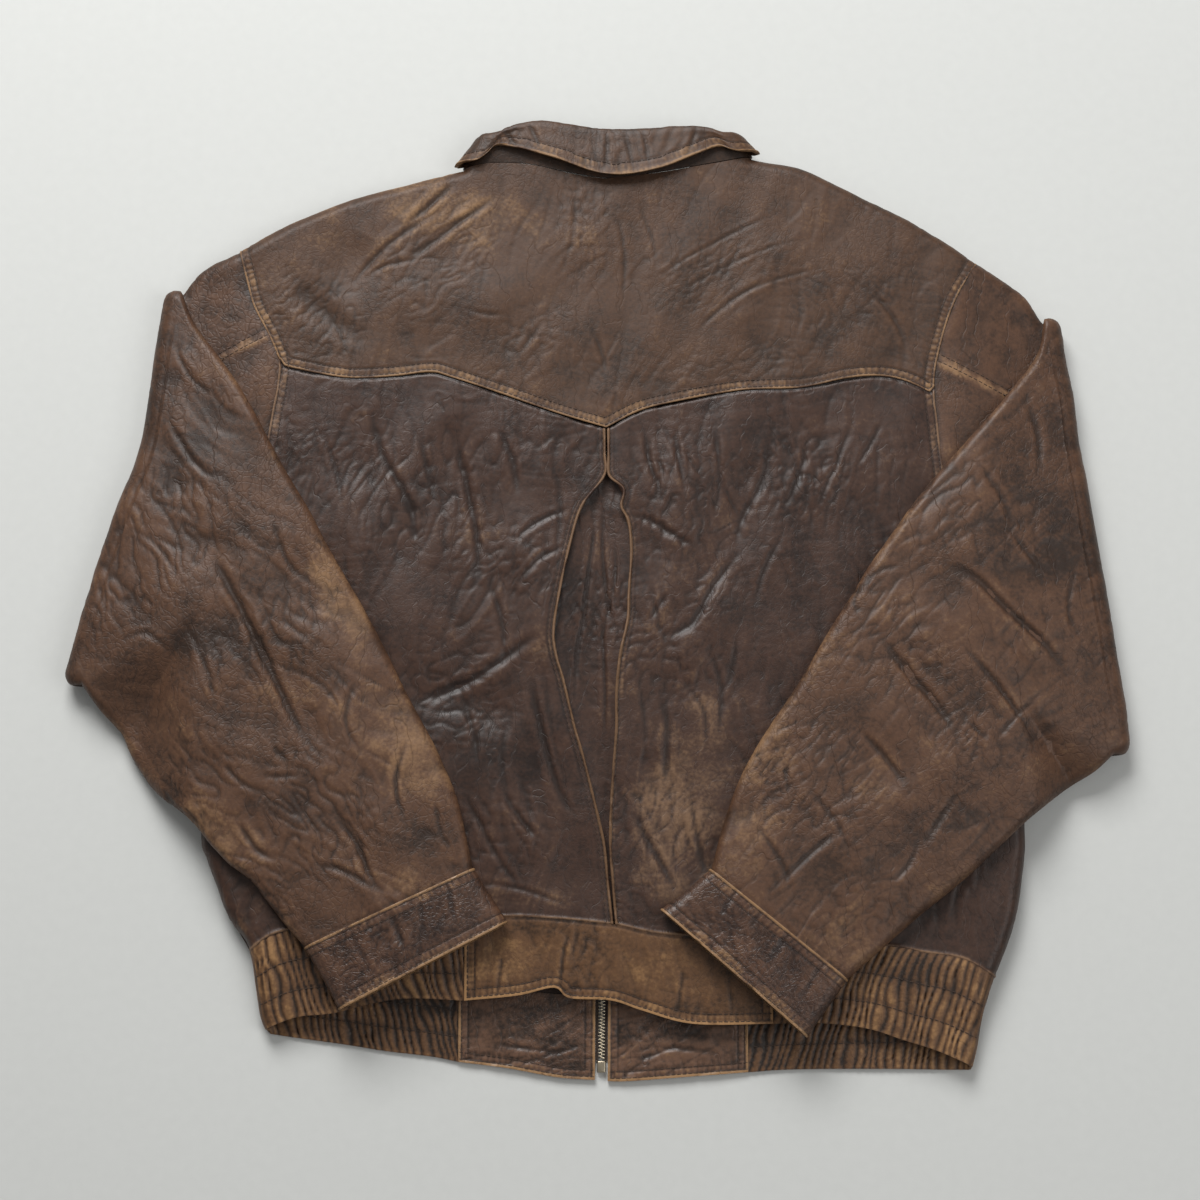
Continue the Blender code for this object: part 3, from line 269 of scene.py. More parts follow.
def patch(bottom: Array, top: Array, left: Array, right: Array) -> Array:
    """A grid of plan points between four edges (Coons).

    Args:
        bottom: points of the lower edge, from left to right.
        top: as many points of the upper edge.
        left: points of the left edge, from bottom to top.
        right: as many points of the right edge.

    Returns:
        A grid of rows by columns of points: the blend of the two pairs of edges, less the blend
        of the four corners.
    """
    def shares(first: Array, second: Array) -> Array:
        """The mean shares of two edges' lengths at their points.

        Args:
            first: points of one edge.
            second: as many points of the other.

        Returns:
            Rising shares from 0 to 1.
        """
        steps = np.linalg.norm(np.diff(first, axis=0), axis=1)
        steps = steps + np.linalg.norm(np.diff(second, axis=0), axis=1)
        return np.concatenate([[0], np.cumsum(steps)]) / steps.sum()

    s, t = shares(bottom, top)[None, :, None], shares(left, right)[:, None, None]
    ruled = (1 - t) * bottom[None] + t * top[None] + (1 - s) * left[:, None] + s * right[:, None]
    corners = (1 - s) * (1 - t) * bottom[0] + s * (1 - t) * bottom[-1]
    return ruled - corners - (1 - s) * t * top[0] - s * t * top[-1]


def grid_normals(points: Array, ring: bool = False) -> Array:
    """Unit normals of a grid of points: the way along its rows times the way along its columns.

    Args:
        points: the grid.
        ring: whether its last column is joined to its first.

    Returns:
        One normal for each point.
    """
    if ring:
        across = np.roll(points, -1, axis=1) - np.roll(points, 1, axis=1)
    else:
        across = np.gradient(points, axis=1)
    return unit(np.cross(unit(across), unit(np.gradient(points, axis=0))))


def resampled(grid: Array, shares: Array, axis: int) -> Array:
    """A grid read again at finer places along one axis.

    Args:
        grid: points, rows by columns.
        shares: rising shares of the mean length along the axis.
        axis: 0 for rows and 1 for columns.

    Returns:
        Points of cubic Hermite curves through the old points, whose slopes are those of the
        parabolas through each three neighbours.
    """
    p = np.moveaxis(grid, axis, 0)
    chords = np.linalg.norm(np.diff(p, axis=0), axis=2).mean(axis=1)
    u = np.concatenate([[0], np.cumsum(chords)])
    slope = np.gradient(p, u, axis=0)
    at = np.clip(np.asarray(shares) * u[-1], 0, u[-1])
    k = np.clip(np.searchsorted(u, at, side="right") - 1, 0, len(u) - 2)
    h = (u[k + 1] - u[k])[:, None, None]
    t = ((at - u[k]) / (u[k + 1] - u[k]))[:, None, None]
    ends = (2 * t**3 - 3 * t**2 + 1) * p[k] + (3 * t**2 - 2 * t**3) * p[k + 1]
    slopes = (t**3 - 2 * t**2 + t) * h * slope[k] + (t**3 - t**2) * h * slope[k + 1]
    return np.moveaxis(ends + slopes, 0, axis)


def softened(values: Array, reach: int) -> Array:
    """Values of a grid averaged over a square of points on each side, twice.

    Args:
        values: one value for each point of the grid.
        reach: half of the square's side, in points.

    Returns:
        The averages, from running sums along each axis in turn.
    """
    out = values
    for _ in range(2):
        for axis in (0, 1):
            pads = [(reach + 1, reach) if k == axis else (0, 0) for k in (0, 1)]
            total = np.cumsum(np.pad(out, pads, mode="edge"), axis=axis)
            size = 2 * reach + 1
            ahead = np.take(total, np.arange(size, total.shape[axis]), axis)
            behind = np.take(total, np.arange(total.shape[axis] - size), axis)
            out = (ahead - behind) / size
    return out


# ---------------------------------------------------------------- creases


def noise(u: Array, v: Array, seed: int) -> Array:
    """Smooth noise from -1 to 1.

    Args:
        u: first coordinate, one unit to a cell.
        v: second coordinate.
        seed: which of the patterns is read.

    Returns:
        Gradient noise: the slopes at a cell's four corners, blended by a fifth-degree step.
    """
    iu, iv = np.floor(u).astype(np.int64), np.floor(v).astype(np.int64)
    fu, fv = u - iu, v - iv

    def corner(du: int, dv: int) -> Array:
        """What the slope at one corner of the cell gives.

        Args:
            du: 0 or 1, the corner's side across.
            dv: 0 or 1, its side up.

        Returns:
            The slope times the way from the corner. Its angle comes from the cell's numbers.
        """
        h = (iu + du) * 374761393 + (iv + dv) * 668265263 + seed * 144665
        h = (h ^ (h >> 13)) * 1274126177
        angle = ((h ^ (h >> 16)) & 4095) * (2 * np.pi / 4096)
        return np.cos(angle) * (fu - du) + np.sin(angle) * (fv - dv)

    su, sv = (f**3 * (f * (6 * f - 15) + 10) for f in (fu, fv))
    low = corner(0, 0) * (1 - su) + corner(1, 0) * su
    high = corner(0, 1) * (1 - su) + corner(1, 1) * su
    return 1.5 * (low * (1 - sv) + high * sv)


def plateau(n: Array, width: float) -> Array:
    """1 - exp(-|n| / width): level ground, parted by narrow valleys where the noise n is 0."""
    return 1 - np.exp(-np.abs(n) / width)


@dataclass(frozen=True)
class Rumple:
    """Puffs of leather parted by winding creases, in one oval of a panel."""

    SHARE = 0.6
    VALLEY = 0.14
    LEVEL = 0.7

    centre: tuple[float, float]
    reach: tuple[float, float]
    angle: float
    wave: float
    stretch: float
    height: float
    seed: int = 1

    def rise(self, xy: Array) -> Array:
        """The height of the rumples.

        Args:
            xy: plan points.

        Returns:
            share * height * (1 - exp(-|n| / valley) - level) inside the oval, fading at its rim, where
            n is noise whose cells are drawn out along the angle by the stretch and bent by slower noise.
        """
        u, v = turned_axes(xy, self.angle, self.centre)
        mask = ease(1.6 * (1 - np.hypot(u / self.reach[0], v / self.reach[1])))
        bend = 0.35 * self.wave * noise(u / (3 * self.wave), v / (3 * self.wave), self.seed + 50)
        n = noise((u + bend) / (self.wave * self.stretch), (v + 2 * bend) / self.wave, self.seed)
        return self.SHARE * self.height * mask * (plateau(n, self.VALLEY) - self.LEVEL)


@dataclass(frozen=True)
class Crease:
    """One fold pressed or worn into the leather, along a given line."""

    line: tuple[tuple[float, float], ...]
    width: float
    depth: float
    lip: float = 0.35

    def rise(self, xy: Array) -> Array:
        """The trough of the fold and the soft lips beside it.

        Args:
            xy: plan points.

        Returns:
            -depth * (exp(-(d / w)^2) - lip * exp(-((d - 2w) / 1.4w)^2)), sinking to 0 at both ends,
            where d is the distance from the fold's line.
        """
        line = curve(self.line, 5)
        low = line.min(axis=0) - 6 * self.width
        high = line.max(axis=0) + 6 * self.width
        near = ((xy > low) & (xy < high)).all(axis=-1)
        out = np.zeros(xy.shape[:-1])
        if not near.any():
            return out
        d, _, where, _ = nearest(xy[near], [line])
        share = where / length_of(line)
        fade = ease(2.6 * share) * ease(2.6 * (1 - share))
        past = np.where((share <= 0) | (share >= 1), ease(1 - d / self.width), 1.0)
        trough = np.exp(-((d / self.width) ** 2))
        lips = np.exp(-(((d - 2 * self.width) / (1.4 * self.width)) ** 2))
        out[near] = -self.depth * fade * past * (trough - self.lip * lips)
        return out


# How much of a fold's width and depth in the tables is built.
FOLD_WIDTH = 0.6
FOLD_DEPTH = 0.85


def creases(rows: Sequence[tuple]) -> list[Crease]:
    """Creases from rows of a width, a depth and the points of the fold's line."""
    return [Crease(tuple(line), FOLD_WIDTH * width, FOLD_DEPTH * depth) for width, depth, *line in rows]


@dataclass(frozen=True)
class Wear:
    """A place where the leather is rubbed to tan, or has stayed dark where the amount is negative."""

    centre: tuple[float, float]
    reach: tuple[float, float]
    angle: float
    amount: float

    def tint(self, xy: Array) -> Array:
        """The amount, fading over the oval's outer half, with a ragged rim.

        Args:
            xy: plan points.

        Returns:
            The amount at each point.
        """
        u, v = turned_axes(xy, self.angle, self.centre)
        ragged = 0.3 * noise(xy[..., 0] / 26, xy[..., 1] / 26, 7)
        return self.amount * ease(1.35 * (1 - np.hypot(u / self.reach[0], v / self.reach[1])) + ragged)


@dataclass
class Skin:
    """All that is laid over one piece: its folds, rumples and places of wear."""

    folds: list[Crease] = field(default_factory=list)
    rumples: list[Rumple] = field(default_factory=list)
    wear: list[Wear] = field(default_factory=list)
    soft: float = 0.7
    fine: float = 0.32
    seed: int = 1
    lean: float = 60.0

    def rise(self, at: Array) -> Array:
        """The relief of the leather.

        Args:
            at: points of the surface. Their heights shift the pattern, so that it runs on down
                a rounded edge.

        Returns:
            Slow swells over the whole piece, and on them narrow valleys, narrow ridges and small
            valleys across them, whose cells are 64 by 19, 56 by 14 and 34 by 10 mm and which are
            fainter in calm places; plus each rumple and each fold.
        """
        xy = at[..., :2] + np.stack([0.7 * at[..., 2], 0.4 * at[..., 2]], axis=-1)
        u, v = turned_axes(xy, self.lean)
        bend = 9 * noise(u / 70, v / 70, self.seed + 3)
        out = self.soft * noise((u + bend) / 62, (v - bend) / 38, self.seed)
        valleys = plateau(noise((u + bend) / 64, (v + bend) / 19, self.seed + 1), 0.11)
        ridges = plateau(noise((u - bend) / 56, (v + 2 * bend) / 14, self.seed + 2), 0.1)
        small = plateau(noise((v + bend) / 34, (u - bend) / 10, self.seed + 6), 0.13)
        calm = np.clip(0.55 + 0.6 * noise(u / 55, v / 55, self.seed + 4), 0.12, 1.2)
        out += self.fine * calm * (0.95 * (valleys - 0.75) - 0.75 * (ridges - 0.75) + 0.5 * (small - 0.7))
        for rumple in self.rumples:
            out += rumple.rise(xy)
        for fold in self.folds:
            out += fold.rise(at[..., :2])
        return out

    def tint(self, at: Array) -> Array:
        """The wear of the leather from 0, dark, to 1, tan, before its seams are added.

        Args:
            at: points of the surface.

        Returns:
            A middle value with slow drifts and small spots, plus each place of wear.
        """
        xy = at[..., :2]
        drift = 0.14 * noise(xy[..., 0] / 80, xy[..., 1] / 80, self.seed + 9)
        spots = 0.10 * noise(xy[..., 0] / 21, xy[..., 1] / 15, self.seed + 12)
        return 0.22 + drift + spots + sum(place.tint(xy) for place in self.wear)


# ---------------------------------------------------------------- seams and shells


@dataclass(frozen=True)
class Seam:
    """The dressing of a sewn edge: a rolled rim, rows of stitches, and puckered ribs between them."""

    GROOVE_WIDTH = 0.75
    GROOVE_DEPTH = 0.42
    GROOVE_SHADE = 0.22

    rows: tuple[float, ...] = (1.8, 7.6)
    roll: float = 0.7
    ribs: float = 0.42
    pitch: float = 4.6
    tan: float = 0.34
    rim: float = 0.3
    seed: int = 3

    def profile(self, d: Array, where: Array) -> tuple[Array, Array]:
        """The relief and the wear beside a seam.

        Args:
            d: distances from the seam, into the piece.
            where: lengths along the seam.

        Returns:
            The rise, roll * exp(-((d - 1) / 1.2)^2), plus ribs as |sin| of the length between the
            first and the last row and fading past it, less a groove at each row; and the wear, most
            at the rim and on the ribs, in patches, less painted shade in each row's groove. Where tan
            and rim are negative, the seam's strip is darkened instead: painted shadow.
        """
        last = self.rows[-1] if self.rows else 2.0
        first = self.rows[0] if len(self.rows) > 1 else 1.5
        drift = 0.55 * noise(where / 13, d / 15, self.seed)
        wave = np.abs(np.sin(np.pi * (where / self.pitch + drift))) ** 0.8 - 0.5
        between = ease((d - first) / 0.9) * ease((last - d) / 0.9)
        beyond = ease((d - last) / 0.8) * np.exp(-np.maximum(d - last, 0) / 4.5)
        strip = ease(first + 0.6 - d)
        rise = self.roll * np.exp(-(((d - 1.0) / 1.2) ** 2)) + self.ribs * wave * (between + 0.55 * beyond)
        shade = np.zeros_like(rise)
        for row in self.rows:
            groove = np.exp(-(((d - row) / self.GROOVE_WIDTH) ** 2))
            rise = rise - self.GROOVE_DEPTH * groove
            # Painted shade: darker in each row's groove.
            shade = shade - self.GROOVE_SHADE * groove
        patchy = np.clip(0.75 + 0.8 * noise(where / 23, d / 30, self.seed + 5), 0.15, 1.3)
        tint = self.tan * ease((last + 1.6 - d) / 2.4) * (1 + 0.7 * wave) + self.rim * strip
        return rise, patchy * tint + shade


@dataclass
class Surface:
    """A grid of points in millimetres with outward normals, and what is laid over it."""

    points: Array
    normals: Array
    ring: bool = False

    def __post_init__(self) -> None:
        """Starts with no relief laid over it, and no wear or painted shade."""
        self.rise = np.zeros(self.points.shape[:2])
        self.tint = np.zeros(self.points.shape[:2])

    @classmethod
    def facing(cls, points: Array, towards: Sequence[float] = UP, ring: bool = False) -> "Surface":
        """A surface whose normals mostly point the given way.

        Args:
            points: the grid of points.
            towards: the way that it faces, one for all points or one for each.
            ring: whether its last column is joined to its first.

        Returns:
            The surface.
        """
        normals = grid_normals(points, ring)
        return cls(points, normals if (normals * towards).sum() > 0 else -normals, ring)

    def lay(self, skin: Skin, weight: Array | float = 1.0) -> None:
        """Adds a skin's relief and wear, as much as the weight says."""
        self.rise += weight * skin.rise(self.points)
        self.tint += weight * skin.tint(self.points)

    def sew(self, seam: Seam, d: Array, where: Array, weight: Array | float = 1.0) -> None:
        """Adds a seam's relief, and its wear and painted shade, within the reach of seams.

        Args:
            seam: the dressing.
            d: distances from the seam.
            where: lengths along it.
            weight: how much of it is added.
        """
        near = (d < SEAM_REACH) & (np.broadcast_to(weight, d.shape) > 0)
        rise, tint = seam.profile(d[near], np.broadcast_to(where, d.shape)[near])
        share = np.broadcast_to(weight, d.shape)[near]
        self.rise[near] += share * rise
        self.tint[near] += share * tint

    def sew_line(self, seam: Seam, line: Array, weight: Array | float = 1.0) -> None:
        """Adds a seam along a line in plan.

        Args:
            seam: the dressing.
            line: the seam's points in plan.
            weight: how much of it is added.
        """
        xy = self.points[..., :2]
        low, high = line.min(axis=0) - SEAM_REACH, line.max(axis=0) + SEAM_REACH
        near = ((xy > low) & (xy < high)).all(axis=-1)
        if not near.any():
            return
        d, where = np.full(xy.shape[:2], np.inf), np.zeros(xy.shape[:2])
        d[near], _, where[near], _ = nearest(xy[near], [line])
        self.sew(seam, d, where, weight)

    @classmethod
    def outward(cls, points: Array, ring: bool = False) -> "Surface":
        """A surface whose normals mostly point away from the middle of each of its rows."""
        return cls.facing(points, points - points.mean(axis=1, keepdims=True), ring)

    def part(self, rows: Array | slice, columns: Array) -> "Surface":
        """Some rows and columns of this surface, as an open surface with its relief and wear.

        Args:
            rows: the rows that it keeps.
            columns: the columns that it keeps.

        Returns:
            The smaller surface.
        """
        out = Surface(self.points[rows][:, columns], self.normals[rows][:, columns])
        out.rise, out.tint = self.rise[rows][:, columns], self.tint[rows][:, columns]
        return out

    def outer(self) -> Array:
        """The points moved out along their normals by the relief, and kept off the floor.

        Returns:
            The grid of points of the finished face.
        """
        moved = self.points + self.normals * self.rise[..., None]
        moved[..., 2] = np.maximum(moved[..., 2], FLOOR_CLEAR)
        return moved

    def cut(self) -> tuple[float, float, float]:
        """The flat width, length and area of the piece's cut, in metres and square metres.

        Returns:
            The longest row, the longest column, and the sum of the faces' areas.
        """
        closed = np.concatenate([self.points, self.points[:, :1]], axis=1) if self.ring else self.points
        across = np.linalg.norm(np.diff(closed, axis=1), axis=2)
        down = np.linalg.norm(np.diff(closed, axis=0), axis=2)
        first, second = np.diff(closed, axis=1)[:-1], np.diff(closed, axis=0)[:, :-1]
        area = np.linalg.norm(np.cross(first, second), axis=2).sum()
        width, length = across.sum(axis=1).max(), down.sum(axis=0).max()
        return width * MM, length * MM, min(area, 0.999 * width * length) * MM * MM


class Frame:
    """Turns the jacket's millimetres into the frame's metres, and makes objects from them."""

    HEM_LOW = -372.0
    BOX_LENGTH = 9.0
    SEAM_GAP = 0.36

    def __init__(self) -> None:
        """Finds the frame's origin from the zip's box, whose place in millimetres is known."""
        low, high = (np.array(corner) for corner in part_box("zip_box"))
        y = self.HEM_LOW + 8 - self.BOX_LENGTH / 2 - self.SEAM_GAP
        centre = (low + high) / 2
        self.shift = np.array([zip_x(y) * MM - centre[0], y * MM - centre[1], 0.0])

    def metres(self, points: Array) -> Array:
        """Points of the jacket in the frame's metres."""
        return points * MM - self.shift

    def object(self, name: str, vertices: Array, faces: list, finish: bpy.types.Material,
               marks: Optional[dict[str, Array]] = None, sharp: float = 62.0) -> bpy.types.Object:
        """A mesh object at the origin, from points in millimetres.

        Args:
            name: the piece's name.
            vertices: the points.
            faces: the faces, as tuples of point numbers.
            finish: the material.
            marks: values at each point, by name, for the material.
            sharp: the angle in degrees from which an edge is sharp.

        Returns:
            The object, already in the scene.
        """
        mesh = bpy.data.meshes.new(name)
        mesh.from_pydata(self.metres(vertices).tolist(), [], faces)
        mesh.update()
        mesh.shade_smooth()
        mesh.set_sharp_from_angle(angle=np.radians(sharp))
        for key, values in (marks or {}).items():
            made = mesh.attributes.new(key, "FLOAT", "POINT")
            made.data.foreach_set("value", np.asarray(values, np.float32).ravel())
        mesh.materials.append(finish)
        piece = bpy.data.objects.new(name, mesh)
        bpy.context.scene.collection.objects.link(piece)
        return piece


def zip_x(y: Array | float) -> Array | float:
    """The x of the zip's middle line at a height y of the plan."""
    hem, neck = (1.0, -378.0), (5.0, 284.0)
    return hem[0] + (neck[0] - hem[0]) * (y - hem[1]) / (neck[1] - hem[1])


def stops(count: int, step: int) -> Array:
    """Every step-th number below count, and the last one."""
    return np.unique(np.append(np.arange(0, count - 1, step), count - 1))


def quads(index: Array, ring: bool = False) -> Array:
    """The four-sided faces of a grid of point numbers.

    Args:
        index: the point numbers, rows by columns.
        ring: whether the last column is joined to the first.

    Returns:
        Four point numbers for each face.
    """
    ahead = np.concatenate([index, index[:, :1]], axis=1) if ring else index
    corners = (ahead[:-1, :-1], ahead[:-1, 1:], ahead[1:, 1:], ahead[1:, :-1])
    return np.stack(corners, axis=-1).reshape(-1, 4)


def rim(edge: Array, at: Array, under: Array, turned: bool) -> list[tuple]:
    """The faces between a fine edge and a coarse edge below it, one for each coarse step.

    Args:
        edge: point numbers of the fine edge.
        at: which of them the coarse edge has points for.
        under: point numbers of the coarse edge.
        turned: whether the faces are turned round.

    Returns:
        The faces, as tuples of point numbers.
    """
    faces = []
    for k in range(len(at) - 1):
        face = [*edge[at[k] : at[k + 1] + 1], under[k + 1], under[k]]
        faces.append(tuple(int(v) for v in (face[::-1] if turned else face)))
    return faces


@dataclass
class Shells:
    """Makes closed shells of leather from surfaces, and keeps what the stitching is laid on."""

    # How many points the near and the wide average of the relief reach to each side.
    NEAR = 3
    WIDE = 9

    space: Frame
    finishes: "Finishes"
    trees: dict[str, BVHTree] = field(default_factory=dict)

    def make(self, node: str, finish: str, surface: Surface, wall: float, held: Optional[str],
             rests: Sequence[str], inner: Optional[Surface] = None, step: int = 6) -> bpy.types.Object:
        """Args:
            node: the node of the frame that it stands for, which its name starts with.
            finish: the short name of its finish, which also sets the end of its name.
            surface: the outer face.
            wall: its thickness in millimetres.
            held: how the sheet is held, or None where it is too narrow to be one. Not used.
            rests: the nodes that it lies on. Not used.
            inner: the inner face, where it shows and has a relief of its own.
            step: how many of the outer face's points the plain inner face skips.

        Returns:
            The piece: two faces, with a rim round their edges.
        """
        name = f"{node}_cloth" if finish == "tape" else f"{node}_leather"
        outer = surface.outer()
        rows, columns = outer.shape[:2]
        ring = surface.ring
        if inner is not None:
            i, j = np.arange(rows), np.arange(columns)
            under = inner.outer()
        else:
            i = stops(rows, step)
            j = np.arange(0, columns, step) if ring else stops(columns, step)
            under = (outer - wall * surface.normals)[np.ix_(i, j)]
            under[..., 2] = np.maximum(under[..., 2], FLOOR_CLEAR)
        index = np.arange(rows * columns).reshape(rows, columns)
        below = rows * columns + np.arange(len(i) * len(j)).reshape(len(i), len(j))
        faces = [tuple(f) for f in quads(index, ring).tolist()]
        faces += [tuple(f) for f in quads(below, ring)[:, ::-1].tolist()]
        if ring:
            at = np.append(j, columns)
            fine, coarse = np.c_[index, index[:, :1]], np.c_[below, below[:, :1]]
        else:
            at, fine, coarse = j, index, below
            faces += rim(index[:, 0], i, below[:, 0], False) + rim(index[:, -1], i, below[:, -1], True)
        faces += rim(fine[0], at, coarse[0], True) + rim(fine[-1], at, coarse[-1], False)
        if (grid_normals(surface.points, ring) * surface.normals).sum() < 0:
            faces = [f[::-1] for f in faces]
        marks = self.marks(surface, inner, i, j)
        vertices = np.vstack([outer.reshape(-1, 3), under.reshape(-1, 3)])
        piece = self.space.object(name, vertices, faces, self.finishes[finish], marks)
        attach(piece, "root")
        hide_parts(node)
        shown = [outer] + ([under] if inner is not None else [])
        self.trees[name] = self.tree(shown, ring)
        return piece

    def marks(self, surface: Surface, inner: Optional[Surface], i: Array, j: Array) -> dict[str, Array]:
        """Wear, painted crease shade and ridges at each point of a shell.

        Args:
            surface: the outer face.
            inner: the inner face, or None where it is plain.
            i: the rows that the plain inner face keeps.
            j: its columns.

        Returns:
            The wear as laid, with the seams' and bands' painted shade in it; the relief below its own near
            and wide averages, which darkens the colour as painted shade in the creases; and the relief above
            them. Each is from 0 to 1. A plain inner face has wear only.
        """
        out = {"wear": [], "crease_shade": [], "ridge": []}
        for face in (surface, inner):
            if face is None:
                out["wear"].append(surface.tint[np.ix_(i, j)].ravel())
                for key in ("crease_shade", "ridge"):
                    out[key].append(np.zeros(len(i) * len(j)))
                continue
            above = face.rise - softened(face.rise, self.NEAR)
            wide = face.rise - softened(face.rise, self.WIDE)
            # The wear mark also holds the painted shade of the seams and the bands.
            out["wear"].append(face.tint.ravel())
            # Painted shade: where the relief sinks below its averages, the colour is darkened.
            out["crease_shade"].append(np.clip(-1.5 * above - 0.35 * wide, 0, 1).ravel())
            out["ridge"].append(np.clip(1.6 * above + 0.2 * wide, 0, 1).ravel())
        return {key: np.concatenate(parts) for key, parts in out.items()}

    def tree(self, grids: Sequence[Array], ring: bool) -> BVHTree:
        """A search tree over the faces that show, in the frame's metres.

        Args:
            grids: grids of points in millimetres.
            ring: whether their last columns are joined to their first.

        Returns:
            The tree.
        """
        vertices, faces, start = [], [], 0
        for grid in grids:
            index = start + np.arange(grid.shape[0] * grid.shape[1]).reshape(grid.shape[:2])
            faces += quads(index, ring).tolist()
            vertices.append(self.space.metres(grid.reshape(-1, 3)))
            start += index.size
        return BVHTree.FromPolygons(np.vstack(vertices).tolist(), faces)


# ---------------------------------------------------------------- the jacket's outlines


@dataclass(frozen=True)
class Half:
    """The outlines of one half of the jacket, each from the middle of the plan's own sizes."""

    shoulder: Line
    head: Line
    arm: Line
    fold: Line
    side: Line
    band_end: Line
    yoke: Line
    neck: Line
    pleat: Line
    waist: Line
    front_waist: Line
    back_hem: Line
    front_hem: Line
    tab_hem: Line
    sleeve_inner: Line
    sleeve_outer: Line
    cuff_end: Line
    roll: Line
    edge: Line
    collar_side: tuple[float, float]
    bends: tuple


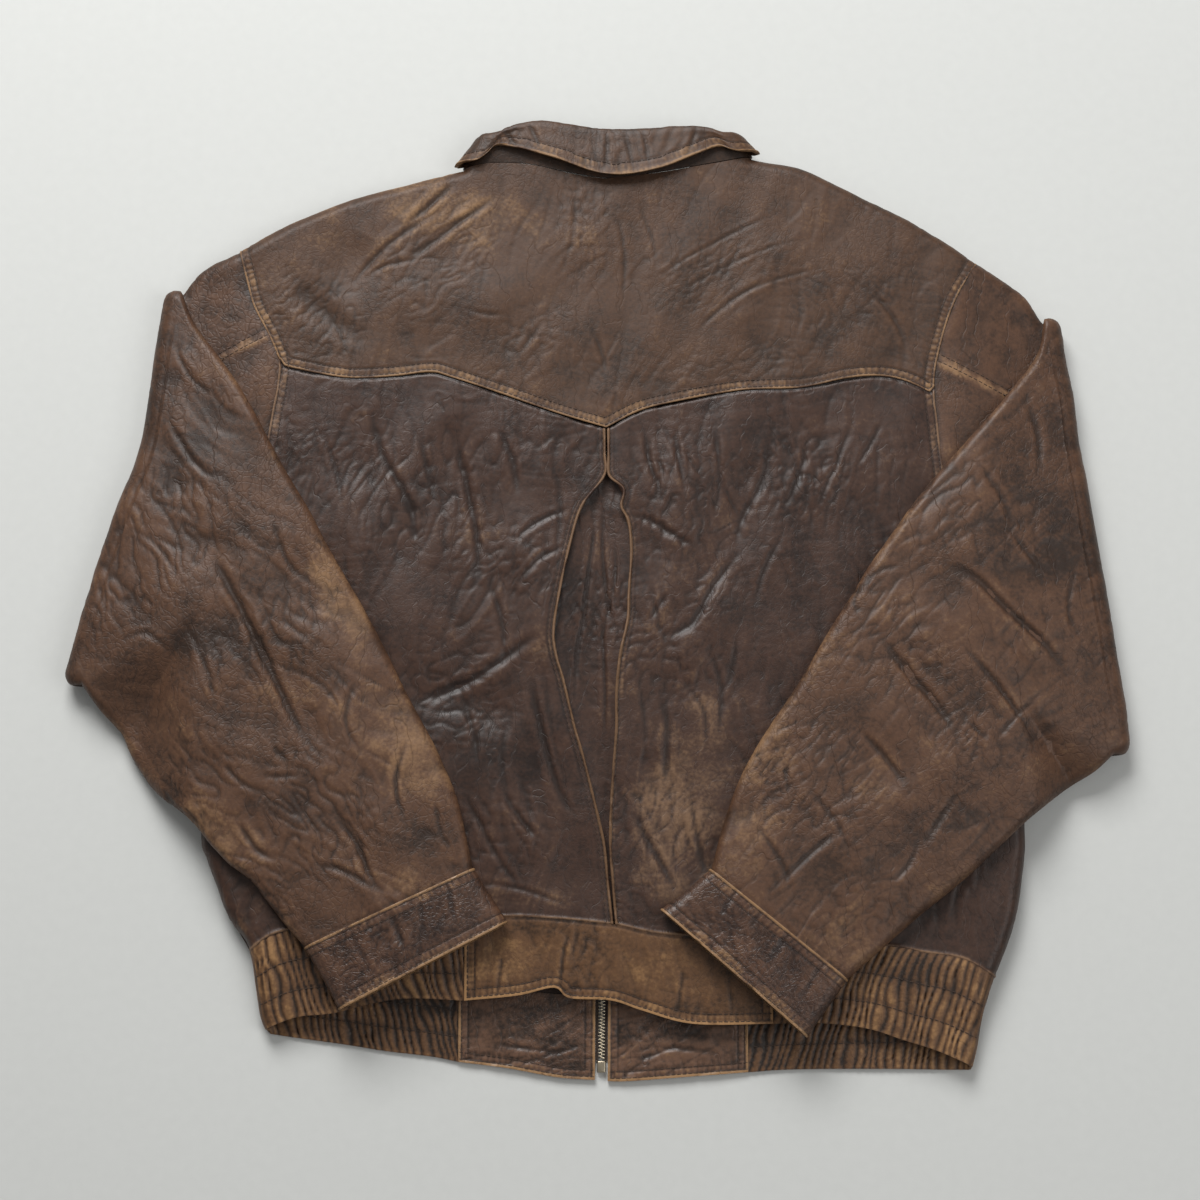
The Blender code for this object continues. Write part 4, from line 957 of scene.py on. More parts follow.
HALVES = {
    Side.LEFT: Half(
        shoulder=[(-112, 358), (-158, 346), (-204, 333), (-252, 313), (-294, 289)],
        head=[(-294, 289), (-317, 279), (-331, 269), (-341, 257)],
        arm=[(-294, 289), (-288, 265), (-281, 241), (-268, 216), (-260, 195), (-261, 175),
             (-265, 150), (-272, 105), (-288, 45), (-313, -8)],
        fold=[(-354, 256), (-360, 215), (-366, 165), (-373, 120), (-388, 78), (-402, 35),
              (-412, -5), (-425, -52), (-427, -68)],
        side=[(-313, -8), (-317, -80), (-316, -183), (-310, -207), (-301, -230), (-291, -254),
              (-275, -280)],
        band_end=[(-275, -280), (-270, -306), (-266, -329), (-262, -340)],
        yoke=[(-259, 192), (-228, 185), (-200, 181), (-165, 183), (-137, 186), (-121, 182),
              (-85, 170), (-49, 157), (-22, 148), (5, 140)],
        neck=[(-112, 358), (-90, 362), (-60, 361), (-18, 352), (5, 349)],
        pleat=[(4.4, 139), (4.6, 118), (4.4, 100), (-14, 75), (-24, 41), (-31, 8), (-36, -25),
               (-34, -45), (-28, -66), (-20, -100), (-12, -128), (-4, -160), (4, -195), (7, -225),
               (10.6, -259)],
        waist=[(-275, -280), (-246, -264), (-157, -255), (-74, -253), (-31, -255), (10.6, -259)],
        front_waist=[(-275, -280), (-236, -290), (-102, -306), (-4, -315)],
        back_hem=[(-262, -339), (-237, -330), (-208, -327), (-179, -320), (-150, -316), (-106, -318)],
        front_hem=[(-262, -341), (-253, -345), (-201, -352), (-168, -357), (-132, -361),
                   (-111, -365)],
        tab_hem=[(-111, -365), (-72, -370), (-33, -377), (-4, -379)],
        sleeve_inner=[(-341, 256), (-330, 229), (-311, 202), (-290, 172), (-269, 135), (-252, 104),
                      (-234, 72), (-215, 37), (-189, -6), (-172, -38), (-157, -69), (-140, -100),
                      (-126, -128), (-114, -157), (-106, -185), (-99, -216)],
        sleeve_outer=[(-414, -66), (-398, -88), (-381, -107), (-369, -131), (-350, -155),
                      (-322, -178), (-306, -197), (-290, -213), (-273, -225), (-261, -241),
                      (-244, -262), (-229, -277)],
        cuff_end=[(-73, -259), (-202, -326)],
        roll=[(5, 390), (-22, 393), (-47, 397), (-66, 395), (-80, 390), (-93, 383)],
        edge=[(5, 350, 32), (-15, 356, 32), (-38, 364, 31), (-66, 372, 30), (-90, 380, 27),
              (-107, 373, 20), (-118, 361, 12)],
        collar_side=(-0.78, 0.62),
        bends=(((-313, 53), (-271, -27), 13, -1.6), ((-271, -27), (-210, -132), 13, -2.2),
               ((-230, -10), (-180, -110), 22, 1.8), ((-335, -60), (-300, -130), 22, 2.0),
               ((-207, -169), (-156, -241), 13, -1.6), ((-250, 100), (-290, 150), 24, 1.5)),
    ),
    Side.RIGHT: Half(
        shoulder=[(125, 368), (164, 360), (196, 345), (243, 321), (280, 299), (308, 279)],
        head=[(308, 279), (328, 266), (345, 253), (361, 232)],
        arm=[(308, 279), (293, 255), (284, 235), (277, 213), (271, 187), (270, 165),
             (272, 145), (275, 113), (287, 15), (324, -76)],
        fold=[(374, 232), (379, 195), (384, 163), (389, 118), (397, 66), (407, -2), (414, -54),
              (420, -108), (421, -124)],
        side=[(324, -76), (333, -130), (336, -184), (335, -208), (329, -245), (321, -272),
              (309, -300)],
        band_end=[(309, -300), (303, -317), (298, -336), (295, -352), (291, -369)],
        yoke=[(269, 168), (246, 179), (225, 183), (200, 181), (161, 173), (113, 171), (59, 161),
              (32, 154), (5, 140)],
        neck=[(125, 368), (104, 364), (82, 360), (49, 354), (5, 349)],
        pleat=[(5.6, 139), (5.8, 118), (6.4, 100), (18, 89), (16, 75), (22, 62), (24, 37),
               (22, 6), (21, -17), (15, -45), (12, -75), (12, -102), (10, -131), (8, -162),
               (7, -195), (9, -225), (11.8, -259)],
        waist=[(309, -300), (284, -286), (254, -281), (225, -276), (141, -271), (53, -267),
               (11.8, -259)],
        front_waist=[(309, -300), (236, -308), (118, -312), (6, -315)],
        back_hem=[(291, -368), (263, -356), (237, -348), (208, -339), (169, -335), (135, -336)],
        front_hem=[(291, -370), (285, -372), (223, -371), (153, -371), (116, -373)],
        tab_hem=[(116, -373), (63, -377), (22, -380), (6, -380)],
        sleeve_inner=[(361, 230), (353, 199), (327, 164), (297, 130), (275, 106), (258, 86),
                      (228, 44), (197, -3), (161, -62), (122, -123), (100, -170), (87, -217)],
        sleeve_outer=[(408, -123), (392, -138), (370, -152), (338, -177), (309, -203),
                      (285, -225), (243, -259), (208, -288), (192, -302)],
        cuff_end=[(48, -249), (160, -347)],
        roll=[(5, 390), (26, 388), (55, 392), (80, 393), (95, 390), (109, 384)],
        edge=[(5, 350, 32), (20, 350, 32), (38, 351, 32), (58, 359, 31), (82, 369, 30),
              (110, 378, 23), (130, 372, 12)],
        collar_side=(0.78, 0.62),
        bends=(((317, -27), (378, -70), 14, -2.0), ((190, -98), (239, -154), 14, -1.8),
               ((226, -37), (278, -101), 14, -1.8), ((307, -116), (341, -73), 13, -1.6),
               ((250, 60), (320, 20), 24, 1.6), ((260, -150), (330, -120), 20, 1.6)),
    ),
}

# Each soft bend of the body: its start, its end, its width and its height.
BODY_BENDS = (
    ((-215, 120), (-150, -60), 26, 2.2), ((-120, 150), (-95, 20), 20, -1.8),
    ((-160, -70), (-60, -95), 18, -2.6), ((-60, 60), (-40, -60), 16, 2.0),
    ((-110, -120), (-50, -215), 20, 1.8), ((70, 130), (60, -20), 18, 2.0),
    ((120, 120), (105, 30), 16, -1.8), ((60, -60), (110, 10), 16, 1.8),
    ((40, -120), (75, -235), 16, -2.0), ((-190, 300), (-235, 225), 20, -2.2),
    ((-60, 250), (-190, 240), 24, 1.5), ((150, 300), (110, 215), 22, 1.6),
)
BACK_TAB_HEM = [(-106, -318), (-64, -314), (-36, -308), (-24, -316), (9, -318), (34, -326),
                (73, -336), (135, -336)]


def bent(xy: Array, bends: Sequence[tuple]) -> Array:
    """The rise of wide soft bends: height * exp(-(d / width)^2) along each straight run.

    Args:
        xy: plan points.
        bends: a start, an end, a width and a height for each bend.

    Returns:
        The rise, fading towards both ends of each run.
    """
    rise = np.zeros(xy.shape[:-1])
    for start, end, width, height in bends:
        a, run = np.array(start, float), np.subtract(end, start).astype(float)
        share = ((xy - a) @ run) / (run @ run)
        foot = a + np.clip(share, 0, 1)[..., None] * run
        far = np.linalg.norm(xy - foot, axis=-1)
        share = np.clip(share, 0, 1)
        rise += height * np.exp(-((far / width) ** 2)) * ease(4 * share * (1 - share) + 0.2)
    return rise


@dataclass
class BodyForm:
    """The form under every piece: the flat body with its rounded edges, and the folded sleeves."""

    body_height: float = 22.0
    fold_height: float = 13.0
    fold_ramp: float = 80.0
    edge_radius: float = 10.0
    edge_share: float = 0.47
    crease_gap: float = 0.4
    rest_gap: float = 2.0
    rest_ramp: float = 14.0
    drape_ramp: float = 50.0
    hem_height: float = 16.0
    yoke_seam: float = 0.305
    sleeve_seam: float = 0.25
    below_hem: float = 60.0
    cover_ramp: float = 14.0
    outer_points: int = 60

    def __post_init__(self) -> None:
        """Works out the smooth outlines that the pieces share."""
        self.arm, self.fold, self.top_edge, self.head = {}, {}, {}, {}
        self.shoulder, self.side, self.end, self.underarm = {}, {}, {}, {}
        turn = self.fold_height + self.crease_gap / 2
        for s, half in HALVES.items():
            self.arm[s] = curve(half.arm)
            self.fold[s] = offset(curve(half.fold), s.inward * turn)
            crown = half.head[:-1] + [tuple(self.fold[s][0])]
            self.shoulder[s], self.head[s] = self.joined(half.shoulder, crown)
            self.side[s], self.end[s] = self.joined(half.side, half.band_end)
            self.top_edge[s] = np.vstack([self.shoulder[s], self.head[s][1:]])
            self.underarm[s] = np.linspace(half.side[0], self.fold[s][-1], 8)
        self.edges = [line[s] for s in Side for line in (self.top_edge, self.underarm, self.side, self.end)]
        halves = {}
        for s in Side:
            end = self.end[s][-1]
            halves[s] = np.vstack([self.top_edge[s], self.fold[s], self.underarm[s][::-1],
                                   self.side[s], self.end[s], [(end[0], end[1] - self.below_hem)]])
        self.outline = np.vstack([halves[Side.LEFT], halves[Side.RIGHT][::-1]])

    @staticmethod
    def joined(first: Line, second: Line) -> tuple[Array, Array]:
        """Two outlines that follow each other, as one smooth curve cut again where they meet.

        Args:
            first: points of the first outline.
            second: points of the second, which starts where the first ends.

        Returns:
            The curves of the first and of the second outline.
        """
        whole = curve(list(first) + list(second)[1:])
        cut = 8 * (len(first) - 1)
        return whole[: cut + 1], whole[cut:]

    def stack(self, xy: Array, bends: Sequence[tuple] = ()) -> Array:
        """The height of the body's top, which sinks towards the sleeves' folds.

        Args:
            xy: plan points.
            bends: the soft bends that are laid over it.

        Returns:
            The fold's height at the folds, rising to the body's over the ramp.
        """
        to_fold = nearest(xy, [self.fold[s] for s in Side])[0]
        base = self.fold_height + (self.body_height - self.fold_height) * ease(to_fold / self.fold_ramp)
        return base + bent(xy, bends) if len(bends) else base

    def surface(self, xy: Array, layer: Layer, height: Optional[Callable] = None) -> Array:
        """Points of the body's upper or lower face.

        Args:
            xy: plan points.
            layer: the face.
            height: the height of the upper face, or None for the body's own with its bends.

        Returns:
            Points whose height follows a quarter of an ellipse down to the seam's level within
            the edge radius of a folded edge.
        """
        rise = height(xy) if height else self.stack(xy, BODY_BENDS if layer is Layer.TOP else ())
        far = nearest(xy, self.edges)[0]
        turn = 1 - np.clip(far / self.edge_radius, 0, 1)
        bend = np.sqrt(1 - turn**2)
        seam = self.edge_share * rise
        z = seam + (rise - seam) * bend if layer is Layer.TOP else seam * (1 - bend)
        return np.concatenate([xy, z[..., None]], axis=-1)

    def rest(self, xy: Array) -> Array:
        """The height on which a folded sleeve lies: the body and its lower run, or the floor.

        Args:
            xy: plan points.

        Returns:
            The body's height and a gap, easing down to the floor's over the drape outside it.
        """
        to_fold = nearest(xy, [self.fold[s] for s in Side])[0]
        gap = self.crease_gap + (self.rest_gap - self.crease_gap) * ease(to_fold / self.rest_ramp)
        outside = np.where(inside(xy, self.outline), 0.0, nearest(xy, [self.outline])[0])
        lift = self.stack(xy) + gap - self.crease_gap
        return self.crease_gap + lift * ease(1 - outside / self.drape_ramp)

    def band_height(self, xy: Array) -> Array:
        """The height of the waistband's back, which sinks towards the hem.

        Args:
            xy: plan points.

        Returns:
            The body's height at the waist, falling in a straight line to the hem's.
        """
        waist = np.interp(xy[..., 0], *self.across("waist"))
        hem = np.interp(xy[..., 0], *self.across("back_hem"))
        share = np.clip((waist - xy[..., 1]) / np.maximum(waist - hem, 1), 0, 1)
        return self.body_height + (self.hem_height - self.body_height) * share

    @staticmethod
    def across(key: str) -> tuple[Array, Array]:
        """The x and y of an outline across the whole back.

        Args:
            key: the outline's name.

        Returns:
            Its x and its y, from left to right.
        """
        whole = np.vstack([curve(getattr(HALVES[s], key)) for s in Side])
        order = np.argsort(whole[:, 0])
        return whole[order, 0], whole[order, 1]

    def yoke_line(self, side: Side) -> Array:
        """The yoke seam of one side, from the armhole to the middle.

        Args:
            side: the wearer's side.

        Returns:
            The seam's points.
        """
        line = curve(HALVES[side].yoke)
        line[0] = along(self.arm[side], [self.yoke_seam])[0]
        return line

    def under_sleeve(self, xy: Array) -> Array:
        """How far each plan point is covered by a folded sleeve: 1 well under it, 0 clear of it.

        Args:
            xy: plan points.

        Returns:
            A value from 0 to 1 for each point.
        """
        out = np.zeros(xy.shape[:-1])
        for s in Side:
            half = HALVES[s]
            ring = np.vstack([curve(half.sleeve_inner), curve(half.cuff_end, 2),
                              curve(half.sleeve_outer)[::-1]])
            within = inside(xy, ring)
            deep = nearest(xy, [curve(half.sleeve_inner), ring[-self.outer_points :]])[0]
            out = np.maximum(out, within * ease(deep / self.cover_ramp))
        return out


# ---------------------------------------------------------------- finishes


def srgb(red: int, green: int, blue: int) -> tuple[float, float, float, float]:
    """A colour from 0 to 255 a channel, as the linear values that a shader takes."""
    def linear(value: float) -> float:
        """One channel of the colour, made linear."""
        return value / 12.92 if value <= 0.04045 else ((value + 0.055) / 1.055) ** 2.4

    return (*[linear(c / 255) for c in (red, green, blue)], 1.0)


class Nodes:
    """A node tree with short ways to add and join nodes."""

    def __init__(self, tree: bpy.types.NodeTree) -> None:
        """Keeps the tree."""
        self.tree = tree

    def add(self, kind: str, inputs: Optional[dict] = None, **settings: object) -> bpy.types.Node:
        """Adds a node.

        Args:
            kind: the node's type.
            inputs: a value or a socket for each named or numbered input.
            settings: the node's own settings.

        Returns:
            The node.
        """
        node = self.tree.nodes.new(kind)
        for key, value in settings.items():
            setattr(node, key, value)
        for key, value in (inputs or {}).items():
            if isinstance(value, bpy.types.NodeSocket):
                self.tree.links.new(value, node.inputs[key])
            else:
                node.inputs[key].default_value = value
        return node

    def math(self, operation: str, *values: object, clamp: bool = False) -> bpy.types.NodeSocket:
        """The result of a sum on values or sockets."""
        node = self.add("ShaderNodeMath", dict(enumerate(values)), operation=operation, use_clamp=clamp)
        return node.outputs[0]

    def mix(self, share: object, first: object, second: object) -> bpy.types.NodeSocket:
        """A colour between two colours.

        Args:
            share: how much of the second colour there is.
            first: a colour or a socket.
            second: a colour or a socket.

        Returns:
            The socket of the blend.
        """
        node = self.add("ShaderNodeMix", data_type="RGBA")
        for key, value in ((0, share), (6, first), (7, second)):
            if isinstance(value, bpy.types.NodeSocket):
                self.tree.links.new(value, node.inputs[key])
            else:
                node.inputs[key].default_value = value
        return node.outputs[2]

    def step(self, value: object, low: float, high: float) -> bpy.types.NodeSocket:
        """A smooth step of a value from 0 at low to 1 at high."""
        node = self.add("ShaderNodeMapRange", {0: value, 1: low, 2: high}, interpolation_type="SMOOTHSTEP")
        return node.outputs[0]

    def mark(self, name: str) -> bpy.types.NodeSocket:
        """A value that the mesh carries at its points."""
        return self.add("ShaderNodeAttribute", attribute_name=name).outputs["Fac"]


class Groups:
    """The effects that several finishes share, each built once."""

    def __init__(self) -> None:
        """Builds the groups."""
        self.grain = self.make_grain()
        self.tint = self.make_tint()

    @staticmethod
    def new(name: str, inputs: dict[str, str], outputs: dict[str, str]) -> tuple:
        """A new group with its sockets.

        Args:
            name: the group's name.
            inputs: each input's name and kind.
            outputs: each output's name and kind.

        Returns:
            The group, its nodes, and its input and output nodes.
        """
        group = bpy.data.node_groups.new(name, "ShaderNodeTree")
        for way, sockets in (("INPUT", inputs), ("OUTPUT", outputs)):
            for label, kind in sockets.items():
                group.interface.new_socket(label, in_out=way, socket_type=kind)
        nodes = Nodes(group)
        return group, nodes, nodes.add("NodeGroupInput"), nodes.add("NodeGroupOutput")

    def make_grain(self) -> bpy.types.NodeTree:
        """The leather's own grain: fine cracks between cells, and thin creases drawn out two ways.

        Returns:
            A group that gives a height from 0 to 1 and a mask of the cracks.
        """
        sizes = {key: "NodeSocketFloat" for key in ("Size", "Cells", "Lines")}
        group, n, given, out = self.new("leather grain", sizes,
                                        {"Height": "NodeSocketFloat", "Cracks": "NodeSocketFloat"})
        place = n.add("ShaderNodeTexCoord").outputs["Object"]
        warp = n.add("ShaderNodeTexNoise", {"Vector": place, "Scale": 85.0, "Detail": 1.0})
        bend = n.add("ShaderNodeVectorMath", {0: warp.outputs["Color"], "Scale": 0.011}, operation="SCALE")
        moved = n.add("ShaderNodeVectorMath", {0: place, 1: bend.outputs[0]}, operation="ADD").outputs[0]
        sized = n.add("ShaderNodeVectorMath", {0: moved, "Scale": given.outputs["Size"]}, operation="SCALE")
        cells = n.add("ShaderNodeTexVoronoi", {"Vector": sized.outputs[0], "Scale": 230.0},
                      feature="DISTANCE_TO_EDGE")
        where = n.add("ShaderNodeTexNoise", {"Vector": place, "Scale": 17.0, "Detail": 0.0})
        some = n.step(where.outputs["Fac"], 0.38, 0.62)
        fine = n.math("SUBTRACT", 1.0, n.step(cells.outputs[0], 0.0, 0.16))
        fine = n.math("MULTIPLY", fine, n.math("MULTIPLY_ADD", some, 0.5, 0.15))
        lines = []
        for turn, scale in ((1.2, 42.0), (0.3, 55.0)):
            drawn = n.add("ShaderNodeMapping", {"Vector": moved, "Rotation": (0.0, 0.0, turn),
                                                "Scale": (1.0, 0.22, 1.0)})
            folds = n.add("ShaderNodeTexNoise", {"Vector": drawn.outputs[0], "Scale": scale, "Detail": 1.0})
            off = n.math("ABSOLUTE", n.math("SUBTRACT", folds.outputs["Fac"], 0.5))
            lines.append(n.math("SUBTRACT", 1.0, n.step(off, 0.0, 0.016)))
        line = n.math("ADD", n.math("MULTIPLY", lines[0], n.math("MULTIPLY_ADD", some, -0.6, 0.85)),
                      n.math("MULTIPLY", lines[1], n.math("MULTIPLY_ADD", some, 0.6, 0.15)))
        cracks = n.math("ADD", n.math("MULTIPLY", fine, given.outputs["Cells"]),
                        n.math("MULTIPLY", line, given.outputs["Lines"]), clamp=True)
        n.tree.links.new(n.math("MULTIPLY", cracks, -1.0), out.inputs["Height"])
        n.tree.links.new(cracks, out.inputs["Cracks"])
        return group

    def make_tint(self) -> bpy.types.NodeTree:
        """The leather's colour from its wear, the painted shade of its creases and its ridges.

        Returns:
            A group that gives a colour: darkened in the creases as painted shade, dark in the grain's cracks,
                tan where it is rubbed.
        """
        colours = {"Dark": "NodeSocketColor", "Middle": "NodeSocketColor", "Tan": "NodeSocketColor"}
        values = {key: "NodeSocketFloat" for key in ("Wear", "Crease_Shade", "Ridge", "Cracks")}
        group, n, given, out = self.new("leather colour", {**colours, **values}, {"Color": "NodeSocketColor"})
        place = n.add("ShaderNodeTexCoord").outputs["Object"]
        clouds = n.add("ShaderNodeTexNoise", {"Vector": place, "Scale": 34.0, "Detail": 4.0,
                                              "Roughness": 0.66})
        flecks = n.add("ShaderNodeTexNoise", {"Vector": place, "Scale": 360.0, "Detail": 1.0})
        drift = n.math("MULTIPLY", n.math("SUBTRACT", clouds.outputs["Fac"], 0.5), 0.95)
        speck = n.math("MULTIPLY", n.math("SUBTRACT", flecks.outputs["Fac"], 0.5), 0.5)
        worn = n.math("ADD", given.outputs["Wear"], n.math("ADD", drift, speck))
        worn = n.math("ADD", worn, n.math("MULTIPLY", given.outputs["Ridge"], 0.22))
        colour = n.mix(n.step(worn, -0.15, 0.42), given.outputs["Dark"], given.outputs["Middle"])
        colour = n.mix(n.step(worn, 0.36, 1.0), colour, given.outputs["Tan"])
        # Painted shade: towards the dark dye in the creases; darker also in the grain's cracks.
        low = n.math("ADD", n.math("MULTIPLY", given.outputs["Crease_Shade"], 0.75),
                     n.math("MULTIPLY", given.outputs["Cracks"], 0.34), clamp=True)
        n.tree.links.new(n.mix(low, colour, given.outputs["Dark"]), out.inputs["Color"])
        return group


@dataclass(frozen=True)
class LeatherFinish:
    """One dye of the leather: its dark, middle and rubbed colours, and its shine."""

    name: str
    dark: tuple
    middle: tuple
    tan: tuple
    rough: float = 0.5
    coat: float = 0.05
    grain: float = 1.0
    bump: float = 0.35
    cells: float = 0.5
    lines: float = 0.9
    crack_rough: float = 0.18
    wear_rough: float = 0.1
    specular: float = 0.3
    coat_rough: float = 0.35
    bump_depth: float = 0.0006

    def material(self, groups: Groups) -> bpy.types.Material:
        """The finish's material.

        Args:
            groups: the shared effects.

        Returns:
            A leather material that reads the mesh's wear, its painted crease shade and its ridges.
        """
        made = bpy.data.materials.new(self.name)
        made.use_nodes = True
        n = Nodes(made.node_tree)
        shader = made.node_tree.nodes["Principled BSDF"]
        grain = n.add("ShaderNodeGroup", node_tree=groups.grain)
        for key, value in (("Size", self.grain), ("Cells", self.cells), ("Lines", self.lines)):
            grain.inputs[key].default_value = value
        tint = n.add("ShaderNodeGroup", node_tree=groups.tint)
        for key, colour in (("Dark", self.dark), ("Middle", self.middle), ("Tan", self.tan)):
            tint.inputs[key].default_value = srgb(*colour)
        for key in ("Wear", "Crease_Shade", "Ridge"):
            n.tree.links.new(n.mark(key.lower()), tint.inputs[key])
        n.tree.links.new(grain.outputs["Cracks"], tint.inputs["Cracks"])
        n.tree.links.new(tint.outputs["Color"], shader.inputs["Base Color"])
        rough = n.math("MULTIPLY_ADD", grain.outputs["Cracks"], self.crack_rough, self.rough)
        rough = n.math("MULTIPLY_ADD", n.mark("wear"), self.wear_rough, rough)
        n.tree.links.new(rough, shader.inputs["Roughness"])
        shader.inputs["Specular IOR Level"].default_value = self.specular
        shader.inputs["Coat Weight"].default_value = self.coat
        shader.inputs["Coat Roughness"].default_value = self.coat_rough
        bump = n.add("ShaderNodeBump", {"Height": grain.outputs["Height"], "Strength": self.bump,
                                        "Distance": self.bump_depth})
        n.tree.links.new(bump.outputs["Normal"], shader.inputs["Normal"])
        return made


@dataclass(frozen=True)
class PlainFinish:
    """One even material, such as the thread or the zip's metal."""

    name: str
    colour: tuple
    rough: float = 0.6
    metal: float = 0.0
    mottle: float = 0.0

    def material(self, groups: Groups) -> bpy.types.Material:
        """The finish's material, a little clouded by the amount that mottle says.

        Args:
            groups: the shared effects, which it does without.

        Returns:
            The material.
        """
        made = bpy.data.materials.new(self.name)
        made.use_nodes = True
        n = Nodes(made.node_tree)
        shader = made.node_tree.nodes["Principled BSDF"]
        base = srgb(*self.colour)
        place = n.add("ShaderNodeTexCoord").outputs["Object"]
        clouds = n.add("ShaderNodeTexNoise", {"Vector": place, "Scale": 120.0, "Detail": 4.0})
        dark = tuple(c * (1 - self.mottle) for c in base[:3]) + (1.0,)
        n.tree.links.new(n.mix(clouds.outputs["Fac"], dark, base), shader.inputs["Base Color"])
        shader.inputs["Roughness"].default_value = self.rough
        shader.inputs["Metallic"].default_value = self.metal
        return made


FINISHES = {
    "yoke": LeatherFinish("yoke_leather_worn", (40, 27, 18), (71, 48, 32), (126, 96, 66),
                          rough=0.48, coat=0.02, grain=1.0, bump=0.45, cells=0.4, lines=0.5),
    "body": LeatherFinish("body_leather_dark", (30, 19, 14), (60, 40, 30), (110, 84, 62),
                          rough=0.4, coat=0.05, grain=1.1, bump=0.45, cells=0.25, lines=0.7),
    "sleeve": LeatherFinish("sleeve_leather_brown", (40, 27, 19), (79, 54, 38), (124, 94, 66),
                            rough=0.45, coat=0.04, grain=0.85, bump=0.5, cells=0.75, lines=0.9),
    "cuff": LeatherFinish("cuff_leather_dark", (34, 22, 17), (80, 56, 42), (136, 104, 72),
                          rough=0.34, coat=0.1, grain=1.2, bump=0.6, cells=0.9, lines=0.8),
    "band": LeatherFinish("band_leather_tan", (32, 21, 13), (92, 64, 41), (146, 110, 72),
                          rough=0.46, coat=0.04, grain=1.1, bump=0.4, cells=0.5, lines=0.6),
    "tab": LeatherFinish("tab_leather_dark", (34, 24, 18), (94, 68, 52), (138, 106, 72),
                         rough=0.36, coat=0.1, grain=1.2, bump=0.5, cells=0.6, lines=0.9),
    "thread": PlainFinish("dark_thread", (58, 41, 29), rough=0.75, mottle=0.35),
    "tape": PlainFinish("zip_tape_brown", (46, 35, 28), rough=0.85, mottle=0.3),
    "metal": PlainFinish("zip_metal_nickel", (176, 164, 142), rough=0.32, metal=1.0, mottle=0.25),
    "floor": PlainFinish("studio_floor", (192, 193, 190), rough=0.85, mottle=0.06),
}


class Finishes:
    """The materials, each made once."""

    def __init__(self) -> None:
        """Builds the shared groups and every material."""
        groups = Groups()
        self.made = {key: finish.material(groups) for key, finish in FINISHES.items()}

    def __getitem__(self, key: str) -> bpy.types.Material:
        """The material of this short name."""
        return self.made[key]


# ---------------------------------------------------------------- the pieces


@dataclass
class Workshop:
    """What every piece is made with."""

    form: BodyForm
    space: Frame
    shells: Shells
    finishes: Finishes


# In these tables a crease is its width, its depth and its line's points; a rumple is its centre, reach,
# angle, wave, stretch, height and seed; a place of wear is its centre, reach, angle and amount.
YOKE_SKIN = Skin(
    folds=creases([
        (4.5, 1.5, (-163, 304), (-126, 338), (-116, 349)),
        (4.0, 1.3, (-168, 272), (-129, 300), (-90, 330), (-80, 339)),
        (3.5, 0.9, (-143, 298), (-104, 320)),
        (4.0, 1.1, (-209, 252), (-172, 293), (-122, 327)),
        (3.0, 0.7, (-198, 259), (-177, 274), (-140, 282)),
        (14.0, 2.0, (-254, 282), (-239, 248), (-208, 222), (-185, 206)),
        (3.2, 0.8, (74, 218), (109, 247), (146, 270)),
        (3.5, 0.9, (-68, 196), (-45, 231)),
        (3.0, 0.6, (-111, 239), (-93, 234), (-74, 234)),
        (2.6, 0.6, (40, 262), (96, 296), (150, 322)),
        (2.4, 0.5, (60, 250), (118, 282), (170, 300)),
        (2.4, 0.5, (92, 240), (140, 262), (190, 276)),
        (3.0, 0.7, (12, 330), (20, 285), (18, 240)),
        (2.6, 0.6, (30, 332), (44, 292), (46, 262)),
        (2.6, 0.6, (-20, 335), (-22, 300), (-34, 262)),
        (3.4, 0.8, (215, 262), (240, 228), (250, 200)),
        (2.6, 0.5, (-222, 236), (-210, 216), (-206, 196)),
        (3.0, 0.7, (-10, 230), (2, 200), (6, 172)),
    ]),
    rumples=[
        Rumple((5, 318), (75, 30), 88, 6.0, 3.2, 1.0, 11),
        Rumple((110, 275), (80, 45), 32, 5.5, 4.5, 0.75, 12),
        Rumple((215, 255), (60, 60), -52, 8.0, 2.6, 0.8, 13),
        Rumple((-120, 290), (80, 55), 46, 9.0, 2.6, 1.1, 14),
        Rumple((-215, 245), (55, 60), 60, 8.0, 2.2, 1.0, 15),
        Rumple((-50, 205), (80, 40), 55, 11.0, 1.8, 0.9, 16),
        Rumple((120, 195), (90, 30), 10, 9.0, 2.0, 0.8, 17),
        Rumple((-240, 200), (30, 30), 80, 6.0, 2.0, 0.9, 18),
    ],
    wear=[
        Wear((-120, 320), (110, 45), -12, 0.34), Wear((-210, 290), (80, 40), -28, 0.2),
        Wear((20, 235), (170, 70), 0, 0.04), Wear((150, 330), (120, 30), -22, 0.1),
        Wear((200, 230), (90, 60), -30, -0.08), Wear((-60, 175), (120, 22), -15, 0.1),
    ],
    soft=0.9, fine=0.5, seed=21, lean=70.0,
)

